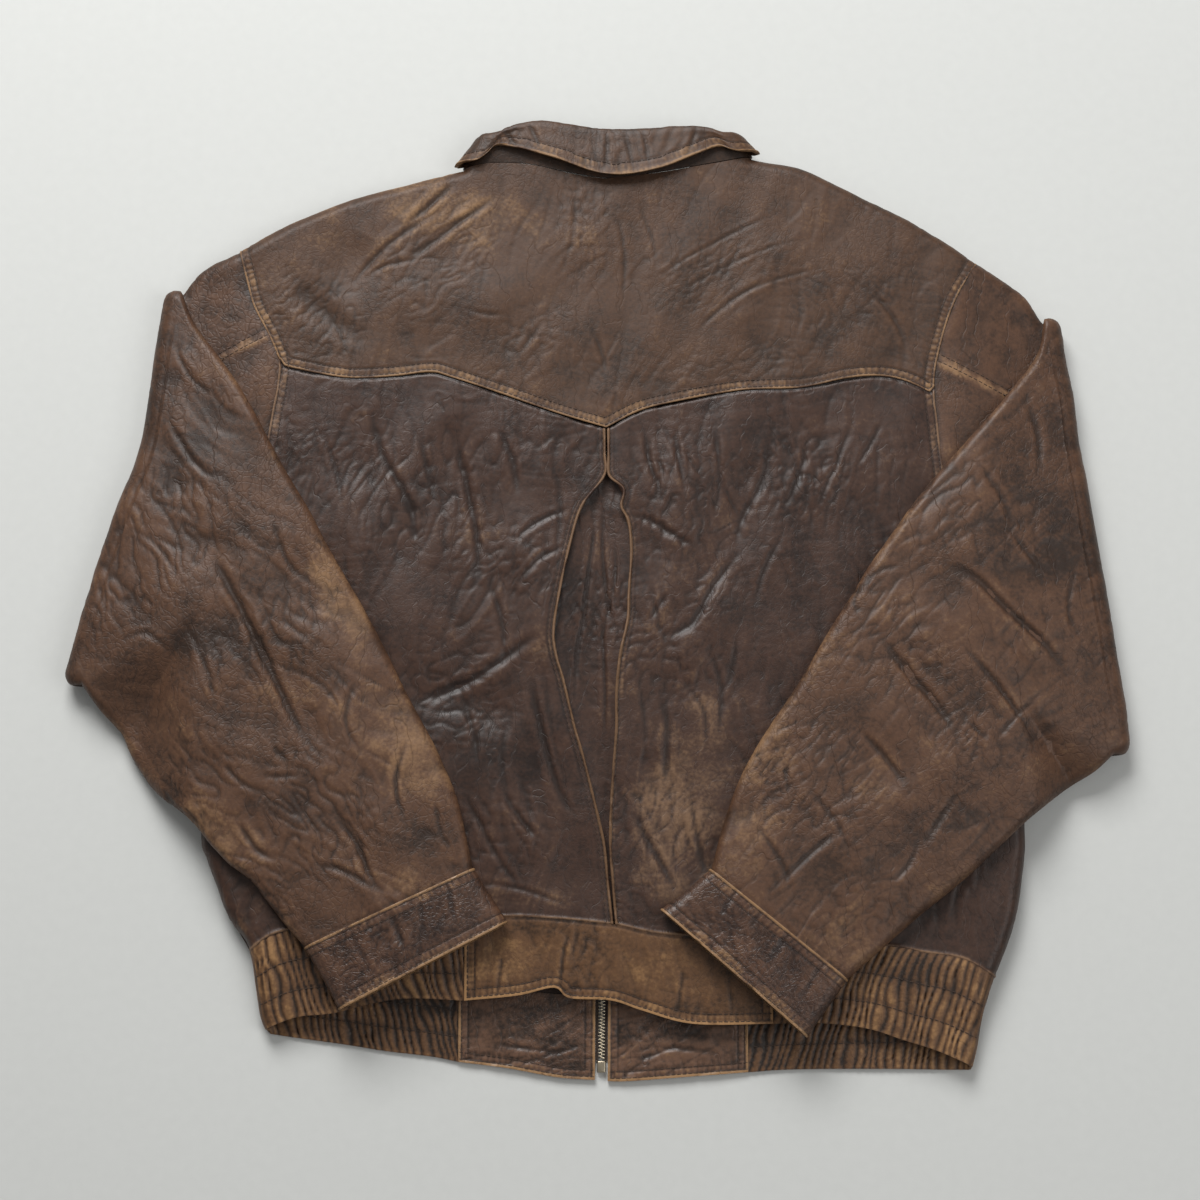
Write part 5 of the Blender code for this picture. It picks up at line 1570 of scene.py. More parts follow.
BACK_SKINS = {
    Side.LEFT: Skin(
        folds=creases([
            (5.5, 2.0, (-160, -88), (-102, -66), (-57, -34), (-40, -30)),
            (3.5, 1.2, (-26, 44), (-49, 32), (-66, 11)), (3.5, 1.1, (-20, 75), (-49, 63), (-75, 42)),
            (4.5, 1.5, (-56, -48), (-51, -87), (-30, -160), (-6, -178)),
            (4.0, 1.2, (-80, -150), (-60, -180), (-40, -198)),
            (5.0, 1.4, (-120, 150), (-108, 95), (-98, 40), (-104, -10)),
            (4.5, 1.3, (-188, 168), (-176, 120), (-150, 70), (-148, 30)),
            (4.5, 1.2, (-86, 150), (-70, 110), (-66, 80)), (3.5, 0.9, (-150, 150), (-140, 110), (-128, 60)),
            (4.0, 1.1, (-90, 20), (-78, -20), (-76, -60)), (3.2, 0.8, (-40, 120), (-32, 80), (-36, 20)),
            (3.5, 1.0, (-115, -60), (-100, -110), (-96, -150)),
            (3.5, 0.9, (-70, -90), (-78, -130), (-70, -170)),
            (3.0, 0.8, (-230, 150), (-214, 110), (-204, 60)),
            (3.2, 0.9, (-110, -150), (-84, -200), (-60, -236)),
            (3.0, 0.8, (-100, -225), (-60, -232), (-20, -246)),
            (2.8, 0.7, (-44, -60), (-38, -110), (-22, -170)),
        ]),
        rumples=[
            Rumple((-130, 100), (85, 90), 80, 13.0, 2.8, 1.5, 31),
            Rumple((-60, 40), (45, 80), 60, 9.0, 2.2, 1.1, 32),
            Rumple((-110, -70), (75, 60), 20, 9.0, 2.2, 1.3, 33),
            Rumple((-70, -190), (60, 60), 125, 11.0, 2.2, 1.3, 34),
            Rumple((-220, 120), (50, 70), 68, 8.0, 3.0, 1.0, 35),
            Rumple((-60, 145), (70, 30), 95, 7.0, 3.0, 0.8, 36),
        ],
        wear=[
            Wear((-90, -240), (80, 18), 0, 0.2), Wear((-70, -120), (60, 80), 60, -0.12),
            Wear((-60, 60), (50, 90), 80, 0.08), Wear((-160, 60), (60, 110), 80, -0.08),
            Wear((-20, -235), (40, 25), 0, 0.15),
        ],
        soft=1.3, fine=0.75, seed=41, lean=84.0,
    ),
    Side.RIGHT: Skin(
        folds=creases([
            (4.0, 1.3, (20, 70), (41, 63), (66, 47), (84, 42)), (3.5, 1.2, (59, 142), (66, 100), (71, 75)),
            (3.5, 1.1, (93, 146), (95, 115), (96, 84)), (4.5, 1.5, (118, 47), (90, 9), (72, -22), (41, -34)),
            (3.5, 1.0, (57, 8), (44, -10), (37, -21)), (3.0, 0.8, (70, 123), (72, 91)),
            (4.0, 1.3, (45, -73), (53, -100), (52, -130), (50, -160)),
            (4.5, 1.5, (24, -165), (38, -195), (53, -221), (62, -242)),
            (4.5, 1.3, (140, 150), (132, 100), (112, 60), (108, 30)),
            (3.5, 1.0, (36, 140), (40, 110), (52, 80)),
            (4.0, 1.1, (170, 140), (160, 100), (146, 70)), (3.5, 1.0, (205, 150), (190, 110), (172, 70)),
            (3.5, 1.0, (80, -30), (96, -70), (92, -120)), (3.0, 0.8, (60, -60), (82, -90), (84, -130)),
            (3.5, 1.0, (110, -20), (104, -60), (88, -90)), (3.0, 0.8, (30, -60), (36, -110), (30, -150)),
            (3.2, 0.9, (70, -150), (76, -190), (84, -225)), (2.8, 0.7, (40, 20), (46, -20), (60, -50)),
            (3.0, 0.8, (230, 150), (214, 120), (200, 100)), (3.5, 1.0, (150, 60), (130, 20), (122, -14)),
        ]),
        rumples=[
            Rumple((90, 90), (80, 70), 84, 10.0, 2.6, 1.4, 51),
            Rumple((70, -40), (60, 70), 62, 9.0, 2.2, 1.2, 52),
            Rumple((60, -170), (50, 80), 72, 9.0, 2.4, 1.4, 53),
            Rumple((180, 110), (60, 60), 66, 9.0, 2.4, 1.2, 54),
            Rumple((110, 10), (50, 40), 30, 7.0, 2.0, 0.9, 55),
            Rumple((40, -230), (50, 30), 150, 7.0, 1.8, 1.0, 56),
        ],
        wear=[
            Wear((60, -60), (60, 120), 80, 0.1), Wear((50, -230), (60, 30), -10, 0.16),
            Wear((70, -160), (110, 60), 75, 0.36),
            Wear((150, 100), (70, 60), 60, -0.08), Wear((100, 40), (60, 40), 40, 0.06),
        ],
        soft=1.3, fine=0.78, seed=47, lean=96.0,
    ),
}

INSERT_SKIN = Skin(
    folds=creases([
        (2.6, 1.5, (-5, 92), (-5, 58), (-9, 24), (-13, -14), (-18, -41), (-21, -94)),
        (2.6, 1.2, (3, 84), (2, 40), (6, 0), (12, -31)), (2.4, 1.0, (10, 60), (12, 20), (4, -20), (-4, -50)),
        (2.4, 1.0, (-2, 10), (2, -30), (4, -80), (2, -130)),
    ]),
    rumples=[Rumple((0, 0), (40, 130), 88, 6.5, 2.4, 1.5, 61)],
    wear=[Wear((0, 0), (60, 160), 90, -0.12)],
    soft=0.6, fine=0.7, seed=62, lean=88.0,
)


@dataclass
class Back:
    """The back of the body: the yoke, two lower panels and the strip behind the pleat."""

    shop: Workshop
    wall: float = 1.8
    step: float = 1.6
    yoke_step: float = 1.55
    yoke_edge: float = 9.0
    yoke_length: float = 205.0
    pleat_lap: float = 11.0
    pleat_drop: float = 3.4
    pleat_depth: float = 3.5
    calmed: float = 0.75
    yoke_seam: Seam = Seam(rows=DOUBLE_ROWS, seed=4)
    arm_seam: Seam = Seam(rows=DOUBLE_ROWS, roll=0.55, seed=5)

    def build(self) -> None:
        """Makes every piece of the back."""
        self.yoke()
        for side in Side:
            self.panel(side)
        self.insert()

    def calm(self, at: Array) -> Array:
        """Less relief under the folded sleeves, so that they lie clear."""
        return 1 - self.calmed * self.shop.form.under_sleeve(at[..., :2])

    def yoke(self) -> None:
        """The yoke, one panel from armhole to armhole, sewn down over the lower panels."""
        form, left, right = self.shop.form, Side.LEFT, Side.RIGHT
        seams = {s: form.yoke_line(s) for s in Side}
        tops = {s: np.vstack([form.shoulder[s][::-1], curve(HALVES[s].neck)[1:]]) for s in Side}
        across = spread(length_of(seams[left]), self.yoke_step, self.yoke_edge)
        rows = spread(self.yoke_length, self.yoke_step, self.yoke_edge, both=True)
        bottom = np.vstack([along(seams[left], across), along(seams[right], across)[::-1][1:]])
        top = np.vstack([along(tops[left], across), along(tops[right], across)[::-1][1:]])
        edge = {s: along(form.arm[s], form.yoke_seam * (1 - rows)) for s in Side}
        plan = patch(bottom, top, edge[left], edge[right])
        face = Surface.facing(form.surface(plan, Layer.TOP))
        face.lay(YOKE_SKIN, self.calm(face.points))
        face.sew_line(self.yoke_seam, np.vstack([seams[left], seams[right][::-1][1:]]))
        for s in Side:
            face.sew_line(self.arm_seam, form.arm[s])
        face.sew_line(Seam(rows=(), roll=0.4, ribs=0.2, tan=0.1, rim=0.1), form.shoulder[left])
        self.shop.shells.make("back_yoke", "yoke", face, self.wall, "laid",
                              ["back_left", "back_right", "front_left", "front_right"])

    def panel(self, side: Side) -> None:
        """One lower back panel, from the yoke to the waistband.

        Args:
            side: the wearer's side that it is on.
        """
        half, form = HALVES[side], self.shop.form
        seam = form.yoke_line(side)
        waist, middle = curve(half.waist), curve(half.pleat)
        arm = along(form.arm[side], np.linspace(1, form.yoke_seam, 40))
        edge = np.vstack([form.side[side][::-1], arm[1:]])
        across = spread(length_of(seam), self.step, form.edge_radius)
        across = np.sort(np.concatenate([across, 1 - np.array([0.8, 1.6, 2.4, 3.2]) / length_of(seam)]))
        rows = spread(length_of(middle), self.step, form.edge_radius / 2, both=True)
        plan = patch(along(waist, across), along(seam, across), along(edge, rows), along(middle[::-1], rows))
        face = Surface.facing(form.surface(plan, Layer.TOP))
        face.lay(BACK_SKINS[side], self.calm(face.points))
        face.sew_line(Seam(rows=PLEAT_ROWS, roll=1.5, ribs=0.16, tan=0.2, rim=0.5, seed=6), middle)
        face.sew_line(Seam(rows=(), roll=0.7, ribs=0.35, tan=0.2, rim=0.4, seed=7), waist)
        face.sew_line(self.arm_seam, form.arm[side])
        # Painted shadow: the negative tan and rim darken the panel along the yoke seam, where the yoke laps
        # over it.
        face.sew_line(Seam(rows=(), roll=-0.9, ribs=0.25, tan=-0.1, rim=-0.25, seed=8), seam)
        self.shop.shells.make(f"back_{side.value}", "body", face, self.wall, "laid",
                              [f"front_{side.value}", "pleat_insert"])

    def insert(self) -> None:
        """The strip set in behind the open pleat, in long folds of its own."""
        rows = np.linspace(0.05, 0.99, 250)
        left, right = (along(curve(HALVES[s].pleat), rows) for s in Side)
        y = (left[:, 1] + right[:, 1]) / 2
        low, high = left[:, 0] - self.pleat_lap, right[:, 0] + self.pleat_lap
        across = np.linspace(0, 1, 52)
        x = low[:, None] + across * (high - low)[:, None]
        plan = np.stack([x, np.broadcast_to(y[:, None], x.shape)], axis=-1)
        points = self.shop.form.surface(plan, Layer.TOP)
        points[..., 2] -= self.pleat_drop + self.pleat_depth * np.sin(np.pi * across) ** 2
        face = Surface.facing(points)
        edge = ease(8 * across) * ease(8 * (1 - across))
        face.lay(INSERT_SKIN, 0.25 + 0.75 * edge)
        self.shop.shells.make("pleat_insert", "body", face, self.wall, "laid", ["back_left", "back_right"])


@dataclass
class Fronts:
    """The two fronts, flat on the floor under the back, open along the zip."""

    shop: Workshop
    wall: float = 1.8
    neck_y: float = 284.0
    width: float = 290.0
    length: float = 640.0
    column_step: float = 3.6
    row_step: float = 4.2

    def build(self) -> None:
        """Makes both fronts."""
        for side in Side:
            self.front(side)

    def neck(self, side: Side, shares: Array) -> Array:
        """The front neck line, which drops as half a cosine from the shoulder to the zip.

        Args:
            side: the wearer's side.
            shares: shares of the way to the zip.

        Returns:
            Points in plan.
        """
        start = np.array(HALVES[side].shoulder[0], float)
        end_x = zip_x(self.neck_y) - side.inward * ZIP_HALF_GAP
        drop = (1 - np.cos(np.pi * shares)) / 2
        return np.column_stack([start[0] + (end_x - start[0]) * shares,
                                start[1] + (self.neck_y - start[1]) * drop])

    def front(self, side: Side) -> None:
        """One front, from the shoulder to the waistband.

        Args:
            side: the wearer's side that it is on.
        """
        half, form = HALVES[side], self.shop.form
        waist = curve(half.front_waist)
        neck = self.neck(side, np.linspace(0, 1, 30))
        arm = along(form.arm[side], np.linspace(1, 0, 50))
        edge = np.vstack([form.side[side][::-1], arm[1:]])
        top_line = np.vstack([form.shoulder[side][::-1], neck[1:]])
        across = spread(self.width, self.column_step, form.edge_radius)
        rows = spread(self.length, self.row_step, form.edge_radius, both=True)
        bottom, top, rim_line = along(waist, across), along(top_line, across), along(edge, rows)
        share = lengths(rim_line) / length_of(rim_line)
        y = bottom[-1, 1] + (top[-1, 1] - bottom[-1, 1]) * share
        middle = np.column_stack([zip_x(y) - side.inward * ZIP_HALF_GAP, y])
        bottom[-1], top[-1] = middle[0], middle[-1]
        face = Surface.facing(form.surface(patch(bottom, top, rim_line, middle), Layer.FLOOR), -UP)
        skin = Skin(soft=0.5, fine=0.35, seed=70 + side.inward, lean=80.0,
                    rumples=[Rumple((side.inward * -150, 60), (110, 200), 75, 14.0, 2.4, 0.9, 71)])
        face.lay(skin)
        face.rise = np.minimum(face.rise - 0.35, 0.0) * ease((face.points[..., 2] + 1.2) / 2.4)
        self.shop.shells.make(f"front_{side.value}", "body", face, self.wall, "laid",
                              ["zip_tape_left", "zip_tape_right"], step=3)


SLEEVE_SKINS = {
    Side.LEFT: Skin(
        folds=creases([
            (5.5, 2.6, (-313, 53), (-301, 20), (-282, -15), (-256, -68), (-235, -110), (-215, -135)),
            (4.5, 1.9, (-213, -170), (-195, -190), (-186, -206), (-178, -225), (-162, -241)),
            (4.0, 1.4, (-286, -176), (-267, -203), (-249, -210)), (3.5, 1.1, (-260, -119), (-241, -137)),
            (3.5, 1.1, (-268, -145), (-232, -144)), (4.0, 1.4, (-228, -213), (-199, -219), (-165, -239)),
            (4.0, 1.2, (-350, 150), (-326, 110), (-300, 90)), (4.0, 1.1, (-262, 70), (-250, 30), (-226, 4)),
            (3.5, 1.0, (-330, -20), (-310, -60), (-300, -100)),
            (3.5, 1.0, (-150, -110), (-160, -150), (-150, -190)),
            (3.5, 1.0, (-390, -40), (-360, -30), (-335, -50)),
            (3.5, 0.9, (-190, -60), (-200, -100), (-186, -130)),
            (3.2, 0.9, (-345, 210), (-330, 180), (-306, 160)), (3.5, 1.0, (-380, 60), (-352, 40), (-330, 10)),
            (3.2, 0.9, (-130, -160), (-124, -190), (-112, -206)),
            (3.5, 1.0, (-300, -130), (-280, -150), (-256, -160)),
        ]),
        rumples=[
            Rumple((-330, 60), (70, 110), -62, 13.0, 2.0, 1.6, 81),
            Rumple((-240, -20), (60, 90), -60, 12.0, 2.0, 1.5, 82),
            Rumple((-290, -130), (60, 60), -40, 10.0, 2.2, 1.4, 83),
            Rumple((-190, -160), (80, 60), -55, 10.0, 2.0, 1.7, 84),
            Rumple((-240, -225), (50, 40), -30, 8.0, 2.0, 1.2, 85),
            Rumple((-380, 0), (40, 90), -70, 10.0, 2.0, 1.2, 86),
        ],
        wear=[
            Wear((-208, 0), (70, 26), -62, 0.42), Wear((-160, -120), (80, 40), -55, 0.4),
            Wear((-290, -190), (60, 26), -42, 0.34), Wear((-270, 40), (80, 40), -30, -0.16),
            Wear((-310, 130), (80, 60), 50, -0.14), Wear((-250, -80), (80, 22), -10, 0.2),
            Wear((-300, -40), (90, 22), -6, -0.14), Wear((-230, -170), (70, 20), -12, -0.1),
            Wear((-150, -225), (50, 26), -25, 0.22),
        ],
        soft=1.6, fine=0.8, seed=91, lean=-32.0,
    ),
    Side.RIGHT: Skin(
        folds=creases([
            (5.0, 2.2, (260, 28), (295, 15), (319, -8), (353, -40), (374, -70)),
            (5.0, 2.2, (220, -30), (241, -60), (263, -85), (282, -115)),
            (4.0, 1.5, (279, -33), (307, -65), (326, -90), (348, -120)),
            (4.0, 1.4, (199, -103), (223, -129), (242, -155)),
            (3.5, 1.2, (309, -118), (329, -95), (352, -76)),
            (4.0, 1.4, (251, -201), (271, -171), (281, -155)),
            (3.5, 1.2, (323, 58), (344, 30), (366, 15)), (3.0, 1.0, (237, -40), (251, -85)),
            (3.0, 1.0, (285, -98), (307, -118)), (3.2, 1.0, (144, -129), (149, -164)),
            (4.0, 1.3, (131, -237), (169, -201), (198, -181)), (4.0, 1.1, (340, 170), (352, 130), (350, 90)),
            (3.5, 1.0, (300, 110), (320, 80), (330, 50)), (3.5, 1.0, (200, 0), (222, 20), (246, 24)),
            (3.5, 1.0, (160, -150), (184, -180), (196, -210)),
            (3.5, 1.0, (120, -180), (140, -210), (150, -240)),
            (3.5, 1.0, (380, 30), (372, -10), (384, -40)), (3.5, 1.0, (220, -230), (240, -215), (250, -190)),
        ]),
        rumples=[
            Rumple((330, 80), (60, 110), 62, 12.0, 2.0, 1.5, 101),
            Rumple((250, -20), (60, 80), 40, 11.0, 2.0, 1.5, 102),
            Rumple((320, -90), (60, 60), 55, 9.0, 2.2, 1.4, 103),
            Rumple((190, -130), (70, 70), 50, 10.0, 2.0, 1.6, 104),
            Rumple((230, -230), (60, 40), 30, 8.0, 2.0, 1.2, 105),
            Rumple((390, -20), (35, 90), 80, 9.0, 2.0, 1.2, 106),
        ],
        wear=[
            Wear((150, -90), (90, 34), 60, 0.22), Wear((120, -190), (60, 34), 62, 0.36),
            Wear((370, 40), (60, 120), 80, -0.16), Wear((250, 30), (80, 50), 50, 0.1),
            Wear((230, -150), (70, 50), 40, 0.14), Wear((280, -240), (60, 26), 38, 0.2),
            Wear((190, -270), (50, 30), 40, 0.22),
        ],
        soft=1.6, fine=0.82, seed=111, lean=40.0,
    ),
}


@dataclass
class Sleeve:
    """One sleeve, folded back across the body: its top piece, its under piece and its cuff."""

    shop: Workshop
    side: Side
    wall: float = 1.7
    edge: float = 8.0
    thickness: float = 13.0
    bulge: float = 3.5
    loft: float = 0.3
    bow: float = 4 / 13
    cuff_wall: float = 2.4
    cuff_rise: float = 0.6
    width: float = 262.0
    near_width: float = 66.0
    step: float = 1.8
    near_step: float = 2.2
    far_step: float = 4.0
    lower_rows: int = 30
    bend_rows: int = 22
    upper_rows: int = 211
    cuff_rows: int = 46
    rub_width: float = 9.0
    rub_inner: float = 0.32
    rub_outer: float = 0.26

    def __post_init__(self) -> None:
        """Shares out the points across the sleeve and along its three runs."""
        seam = self.shop.form.sleeve_seam
        self.over = spread(self.width, self.step, self.edge, both=True)
        near = spread(self.near_width, self.near_step, self.edge) * seam
        far = 1 - spread(self.width - self.near_width, self.far_step, self.edge)[::-1] * (1 - seam)
        self.under = np.concatenate([near, far[1:]])
        self.turn = len(near) - 1
        self.lower_at = np.linspace(0, 1, self.lower_rows)[:-1]
        self.angles = np.linspace(0, np.pi, self.bend_rows)
        self.upper_at = np.linspace(0, 1, self.upper_rows)[1:]

    def build(self) -> None:
        """Makes the top sleeve, the under sleeve and the cuff."""
        grid = np.concatenate([self.lower(), self.folded(), self.upper()])
        whole = Surface.outward(grid, True)
        self.dress(whole)
        far = self.turn + len(self.over) - 1
        top = whole.part(slice(None), np.arange(far + 1))
        below = len(self.lower_at) + len(self.angles)
        rows = np.concatenate([np.arange(below), np.arange(below, len(grid), 3), [len(grid) - 1]])
        around = np.append(np.arange(far, grid.shape[1]), 0)
        under = whole.part(np.unique(rows), around)
        name, make = self.side.value, self.shop.shells.make
        rests = [f"back_{name}", "back_yoke"]
        make(f"sleeve_top_{name}", "sleeve", top, self.wall, "folded", rests)
        make(f"sleeve_under_{name}", "sleeve", under, self.wall, "folded", rests, step=3)
        self.cuff(whole.points[-1, ::2])

    def ring(self, outer: Array, inner: Array) -> Array:
        """Closed rings: the inner layer from its seam to one edge, the outer layer, and the rest back."""
        k = self.turn
        return np.concatenate([inner[:, 1 : k + 1][:, ::-1], outer, inner[:, k:-1][:, ::-1][:, :-1]], axis=1)

    def rounded(self, both: Callable, width: Array | float, radius: float) -> Array:
        """Rings whose two layers meet in rounded edges.

        Args:
            both: gives the outer and the inner layer at some shares of the width.
            width: the ring's width.
            radius: the radius of its edges in plan.

        Returns:
            Rings where each layer nears the line between them as a quarter of an ellipse.
        """
        layers = []
        for number, shares in enumerate((self.over, self.under)):
            pair = both(shares)
            seam = pair[1] + self.shop.form.edge_share * (pair[0] - pair[1])
            far = np.minimum(shares, 1 - shares) * width
            depth = np.sqrt(1 - (1 - np.clip(far / radius, 0, 1)) ** 2)[..., None]
            layers.append(seam + depth * (pair[number] - seam))
        return self.ring(*layers)

    def lower(self) -> Array:
        """Rings of the lower run, flat on the floor, from the armhole to the fold.

        Returns:
            Rings of points, from the sleeve's seam to its fold.
        """
        form, s = self.shop.form, self.lower_at[:, None, None]
        arm, fold, head = form.arm[self.side], form.fold[self.side], form.head[self.side]
        crown = along(head, self.lower_at)[:, None] - ((1 - s) * head[0] + s * head[-1])
        layers = []
        for shares, layer in ((self.over, Layer.FLOOR), (self.under, Layer.TOP)):
            plan = (1 - s) * along(arm, shares) + s * along(fold, shares)
            layers.append(form.surface(plan + crown * (1 - shares)[:, None] ** 4, layer))
        return self.ring(*layers)

    def folded(self) -> Array:
        """Rings that turn the sleeve over on itself: half circles about the line of its fold.

        Returns:
            Rings of points, which turn round the sleeve's fold.
        """
        form, line = self.shop.form, self.shop.form.fold[self.side]
        axis, angle = form.fold_height + form.crease_gap / 2, self.angles[:, None, None]

        def both(shares: Array) -> tuple[Array, Array]:
            """The outer and inner layers, at the radius of the axis and of the crease.

            Args:
                shares: shares of the way round.

            Returns:
                Points of the inner and the outer edge.
            """
            ahead, behind = (along(line, np.clip(shares + step, 0, 1)) for step in (0.02, -0.02))
            run = unit(ahead - behind)
            out = -self.side.inward * np.stack([-run[:, 1], run[:, 0]], axis=1)
            layers = []
            for radius in (axis, form.crease_gap / 2):
                plan = along(line, shares) + radius * np.sin(angle) * out
                high = axis - radius * np.cos(angle) + 0 * plan[..., :1]
                layers.append(np.concatenate([plan, high], axis=-1))
            return layers[0], layers[1]

        return self.rounded(both, length_of(line), form.edge_radius)

    def upper(self) -> Array:
        """Rings of the upper run, lying on what is under it, from the fold to the cuff.

        Returns:
            Rings of points, from the fold to the cuff.
        """
        half, form, t = HALVES[self.side], self.shop.form, self.upper_at
        fold, first, second = form.fold[self.side], curve(half.sleeve_inner), curve(half.sleeve_outer)
        first[0], second[0] = fold[0], fold[-1]
        a, c = along(first, t)[:, None], along(second, t)[:, None]
        bow = ease(1 - t / self.bow)[:, None, None]

        def both(shares: Array) -> tuple[Array, Array]:
            """The outer and inner layers: what is under the sleeve, and its thickness above that.

            Args:
                shares: shares of the way round.

            Returns:
                Points of the inner and the outer edge.
            """
            q = shares[:, None]
            plan = a + q * (c - a) + bow * (along(fold, shares) - fold[0] - q * (fold[-1] - fold[0]))
            rest, arch = form.rest(plan), np.sin(np.pi * shares)
            thick = self.thickness + arch * self.bulge * ease(3 * t)[:, None]
            thick += arch * (self.loft * np.maximum(form.body_height - rest, 0) + bent(plan, half.bends))
            return tuple(np.concatenate([plan, z[..., None]], axis=-1) for z in (rest + thick, rest))

        return self.rounded(both, np.linalg.norm(c - a, axis=-1), self.edge)

    def dress(self, whole: Surface) -> None:
        """Lays the folds, the wear and the seams over the whole sleeve.

        Args:
            whole: the closed rings of both pieces.
        """
        form, points = self.shop.form, whole.points
        low, bend = len(self.lower_at), len(self.angles)
        up = np.ones(len(points))
        up[:low] = 0
        up[low : low + bend] = ease((self.angles - 0.9) / 1.8)
        column = np.arange(points.shape[1])
        start, end = self.turn, self.turn + len(self.over) - 1
        outer = ease((column - start + 3) / 6) * ease((end + 3 - column) / 6)
        near_fold = np.ones(len(points))
        near_fold[:low] = ease(5 * (1 - self.lower_at))
        near_fold[low : low + bend] = 0
        near_fold[low + bend :] = ease(6 * self.upper_at)
        clear = outer[None, :] + (1 - outer)[None, :] * near_fold[:, None]
        covered = form.under_sleeve(points[..., :2]) * (1 - outer)[None, :] * (1 - up)[:, None]
        whole.lay(SLEEVE_SKINS[self.side], up[:, None] * (0.2 + 0.8 * outer) * clear)
        lower = (1 - up)[:, None] * clear * (1 - 0.75 * covered)
        whole.lay(Skin(soft=0.8, fine=0.7, seed=120 + self.side.inward, lean=70.0), lower)
        steps = np.linalg.norm(np.diff(points, axis=0), axis=2)
        reach = np.vstack([np.cumsum(steps[::-1], axis=0)[::-1], np.zeros(points.shape[1])])
        at_armhole = Seam(rows=(), roll=-0.5, ribs=0.7, pitch=7.0, tan=0.1, rim=0.0, seed=9)
        whole.sew(at_armhole, reach, ring_lengths(points))
        head = self.head_line()
        on_top = lower * (1 - outer) * (column < start)
        whole.sew_line(Seam(rows=HEAD_ROWS, tan=0.5, seed=10), head, on_top)
        # Painted shade: the negative rim darkens the strip along the sunk armhole seam of the lower run.
        whole.sew_line(Seam(rows=(), roll=-0.7, ribs=0.2, tan=0.0, rim=-0.2, seed=11),
                       form.arm[self.side], lower * (1 - outer))
        rubbed = sum(up[:, None] * np.exp(-(((column - at) / self.rub_width) ** 2)) * amount
                     for at, amount in ((start, self.rub_inner), (end, self.rub_outer)))
        whole.tint += rubbed * (0.6 + 0.8 * noise(points[..., 0] / 28, points[..., 1] / 28, 17))

    def head_line(self) -> Array:
        """The seam between the top and under sleeve on the lower run, in plan.

        Returns:
            Points in plan.
        """
        form = self.shop.form
        ends = [along(line[self.side], [form.sleeve_seam])[0] for line in (form.arm, form.fold)]
        return np.linspace(*ends, 40)

    def cuff(self, ring: Array) -> None:
        """The cuff: the sleeve's last ring carried on, a little proud, to its open mouth.

        Args:
            ring: points of the sleeve's last ring.
        """
        half = HALVES[self.side]
        a0, c0 = np.array(half.sleeve_inner[-1], float), np.array(half.sleeve_outer[-1], float)
        a1, c1 = (np.array(p, float) for p in half.cuff_end)
        share = ((ring[:, :2] - a0) @ (c0 - a0) / ((c0 - a0) @ (c0 - a0)))[:, None]
        shift = (1 - share) * (a1 - a0) + share * (c1 - c0)
        steps = np.linspace(0, 1, self.cuff_rows)[:, None, None]
        plan = ring[None, :, :2] + steps * shift
        grid = np.concatenate([plan, np.broadcast_to(ring[None, :, 2:], (*plan.shape[:2], 1))], axis=-1)
        face = Surface.outward(grid, True)
        axis = unit(np.append((a1 + c1 - a0 - c0) / 2, 0.0))
        face.normals = unit(face.normals - (face.normals @ axis)[..., None] * axis)
        face.points = face.points + self.cuff_rise * face.normals
        face.lay(CUFF_SKINS[self.side], 1.0)
        far = steps[..., 0] * np.linalg.norm(shift, axis=1)
        where, back = ring_lengths(grid), np.linalg.norm(shift, axis=1) - far
        seam = Seam(rows=CUFF_SEAM_ROWS, roll=0.9, ribs=0.6, pitch=5.2, tan=0.3, rim=0.6, seed=12)
        mouth = Seam(rows=CUFF_MOUTH_ROWS, roll=0.8, ribs=0.5, pitch=5.0, tan=0.25, rim=0.75, seed=13)
        face.sew(seam, far, where)
        face.sew(mouth, back, where)
        name = self.side.value
        self.shop.shells.make(f"cuff_{name}", "cuff", face, self.cuff_wall, "laid",
                              [f"back_{name}", f"waistband_side_{name}"], step=2)
        self.stitch_rows = [self.row_at(face, far, d) for d in CUFF_SEAM_ROWS]
        total = float(np.linalg.norm(shift, axis=1).mean())
        even = far * 0 + steps[..., 0] * total
        self.stitch_rows += [self.row_at(face, even, total - d) for d in CUFF_MOUTH_ROWS]

    @staticmethod
    def row_at(face: Surface, far: Array, distance: float) -> Array:
        """The points of a surface at one distance along its columns.

        Args:
            face: the surface.
            far: each point's distance along its column.
            distance: the distance that is looked for.

        Returns:
            One point for each column.
        """
        outer = face.outer()
        pick = np.abs(far - distance).argmin(axis=0)
        return outer[pick, np.arange(outer.shape[1])]


CUFF_SKINS = {
    Side.LEFT: Skin(
        folds=creases([(3.0, 1.0, (-120, -225), (-112, -262)), (3.5, 1.2, (-165, -245), (-150, -285)),
                       (3.0, 0.9, (-196, -262), (-176, -300)), (2.6, 0.8, (-140, -240), (-136, -270))]),
        rumples=[Rumple((-150, -265), (70, 50), 62, 6.0, 2.6, 1.3, 131)],
        wear=[Wear((-150, -265), (90, 40), -27, -0.12)], soft=0.8, fine=0.8, seed=132, lean=62.0),
    Side.RIGHT: Skin(
        folds=creases([(3.0, 1.0, (110, -228), (90, -258)), (3.5, 1.2, (150, -262), (126, -296)),
                       (3.0, 0.9, (176, -286), (152, -322)), (2.6, 0.8, (130, -244), (112, -268))]),
        rumples=[Rumple((126, -275), (70, 50), -50, 6.0, 2.6, 1.3, 141)],
        wear=[Wear((126, -275), (90, 40), -42, -0.12)], soft=0.8, fine=0.8, seed=142, lean=118.0),
}


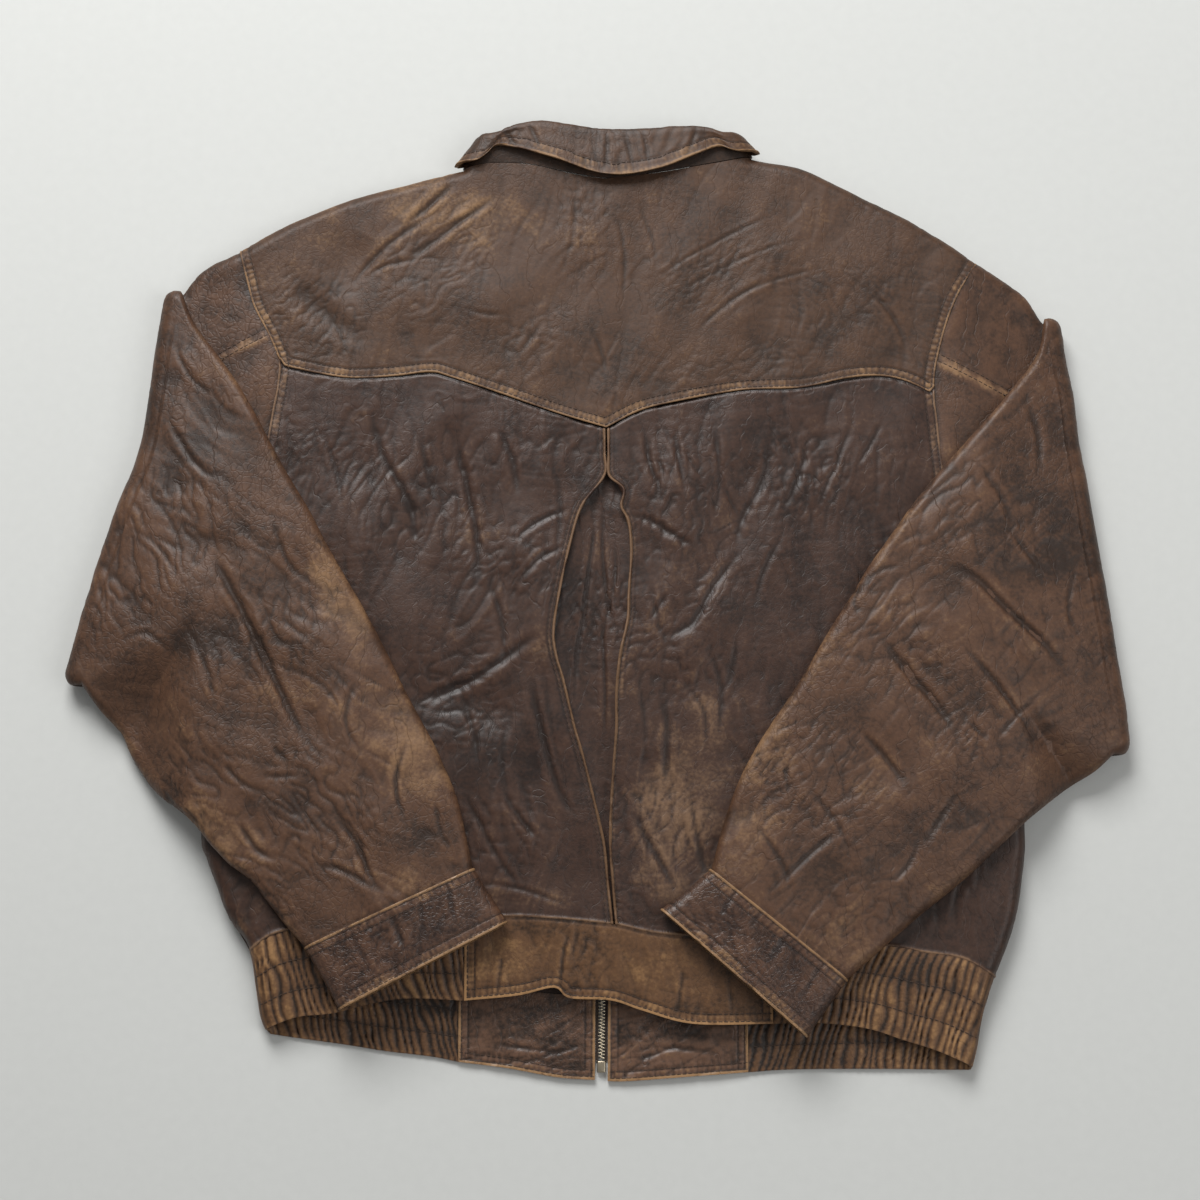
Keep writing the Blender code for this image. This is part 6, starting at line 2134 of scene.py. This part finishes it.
@dataclass
class SideBand:
    """A gathered elastic side of the waistband, from the back tab round to the front tab."""

    shop: Workshop
    side: Side
    wall: float = 2.4
    pitch: float = 6.2
    height: float = 2.3
    step: float = 1.35
    rows: int = 42
    strips: int = 3

    def layer(self, layer: Layer) -> Array:
        """The band's upper or lower layer.

        Args:
            layer: the face.

        Returns:
            Rows from the waist to the hem, by columns from the side's fold to the tab.
        """
        half, form = HALVES[self.side], self.shop.form
        top = layer is Layer.TOP
        waist = curve(half.waist if top else half.front_waist)
        hem = curve(half.back_hem if top else half.front_hem)
        corner, tab = np.array(half.side[-1], float), hem[-1, 0]
        at = spread(abs(tab - corner[0]), self.step, form.edge_radius)
        v = np.linspace(0, 1, self.rows)[:, None]
        fold = along(form.end[self.side], v[:, 0])
        x = fold[:, :1] + (tab - fold[:, :1]) * at
        low = self.height_of(hem, x)
        line = (1 - v) * self.height_of(waist, corner[0] + (tab - corner[0]) * at) + v * low
        start = (1 - v) * corner[1] + v * self.height_of(hem, fold[:, :1])
        plan = np.stack([x, line + (fold[:, 1:] - start) * (1 - at)], axis=-1)
        return form.surface(plan, layer, form.band_height)

    @staticmethod
    def height_of(line: Array, x: Array) -> Array:
        """The y of a line at x."""
        order = np.argsort(line[:, 0])
        return np.interp(x, line[order, 0], line[order, 1])

    def build(self) -> None:
        """Makes the band, gathered into ridges, and pinched along two rows of stitches."""
        back, front = self.layer(Layer.TOP), self.layer(Layer.FLOOR)
        grid = np.concatenate([back[:, ::-1], front[:, 1:]], axis=1)
        face = Surface.outward(grid, False)
        inner = Surface(grid - self.wall * face.normals, -face.normals)
        fold = back.shape[1] - 1
        steps = np.linalg.norm(np.diff(grid, axis=1), axis=2)
        u = np.hstack([np.zeros((len(grid), 1)), np.cumsum(steps, axis=1)])
        u = u - u[:, fold : fold + 1]
        v = np.linspace(0, 1, self.rows)[:, None] + 0 * u
        seed = 150 + self.side.inward
        strip = np.minimum(np.floor(self.strips * v), self.strips - 1)
        swell = np.abs(np.sin(self.strips * np.pi * v)) ** 0.6
        phase = u / self.pitch + 0.75 * noise(u / 26, v * 1.2, seed) + 0.2 * noise(u / 9, v * 3, seed + 4)
        phase = phase + 0.36 * swell * noise(u / 14, 5.7 * strip + 0.5, seed + 1)
        ridge = np.abs(np.sin(np.pi * phase)) ** 0.62
        tall = 0.75 + 0.5 * noise(u / 15, v * 1.5, seed + 2)
        pinch = 0.42 + 0.58 * swell
        ends = ease((u.max() - u) / 5) * ease((u - u.min()) / 5)
        relief = self.height * (ridge - 0.42) * tall * pinch * ends
        away = ease((np.abs(u) - 3) / 8)
        face.rise = np.where(u < 0, relief * (0.4 + 0.6 * away), np.minimum(0.3 * relief - 0.3, 0))
        inner.rise = np.where(u > 0, relief * away, 0.0)
        # The band's colour: lighter on the gathers' crests, as wear, and darker between them, as painted
        # shade; darker along the front layer; darker along the pinched rows, as painted shade; lighter along
        # the waist and hem edges, as wear.
        body = 0.16 + 0.5 * (ridge - 0.45) + 0.22 * noise(u / 40, v * 2, seed + 3) - 0.25 * ease(u / 200)
        body = body - 0.22 * (1 - swell) ** 2
        for surface in (face, inner):
            surface.tint = body + 0.25 * np.exp(-((v / 0.05) ** 2)) + 0.35 * np.exp(-(((1 - v) / 0.04) ** 2))
        name = self.side.value
        self.shop.shells.make(f"waistband_side_{name}", "band", face, self.wall, "gathered",
                              [f"back_{name}", f"front_{name}"], inner=inner)
        third = self.rows // self.strips
        self.pinches = [face.outer()[row, 4 : fold - 2] for row in (third, 2 * third)]
        self.pinches += [inner.outer()[row, fold + 9 : -3] for row in (third, 2 * third)]


@dataclass
class Tabs:
    """The plain tabs of the waistband: one at the back and one on each side of the zip."""

    shop: Workshop
    wall: float = 3.2
    rise: float = 0.8
    top: float = 3.8
    rows: int = 44

    def build(self) -> None:
        """Makes the three tabs."""
        self.back()
        for side in Side:
            self.front(side)

    def back(self) -> None:
        """The back tab, with two rows of stitches inside its ends and its lower edge."""
        x = np.linspace(BACK_TAB_HEM[0][0], BACK_TAB_HEM[-1][0], 176)
        waist = np.interp(x, *BodyForm.across("waist"))
        hem = SideBand.height_of(curve(BACK_TAB_HEM), x)
        v = np.linspace(0, 1, self.rows)[:, None]
        plan = np.stack([x + 0 * v, (1 - v) * waist + v * hem], axis=-1)
        points = self.shop.form.surface(plan, Layer.TOP, self.shop.form.band_height)
        points[..., 2] += self.rise
        face = Surface.facing(points)
        face.lay(TAB_SKIN)
        hem_seam = Seam(rows=BACK_TAB_ROWS, roll=0.8, ribs=0.4, tan=0.25, rim=0.7, seed=14)
        face.sew_line(hem_seam, self.free_edge(plan))
        # Painted shadow: the negative rim darkens the tab's upper edge, under the panels' lower edges.
        face.sew_line(Seam(rows=(), roll=-0.6, ribs=0.3, tan=0.0, rim=-0.2, seed=15), plan[0])
        self.shop.shells.make("waistband_back", "band", face, self.wall, "laid",
                              ["back_left", "back_right"], step=3)

    @staticmethod
    def free_edge(plan: Array) -> Array:
        """The sewn line round a tab: down its first end, along its lower edge and up its last end."""
        return np.vstack([plan[:, 0], plan[-1], plan[::-1, -1]])

    def front(self, side: Side) -> None:
        """One front tab, whose inner face shows below the shorter back.

        Args:
            side: the wearer's side that it is on.
        """
        half = HALVES[side]
        waist, hem = curve(half.front_waist), curve(half.tab_hem)
        v = np.linspace(0, 1, self.rows)[:, None]
        end_y = (1 - v) * waist[-1, 1] + v * hem[-1, 1]
        end_x = zip_x(end_y) - side.inward * ZIP_HALF_GAP
        x = hem[0, 0] + (end_x - hem[0, 0]) * np.linspace(0, 1, 84)
        y = (1 - v) * SideBand.height_of(waist, x) + v * SideBand.height_of(hem, x)
        points = np.dstack([x, y, np.full(x.shape, self.top)])
        face = Surface.facing(points)
        face.lay(FRONT_TAB_SKIN)
        hem_seam = Seam(rows=FRONT_TAB_ROWS, roll=0.7, ribs=0.4, tan=0.2, rim=0.8, seed=16)
        face.sew_line(hem_seam, self.free_edge(points[..., :2]))
        self.shop.shells.make(f"waistband_front_{side.value}", "tab", face, self.wall, "laid",
                              [f"front_{side.value}"], step=3)


TAB_SKIN = Skin(
    folds=creases([(2.6, 1.3, (-31, -309), (-29, -285), (-24, -262)), (2.6, 0.7, (-80, -314), (-76, -280)),
                   (2.6, 0.7, (60, -330), (66, -290)), (2.4, 0.6, (104, -334), (100, -296))]),
    rumples=[Rumple((0, -290), (130, 30), 86, 8.0, 2.4, 1.1, 161)],
    wear=[Wear((-70, -290), (60, 30), 0, 0.3), Wear((60, -300), (60, 30), -10, 0.2)],
    soft=0.8, fine=0.6, seed=162, lean=84.0)

FRONT_TAB_SKIN = Skin(
    folds=creases([(3.0, 0.9, (-90, -350), (-20, -360)), (3.0, 0.9, (30, -352), (96, -358)),
                   (2.6, 0.8, (-60, -366), (-10, -350)), (2.6, 0.8, (20, -366), (70, -350))]),
    rumples=[Rumple((0, -355), (130, 26), 12, 7.0, 3.0, 1.3, 171)],
    # This negative place of wear darkens a strip across the tab, just below the back tab's lower edge.
    wear=[Wear((0, -340), (130, 20), 0, -0.15)], soft=0.8, fine=0.9, seed=172, lean=15.0)


@dataclass
class Collar:
    """The collar, one folded band from the zip round the neck to the zip again."""

    shop: Workshop
    wall: float = 2.0
    panel: float = 2.2
    cad_wall: float = 2.4
    seam_gap: float = 1.0
    floor_gap: float = 0.2
    back: tuple[float, float] = (1.2, 7.8)
    front: tuple[float, float] = (-5.0, 6.9)
    fold: tuple[float, float] = (0.0, 7.4)
    front_stand: float = 30.0
    front_gap: float = 10.0
    calm: float = 40.0
    shown_above: float = 14.0
    steps: tuple[float, ...] = (0.0, 1.5, 5.0, 10.0, 26.0, 50.0, 80.0)

    def column(self, seam: Array, run: Array, out: Array, length: float, shape: tuple,
               edge: Array) -> tuple[Array, Array]:
        """One section of the collar: up the stand, over the roll, down the fall.

        Args:
            seam: where the stand starts.
            run: the direction up the stand.
            out: the direction from the stand to the fall.
            length: the height of the stand.
            shape: how far the stand is lifted, and how far the fall lies beyond it.
            edge: the end of the fall.

        Returns:
            The section's points and its normals.
        """
        lift, turn = shape
        steps = [(self.seam_gap, 0), (0.35 * length, lift), (0.7 * length, lift), (length - 4, lift),
                 (length - 1.1, lift + 0.15 * turn), (length, lift + 0.5 * turn),
                 (length - 1.1, lift + 0.85 * turn), (length - 4, lift + turn)]
        stand = np.array([seam + u * run + o * out for u, o in steps])
        fall = [stand[-1] + share * (edge - stand[-1]) for share in (0.33, 0.67, 1.0)]
        path = np.vstack([stand, fall])
        along_path = unit(np.diff(path, axis=0))
        ahead = unit(np.vstack([along_path[:1], along_path]) + np.vstack([along_path, along_path[-1:]]))
        return path, unit(np.cross(ahead, np.cross(run, out)))

    def half(self, side: Side) -> Array:
        """Sections of half the collar, from the back's middle over the side fold to the zip.

        Args:
            side: the wearer's side.

        Returns:
            For each section its points and its normals.
        """
        data, form, steps = HALVES[side], self.shop.form, np.array(self.steps)
        line, roll, edge = curve(data.neck), curve(data.roll), curve(data.edge)
        shares = np.append(steps / length_of(line), 1.0)
        distance = shares * length_of(line)
        turned = 1 - np.clip(distance / form.edge_radius, 0, 1)
        bend = np.sqrt(1 - turned**2)
        neck, sideways = along(line, shares), np.array([*data.collar_side, 0.0])
        top = form.surface(neck[None], Layer.TOP)[0]
        back = top - UP * self.panel * bend[:, None]
        calm = ease((distance - steps[3]) / self.calm)
        columns = []
        for k in range(len(shares))[::-1]:
            crest, rim_point = along(roll, [1 - shares[k]])[0], along(edge, [1 - shares[k]])[0]
            run = unit(np.append(crest - neck[k], 0.0))
            out = unit(turned[k] * sideways + bend[k] * UP)
            out = unit(out - (out @ run) * run)
            shape = tuple(f + bend[k] * (b - f) for f, b in zip(self.fold, self.back))
            reach = (rim_point[:2] - back[k][:2]) @ run[:2]
            over = back[k] + reach * run + sum(shape) * out
            rim_point = (1 - calm[k]) * over + calm[k] * rim_point
            columns.append(self.column(back[k], run, out, np.linalg.norm(crest - neck[k]), shape, rim_point))
        front_neck = Fronts(self.shop).neck(side, np.append(steps / abs(line[0, 0] - 5), 1.0))
        low = form.surface(front_neck[None], Layer.FLOOR)[0]
        front = low + UP * (self.cad_wall + self.floor_gap)
        side_stand = roll[-1] - neck[0]
        for k in range(1, len(shares)):
            share = float(ease(steps[k] / steps[-1])) if k < len(steps) else 1.0
            crest = front_neck[k] + (1 - share) * side_stand + share * np.array([0, self.front_stand])
            reach = (1 - bend[k]) * ((edge[-1, :2] - neck[0]) @ unit(side_stand)) + bend[k] * self.front_gap
            run = unit(np.append(crest - front_neck[k], 0.0))
            out = unit(turned[k] * sideways - bend[k] * UP)
            out = unit(out - (out @ run) * run)
            shape = tuple(f + bend[k] * (b - f) for f, b in zip(self.fold, self.front))
            rim_point = front[k] + reach * run + sum(shape) * out
            columns.append(self.column(front[k], run, out, np.linalg.norm(crest - front_neck[k]), shape,
                                       rim_point))
        return np.array(columns)

    def build(self) -> None:
        """Makes the collar: coarse sections, drawn finer both ways, with a sewn free edge."""
        left, right = self.half(Side.LEFT), self.half(Side.RIGHT)
        grid = np.vstack([left[::-1, 0], right[1:, 0]])
        normals = np.vstack([left[::-1, 1], right[1:, 1]])
        across, down = np.linspace(0, 1, 300), np.linspace(0, 1, 64)
        fine = resampled(resampled(grid, across, 0), down, 1)
        fine[..., 2] = np.maximum(fine[..., 2], self.floor_gap)
        face = Surface(fine, grid_normals(fine))
        if (grid_normals(grid) * normals).sum() < 0:
            face.normals = -face.normals
        steps = np.linalg.norm(np.diff(fine, axis=1), axis=2)
        path = np.hstack([np.zeros((len(fine), 1)), np.cumsum(steps, axis=1)])
        free = path[:, -1:] - path
        fall = ease((down - 0.48) / 0.1)[None, :] + 0 * path
        face.lay(COLLAR_SKIN, fall)
        where = lengths(fine[:, -1])[:, None] + 0 * path
        seam = Seam(rows=COLLAR_ROWS, roll=0.9, ribs=0.22, tan=0.42, rim=0.3, seed=18)
        face.sew(seam, free, where, fall)
        self.shop.shells.make("collar", "yoke", face, self.wall, "folded", ["back_yoke"], step=4)
        outer = face.outer()
        pick = np.abs(free - COLLAR_ROWS[1]).argmin(axis=1)
        row = outer[np.arange(len(outer)), pick]
        self.stitch_row = row[row[:, 2] > self.shown_above]


COLLAR_SKIN = Skin(
    folds=creases([(3.0, 1.2, (5, 392), (6, 372), (4, 352)), (2.6, 0.9, (20, 390), (24, 370), (28, 352)),
                   (2.6, 0.9, (34, 392), (38, 372), (40, 354)),
                   (3.0, 1.0, (-60, 396), (-52, 380), (-48, 368)),
                   (2.6, 0.8, (-84, 392), (-76, 384), (-66, 372)),
                   (2.6, 0.8, (80, 394), (76, 380), (70, 366))]),
    rumples=[Rumple((20, 372), (70, 26), 84, 7.0, 2.6, 1.2, 181),
             Rumple((-60, 384), (50, 22), 70, 8.0, 2.2, 1.0, 182)],
    wear=[Wear((-60, 388), (60, 20), 0, 0.08), Wear((0, 375), (150, 50), 0, -0.14)],
    soft=0.9, fine=0.5, seed=183, lean=84.0)


@dataclass
class Solids:
    """Small hard shapes and stitches, many of them in one mesh."""

    space: Frame
    sharp: float = 50.0

    @staticmethod
    def rounded_box(half: Sequence[float], radius: float, around: int, over: int) -> tuple[Array, list]:
        """A box with rounded edges about the origin.

        Args:
            half: half of its three sizes.
            radius: the radius of its edges.
            around: points round it, a multiple of four.
            over: rings from its underside to its top, an even number.

        Returns:
            Points, sign(n) * (half - radius) + radius * n for the directions n of a sphere, and faces.
        """
        turn = (np.arange(around) + 0.5) * 2 * np.pi / around
        rise = (np.arange(over) + 0.5) / over * np.pi - np.pi / 2
        flat, up = np.cos(rise)[:, None], np.sin(rise)[:, None]
        n = np.stack([flat * np.cos(turn), flat * np.sin(turn), up + 0 * turn], axis=-1)
        points = np.sign(n) * (np.array(half) - radius) + radius * n
        index = np.arange(around * over).reshape(over, around)
        faces = [tuple(f) for f in quads(index, True).tolist()]
        faces += [tuple(index[0, ::-1].tolist()), tuple(index[-1].tolist())]
        return points.reshape(-1, 3), faces

    @staticmethod
    def repeated(points: Array, faces: list, places: Array, axes: Array) -> tuple[Array, list]:
        """One shape at many places, each with its own three axes (places x 3 x 3).

        Args:
            points: points of the shape.
            faces: its faces.
            places: where each copy goes.
            axes: the three axes of each copy.

        Returns:
            The points and the faces of all the copies.
        """
        moved = places[:, None] + np.einsum("vk,pkc->pvc", points, axes)
        size = len(points)
        copies = [tuple(v + size * k for v in face) for k in range(len(places)) for face in faces]
        return moved.reshape(-1, 3), copies

    def add(self, name: str, slot: str, points: Array, faces: list, finish: bpy.types.Material,
            node: Optional[str] = None) -> bpy.types.Object:
        """Args:
            name: the piece's name.
            slot: the slot of its finish. Not used.
            points: its points in millimetres.
            faces: its faces.
            finish: its material.
            node: the node that it stands for, or None where it is an addition.

        Returns:
            The piece.
        """
        piece = self.space.object(name, points, faces, finish, sharp=self.sharp)
        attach(piece, "root")
        if node:
            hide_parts(node)
        log.info("%s: %d faces", name, len(faces))
        return piece


@dataclass
class Zip:
    """The zip between the fronts: a tape on each side, the chain, the box and the slider."""

    shop: Workshop
    low: float = -364.0
    high: float = 280.0
    half_gap: float = 4.64
    tape: float = 2.4
    tape_top: float = 1.6
    tape_wall: float = 0.9
    pitch: float = 2.6
    tooth: tuple[float, float, float] = (1.75, 0.58, 1.0)
    tooth_edge: float = 0.3
    tooth_height: float = 1.7
    box: tuple = ("zip_box", (3.25, 4.5, 2.0), 0.9)
    slider: tuple = ("zip_slider", (4.2, 7.5, 2.3), 1.2)

    def build(self) -> None:
        """Makes the tapes, the teeth and the two metal ends."""
        y = np.linspace(self.low, self.high, 160)
        for side in Side:
            sign = -side.inward
            outer = zip_x(y) + sign * self.half_gap
            x = outer[:, None] - sign * self.tape * np.linspace(0, 1, 4)
            points = np.dstack([x, y[:, None] + 0 * x, np.full(x.shape, self.tape_top)])
            face = Surface.facing(points)
            self.shop.shells.make(f"zip_tape_{side.value}", "tape", face, self.tape_wall, None, [], step=2)
        solids, metal = Solids(self.shop.space), self.shop.finishes["metal"]
        shape, faces = solids.rounded_box(self.tooth, self.tooth_edge, 8, 4)
        at = np.arange(self.low + 2, self.high - 1, self.pitch / 2)
        sign = np.where(np.arange(len(at)) % 2 == 0, 1.0, -1.0)
        places = np.column_stack([zip_x(at) + sign, at, np.full(len(at), self.tooth_height)])
        axes = np.broadcast_to(np.eye(3), (len(at), 3, 3))
        solids.add("zip_teeth", "zip_metal", *solids.repeated(shape, faces, places, axes), metal)
        for node, half, radius in (self.box, self.slider):
            shape, faces = solids.rounded_box(half, radius, 24, 12)
            low, high = (np.array(corner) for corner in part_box(node))
            centre = ((low + high) / 2 + self.shop.space.shift) / MM
            solids.add(f"{node}_metal", "zip_metal", shape + centre, faces, metal, node)


@dataclass
class Stitching:
    """Every row of stitches, each stitch a short rounded thread sunk into the leather."""

    shop: Workshop
    pitch: float = 4.3
    length: float = 3.3
    radius: float = 0.36
    raised: float = 0.1
    sample: float = 1.6
    covered: float = 0.03
    above: float = 90.0
    places: list[Array] = field(default_factory=list)
    axes: list[Array] = field(default_factory=list)

    def run(self, line: Array, up: Optional[Array] = None) -> None:
        """Puts stitches along a line in space.

        Args:
            line: the line's points, in millimetres.
            up: the direction away from the leather at each point, or None where that is upwards.
        """
        total = length_of(line)
        count = int(total / self.pitch)
        if count < 2:
            return
        middle = (np.arange(count) + 0.5) / count
        reach = 0.5 * self.length / total
        ahead, behind = (along(line, np.clip(middle + step, 0, 1)) for step in (reach, -reach))
        x = unit(ahead - behind)
        z = UP if up is None else unit(along(up, middle))
        y = unit(np.cross(z, x))
        self.places.append((ahead + behind) / 2 + self.raised * np.cross(x, y))
        self.axes.append(np.stack([x, y, np.cross(x, y)], axis=1))

    def over(self, line: Array, pieces: Sequence[str]) -> None:
        """Puts stitches along a line in plan, on the pieces below it, where no folded sleeve covers it.

        Args:
            line: the line's plan points.
            pieces: the pieces that it may lie on, by name.
        """
        line = along(line, np.linspace(0, 1, max(4, int(length_of(line) / self.sample))))
        heights = np.array([self.height(point, pieces) for point in line])
        bare = np.isfinite(heights) & (self.shop.form.under_sleeve(line) < self.covered)
        cuts = np.flatnonzero(np.diff(bare.astype(int))) + 1
        for part in np.split(np.arange(len(line)), cuts):
            if bare[part[0]] and len(part) > 4:
                self.run(np.column_stack([line[part], heights[part]]))

    def height(self, point: Array, pieces: Sequence[str]) -> float:
        """The height of the uppermost of some pieces at a plan point, or nan where there is none.

        Args:
            point: a point in millimetres.
            pieces: the pieces that are looked for.

        Returns:
            The height of the highest of them there.
        """
        start = Vector(self.shop.space.metres(np.append(point, self.above)))
        found = []
        for name in pieces:
            hit = self.shop.shells.trees[name].ray_cast(start, Vector((0, 0, -1)))[0]
            if hit is not None:
                found.append(hit.z / MM)
        return max(found) if found else float("nan")

    def build(self) -> None:
        """Makes one piece of all the stitches."""
        places, axes = np.vstack(self.places), np.vstack(self.axes)
        angle = np.arange(6) * np.pi / 3
        x = np.array([-0.5, -0.34, 0.34, 0.5]) * self.length
        wide = np.array([0.35, 1.0, 1.0, 0.35]) * self.radius
        ring = np.stack([np.cos(angle), np.sin(angle)], axis=-1)
        round_x = (wide[:, None, None] * ring).reshape(-1, 2)
        points = np.concatenate([np.repeat(x, 6)[:, None], round_x], axis=1)
        index = np.arange(24).reshape(4, 6)
        faces = [tuple(f)[::-1] for f in quads(index, True).tolist()]
        faces += [tuple(index[0].tolist()), tuple(index[-1, ::-1].tolist())]
        solids = Solids(self.shop.space)
        solids.add("stitches", "yoke_leather", *solids.repeated(points, faces, places, axes),
                   self.shop.finishes["thread"])
        log.info("stitches: %d", len(places))


@dataclass
class Studio:
    """The floor, the lights and the camera of the photograph."""

    space: Frame
    finishes: Finishes
    distance: float = 2.4
    elevation: float = 80.0
    lens: float = 90.0
    sensor: float = 36.0
    aim_height: float = 0.015
    sky: float = 0.32
    floor_half: float = 4.0
    floor_z: float = -0.0004
    lamps: tuple = (("window", (-0.6, 2.2, 2.0), 1.6, 120.0), ("fill", (1.7, -0.5, 2.1), 1.6, 18.0))

    def build(self) -> None:
        """Lays the floor, hangs the lights and sets the camera."""
        floor = self.floor()
        world = bpy.data.worlds.new("studio")
        world.use_nodes = True
        background = world.node_tree.nodes["Background"]
        background.inputs["Color"].default_value = (1.0, 1.0, 1.0, 1.0)
        background.inputs["Strength"].default_value = self.sky
        bpy.context.scene.world = world
        for lamp in self.lamps:
            self.light(*lamp)
        bpy.context.scene.view_settings.view_transform = "Standard"
        self.camera()

    def floor(self) -> bpy.types.Object:
        """A plain pale floor just below the jacket.

        Returns:
            The floor.
        """
        mesh = bpy.data.meshes.new("floor")
        ways = ((-1, -1), (1, -1), (1, 1), (-1, 1))
        corners = [(self.floor_half * x, self.floor_half * y, self.floor_z) for x, y in ways]
        mesh.from_pydata(corners, [], [(0, 1, 2, 3)])
        mesh.materials.append(self.finishes["floor"])
        floor = bpy.data.objects.new("floor", mesh)
        bpy.context.scene.collection.objects.link(floor)
        return floor

    def light(self, name: str, place: tuple[float, float, float], size: float, power: float) -> None:
        """A soft square light that faces the jacket.

        Args:
            name: its name.
            place: where it hangs, in metres.
            size: the side of the square.
            power: its power in watts.
        """
        data = bpy.data.lights.new(name, "AREA")
        data.size, data.energy = size, power
        lamp = bpy.data.objects.new(name, data)
        lamp.location = place
        lamp.rotation_euler = (-Vector(place)).to_track_quat("-Z", "Y").to_euler()
        bpy.context.scene.collection.objects.link(lamp)

    def camera(self) -> None:
        """The camera, a little short of overhead, from the hem's side."""
        target = Vector((*-self.space.shift[:2], self.aim_height))
        tilt = np.radians(self.elevation)
        data = bpy.data.cameras.new("camera")
        data.lens, data.sensor_width = self.lens, self.sensor
        camera = bpy.data.objects.new("camera", data)
        camera.location = target + self.distance * Vector((0, -np.cos(tilt), np.sin(tilt)))
        camera.rotation_euler = (target - camera.location).to_track_quat("-Z", "Y").to_euler()
        bpy.context.scene.collection.objects.link(camera)
        bpy.context.scene.camera = camera


def stitch(shop: Workshop, sleeves: dict[Side, Sleeve], bands: dict[Side, SideBand], collar: Collar) -> None:
    """Sews every seam that shows.

    Args:
        shop: the workshop, whose pieces are all made.
        sleeves: the sleeves, whose cuffs carry rows of their own.
        bands: the gathered sides of the waistband.
        collar: the collar.
    """
    form, work = shop.form, Stitching(shop)
    left, right = Side.LEFT, Side.RIGHT
    yoke = np.vstack([form.yoke_line(left), form.yoke_line(right)[::-1][1:]])
    for d in DOUBLE_ROWS:
        work.over(offset(yoke, d), ["back_yoke_leather"])
    for side in Side:
        body = ["back_yoke_leather", f"back_{side.value}_leather"]
        for d in DOUBLE_ROWS:
            work.over(offset(form.arm[side], side.inward * d), body)
        pleat = curve(HALVES[side].pleat)
        for d in ((2.6, 5.4) if side is left else (2.8,)):
            work.over(offset(pleat, -side.inward * d), [f"back_{side.value}_leather"])
        head = sleeves[side].head_line()
        for d in HEAD_ROWS:
            work.over(offset(head, -side.inward * d), [f"sleeve_top_{side.value}_leather"])
        for ring in sleeves[side].stitch_rows:
            work.run(ring, unit(ring - ring.mean(axis=0)) * [0.3, 0.3, 1.0])
        for line in bands[side].pinches:
            work.run(line + [0, 0, 0.25])
        hem = curve(HALVES[side].tab_hem)
        front = [f"waistband_front_{side.value}_leather"]
        for d in FRONT_TAB_ROWS:
            work.over(hem + [0, d], front)
            end = np.array([hem[0] + [side.inward * d, 2], hem[0] + [side.inward * d, 50]])
            work.over(end, front)
    tab = curve(BACK_TAB_HEM)
    waist = BodyForm.across("waist")
    for d in BACK_TAB_ROWS:
        work.over(offset(tab, d), ["waistband_back_leather"])
        for end, step in ((tab[0], d), (tab[-1], -d)):
            x = end[0] + step
            work.over(np.array([(x, end[1] + 3), (x, np.interp(x, *waist) - 2)]), ["waistband_back_leather"])
    work.run(collar.stitch_row + [0, 0, 0.1])
    work.build()


def main() -> None:
    """Dresses the jacket."""
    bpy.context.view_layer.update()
    form, space, finishes = BodyForm(), Frame(), Finishes()
    shop = Workshop(form, space, Shells(space, finishes), finishes)
    Back(shop).build()
    Fronts(shop).build()
    sleeves = {side: Sleeve(shop, side) for side in Side}
    bands = {side: SideBand(shop, side) for side in Side}
    for side in Side:
        sleeves[side].build()
        bands[side].build()
    Tabs(shop).build()
    collar = Collar(shop)
    collar.build()
    Zip(shop).build()
    stitch(shop, sleeves, bands, collar)
    Studio(space, finishes).build()


if __name__ == "__main__":
    main()
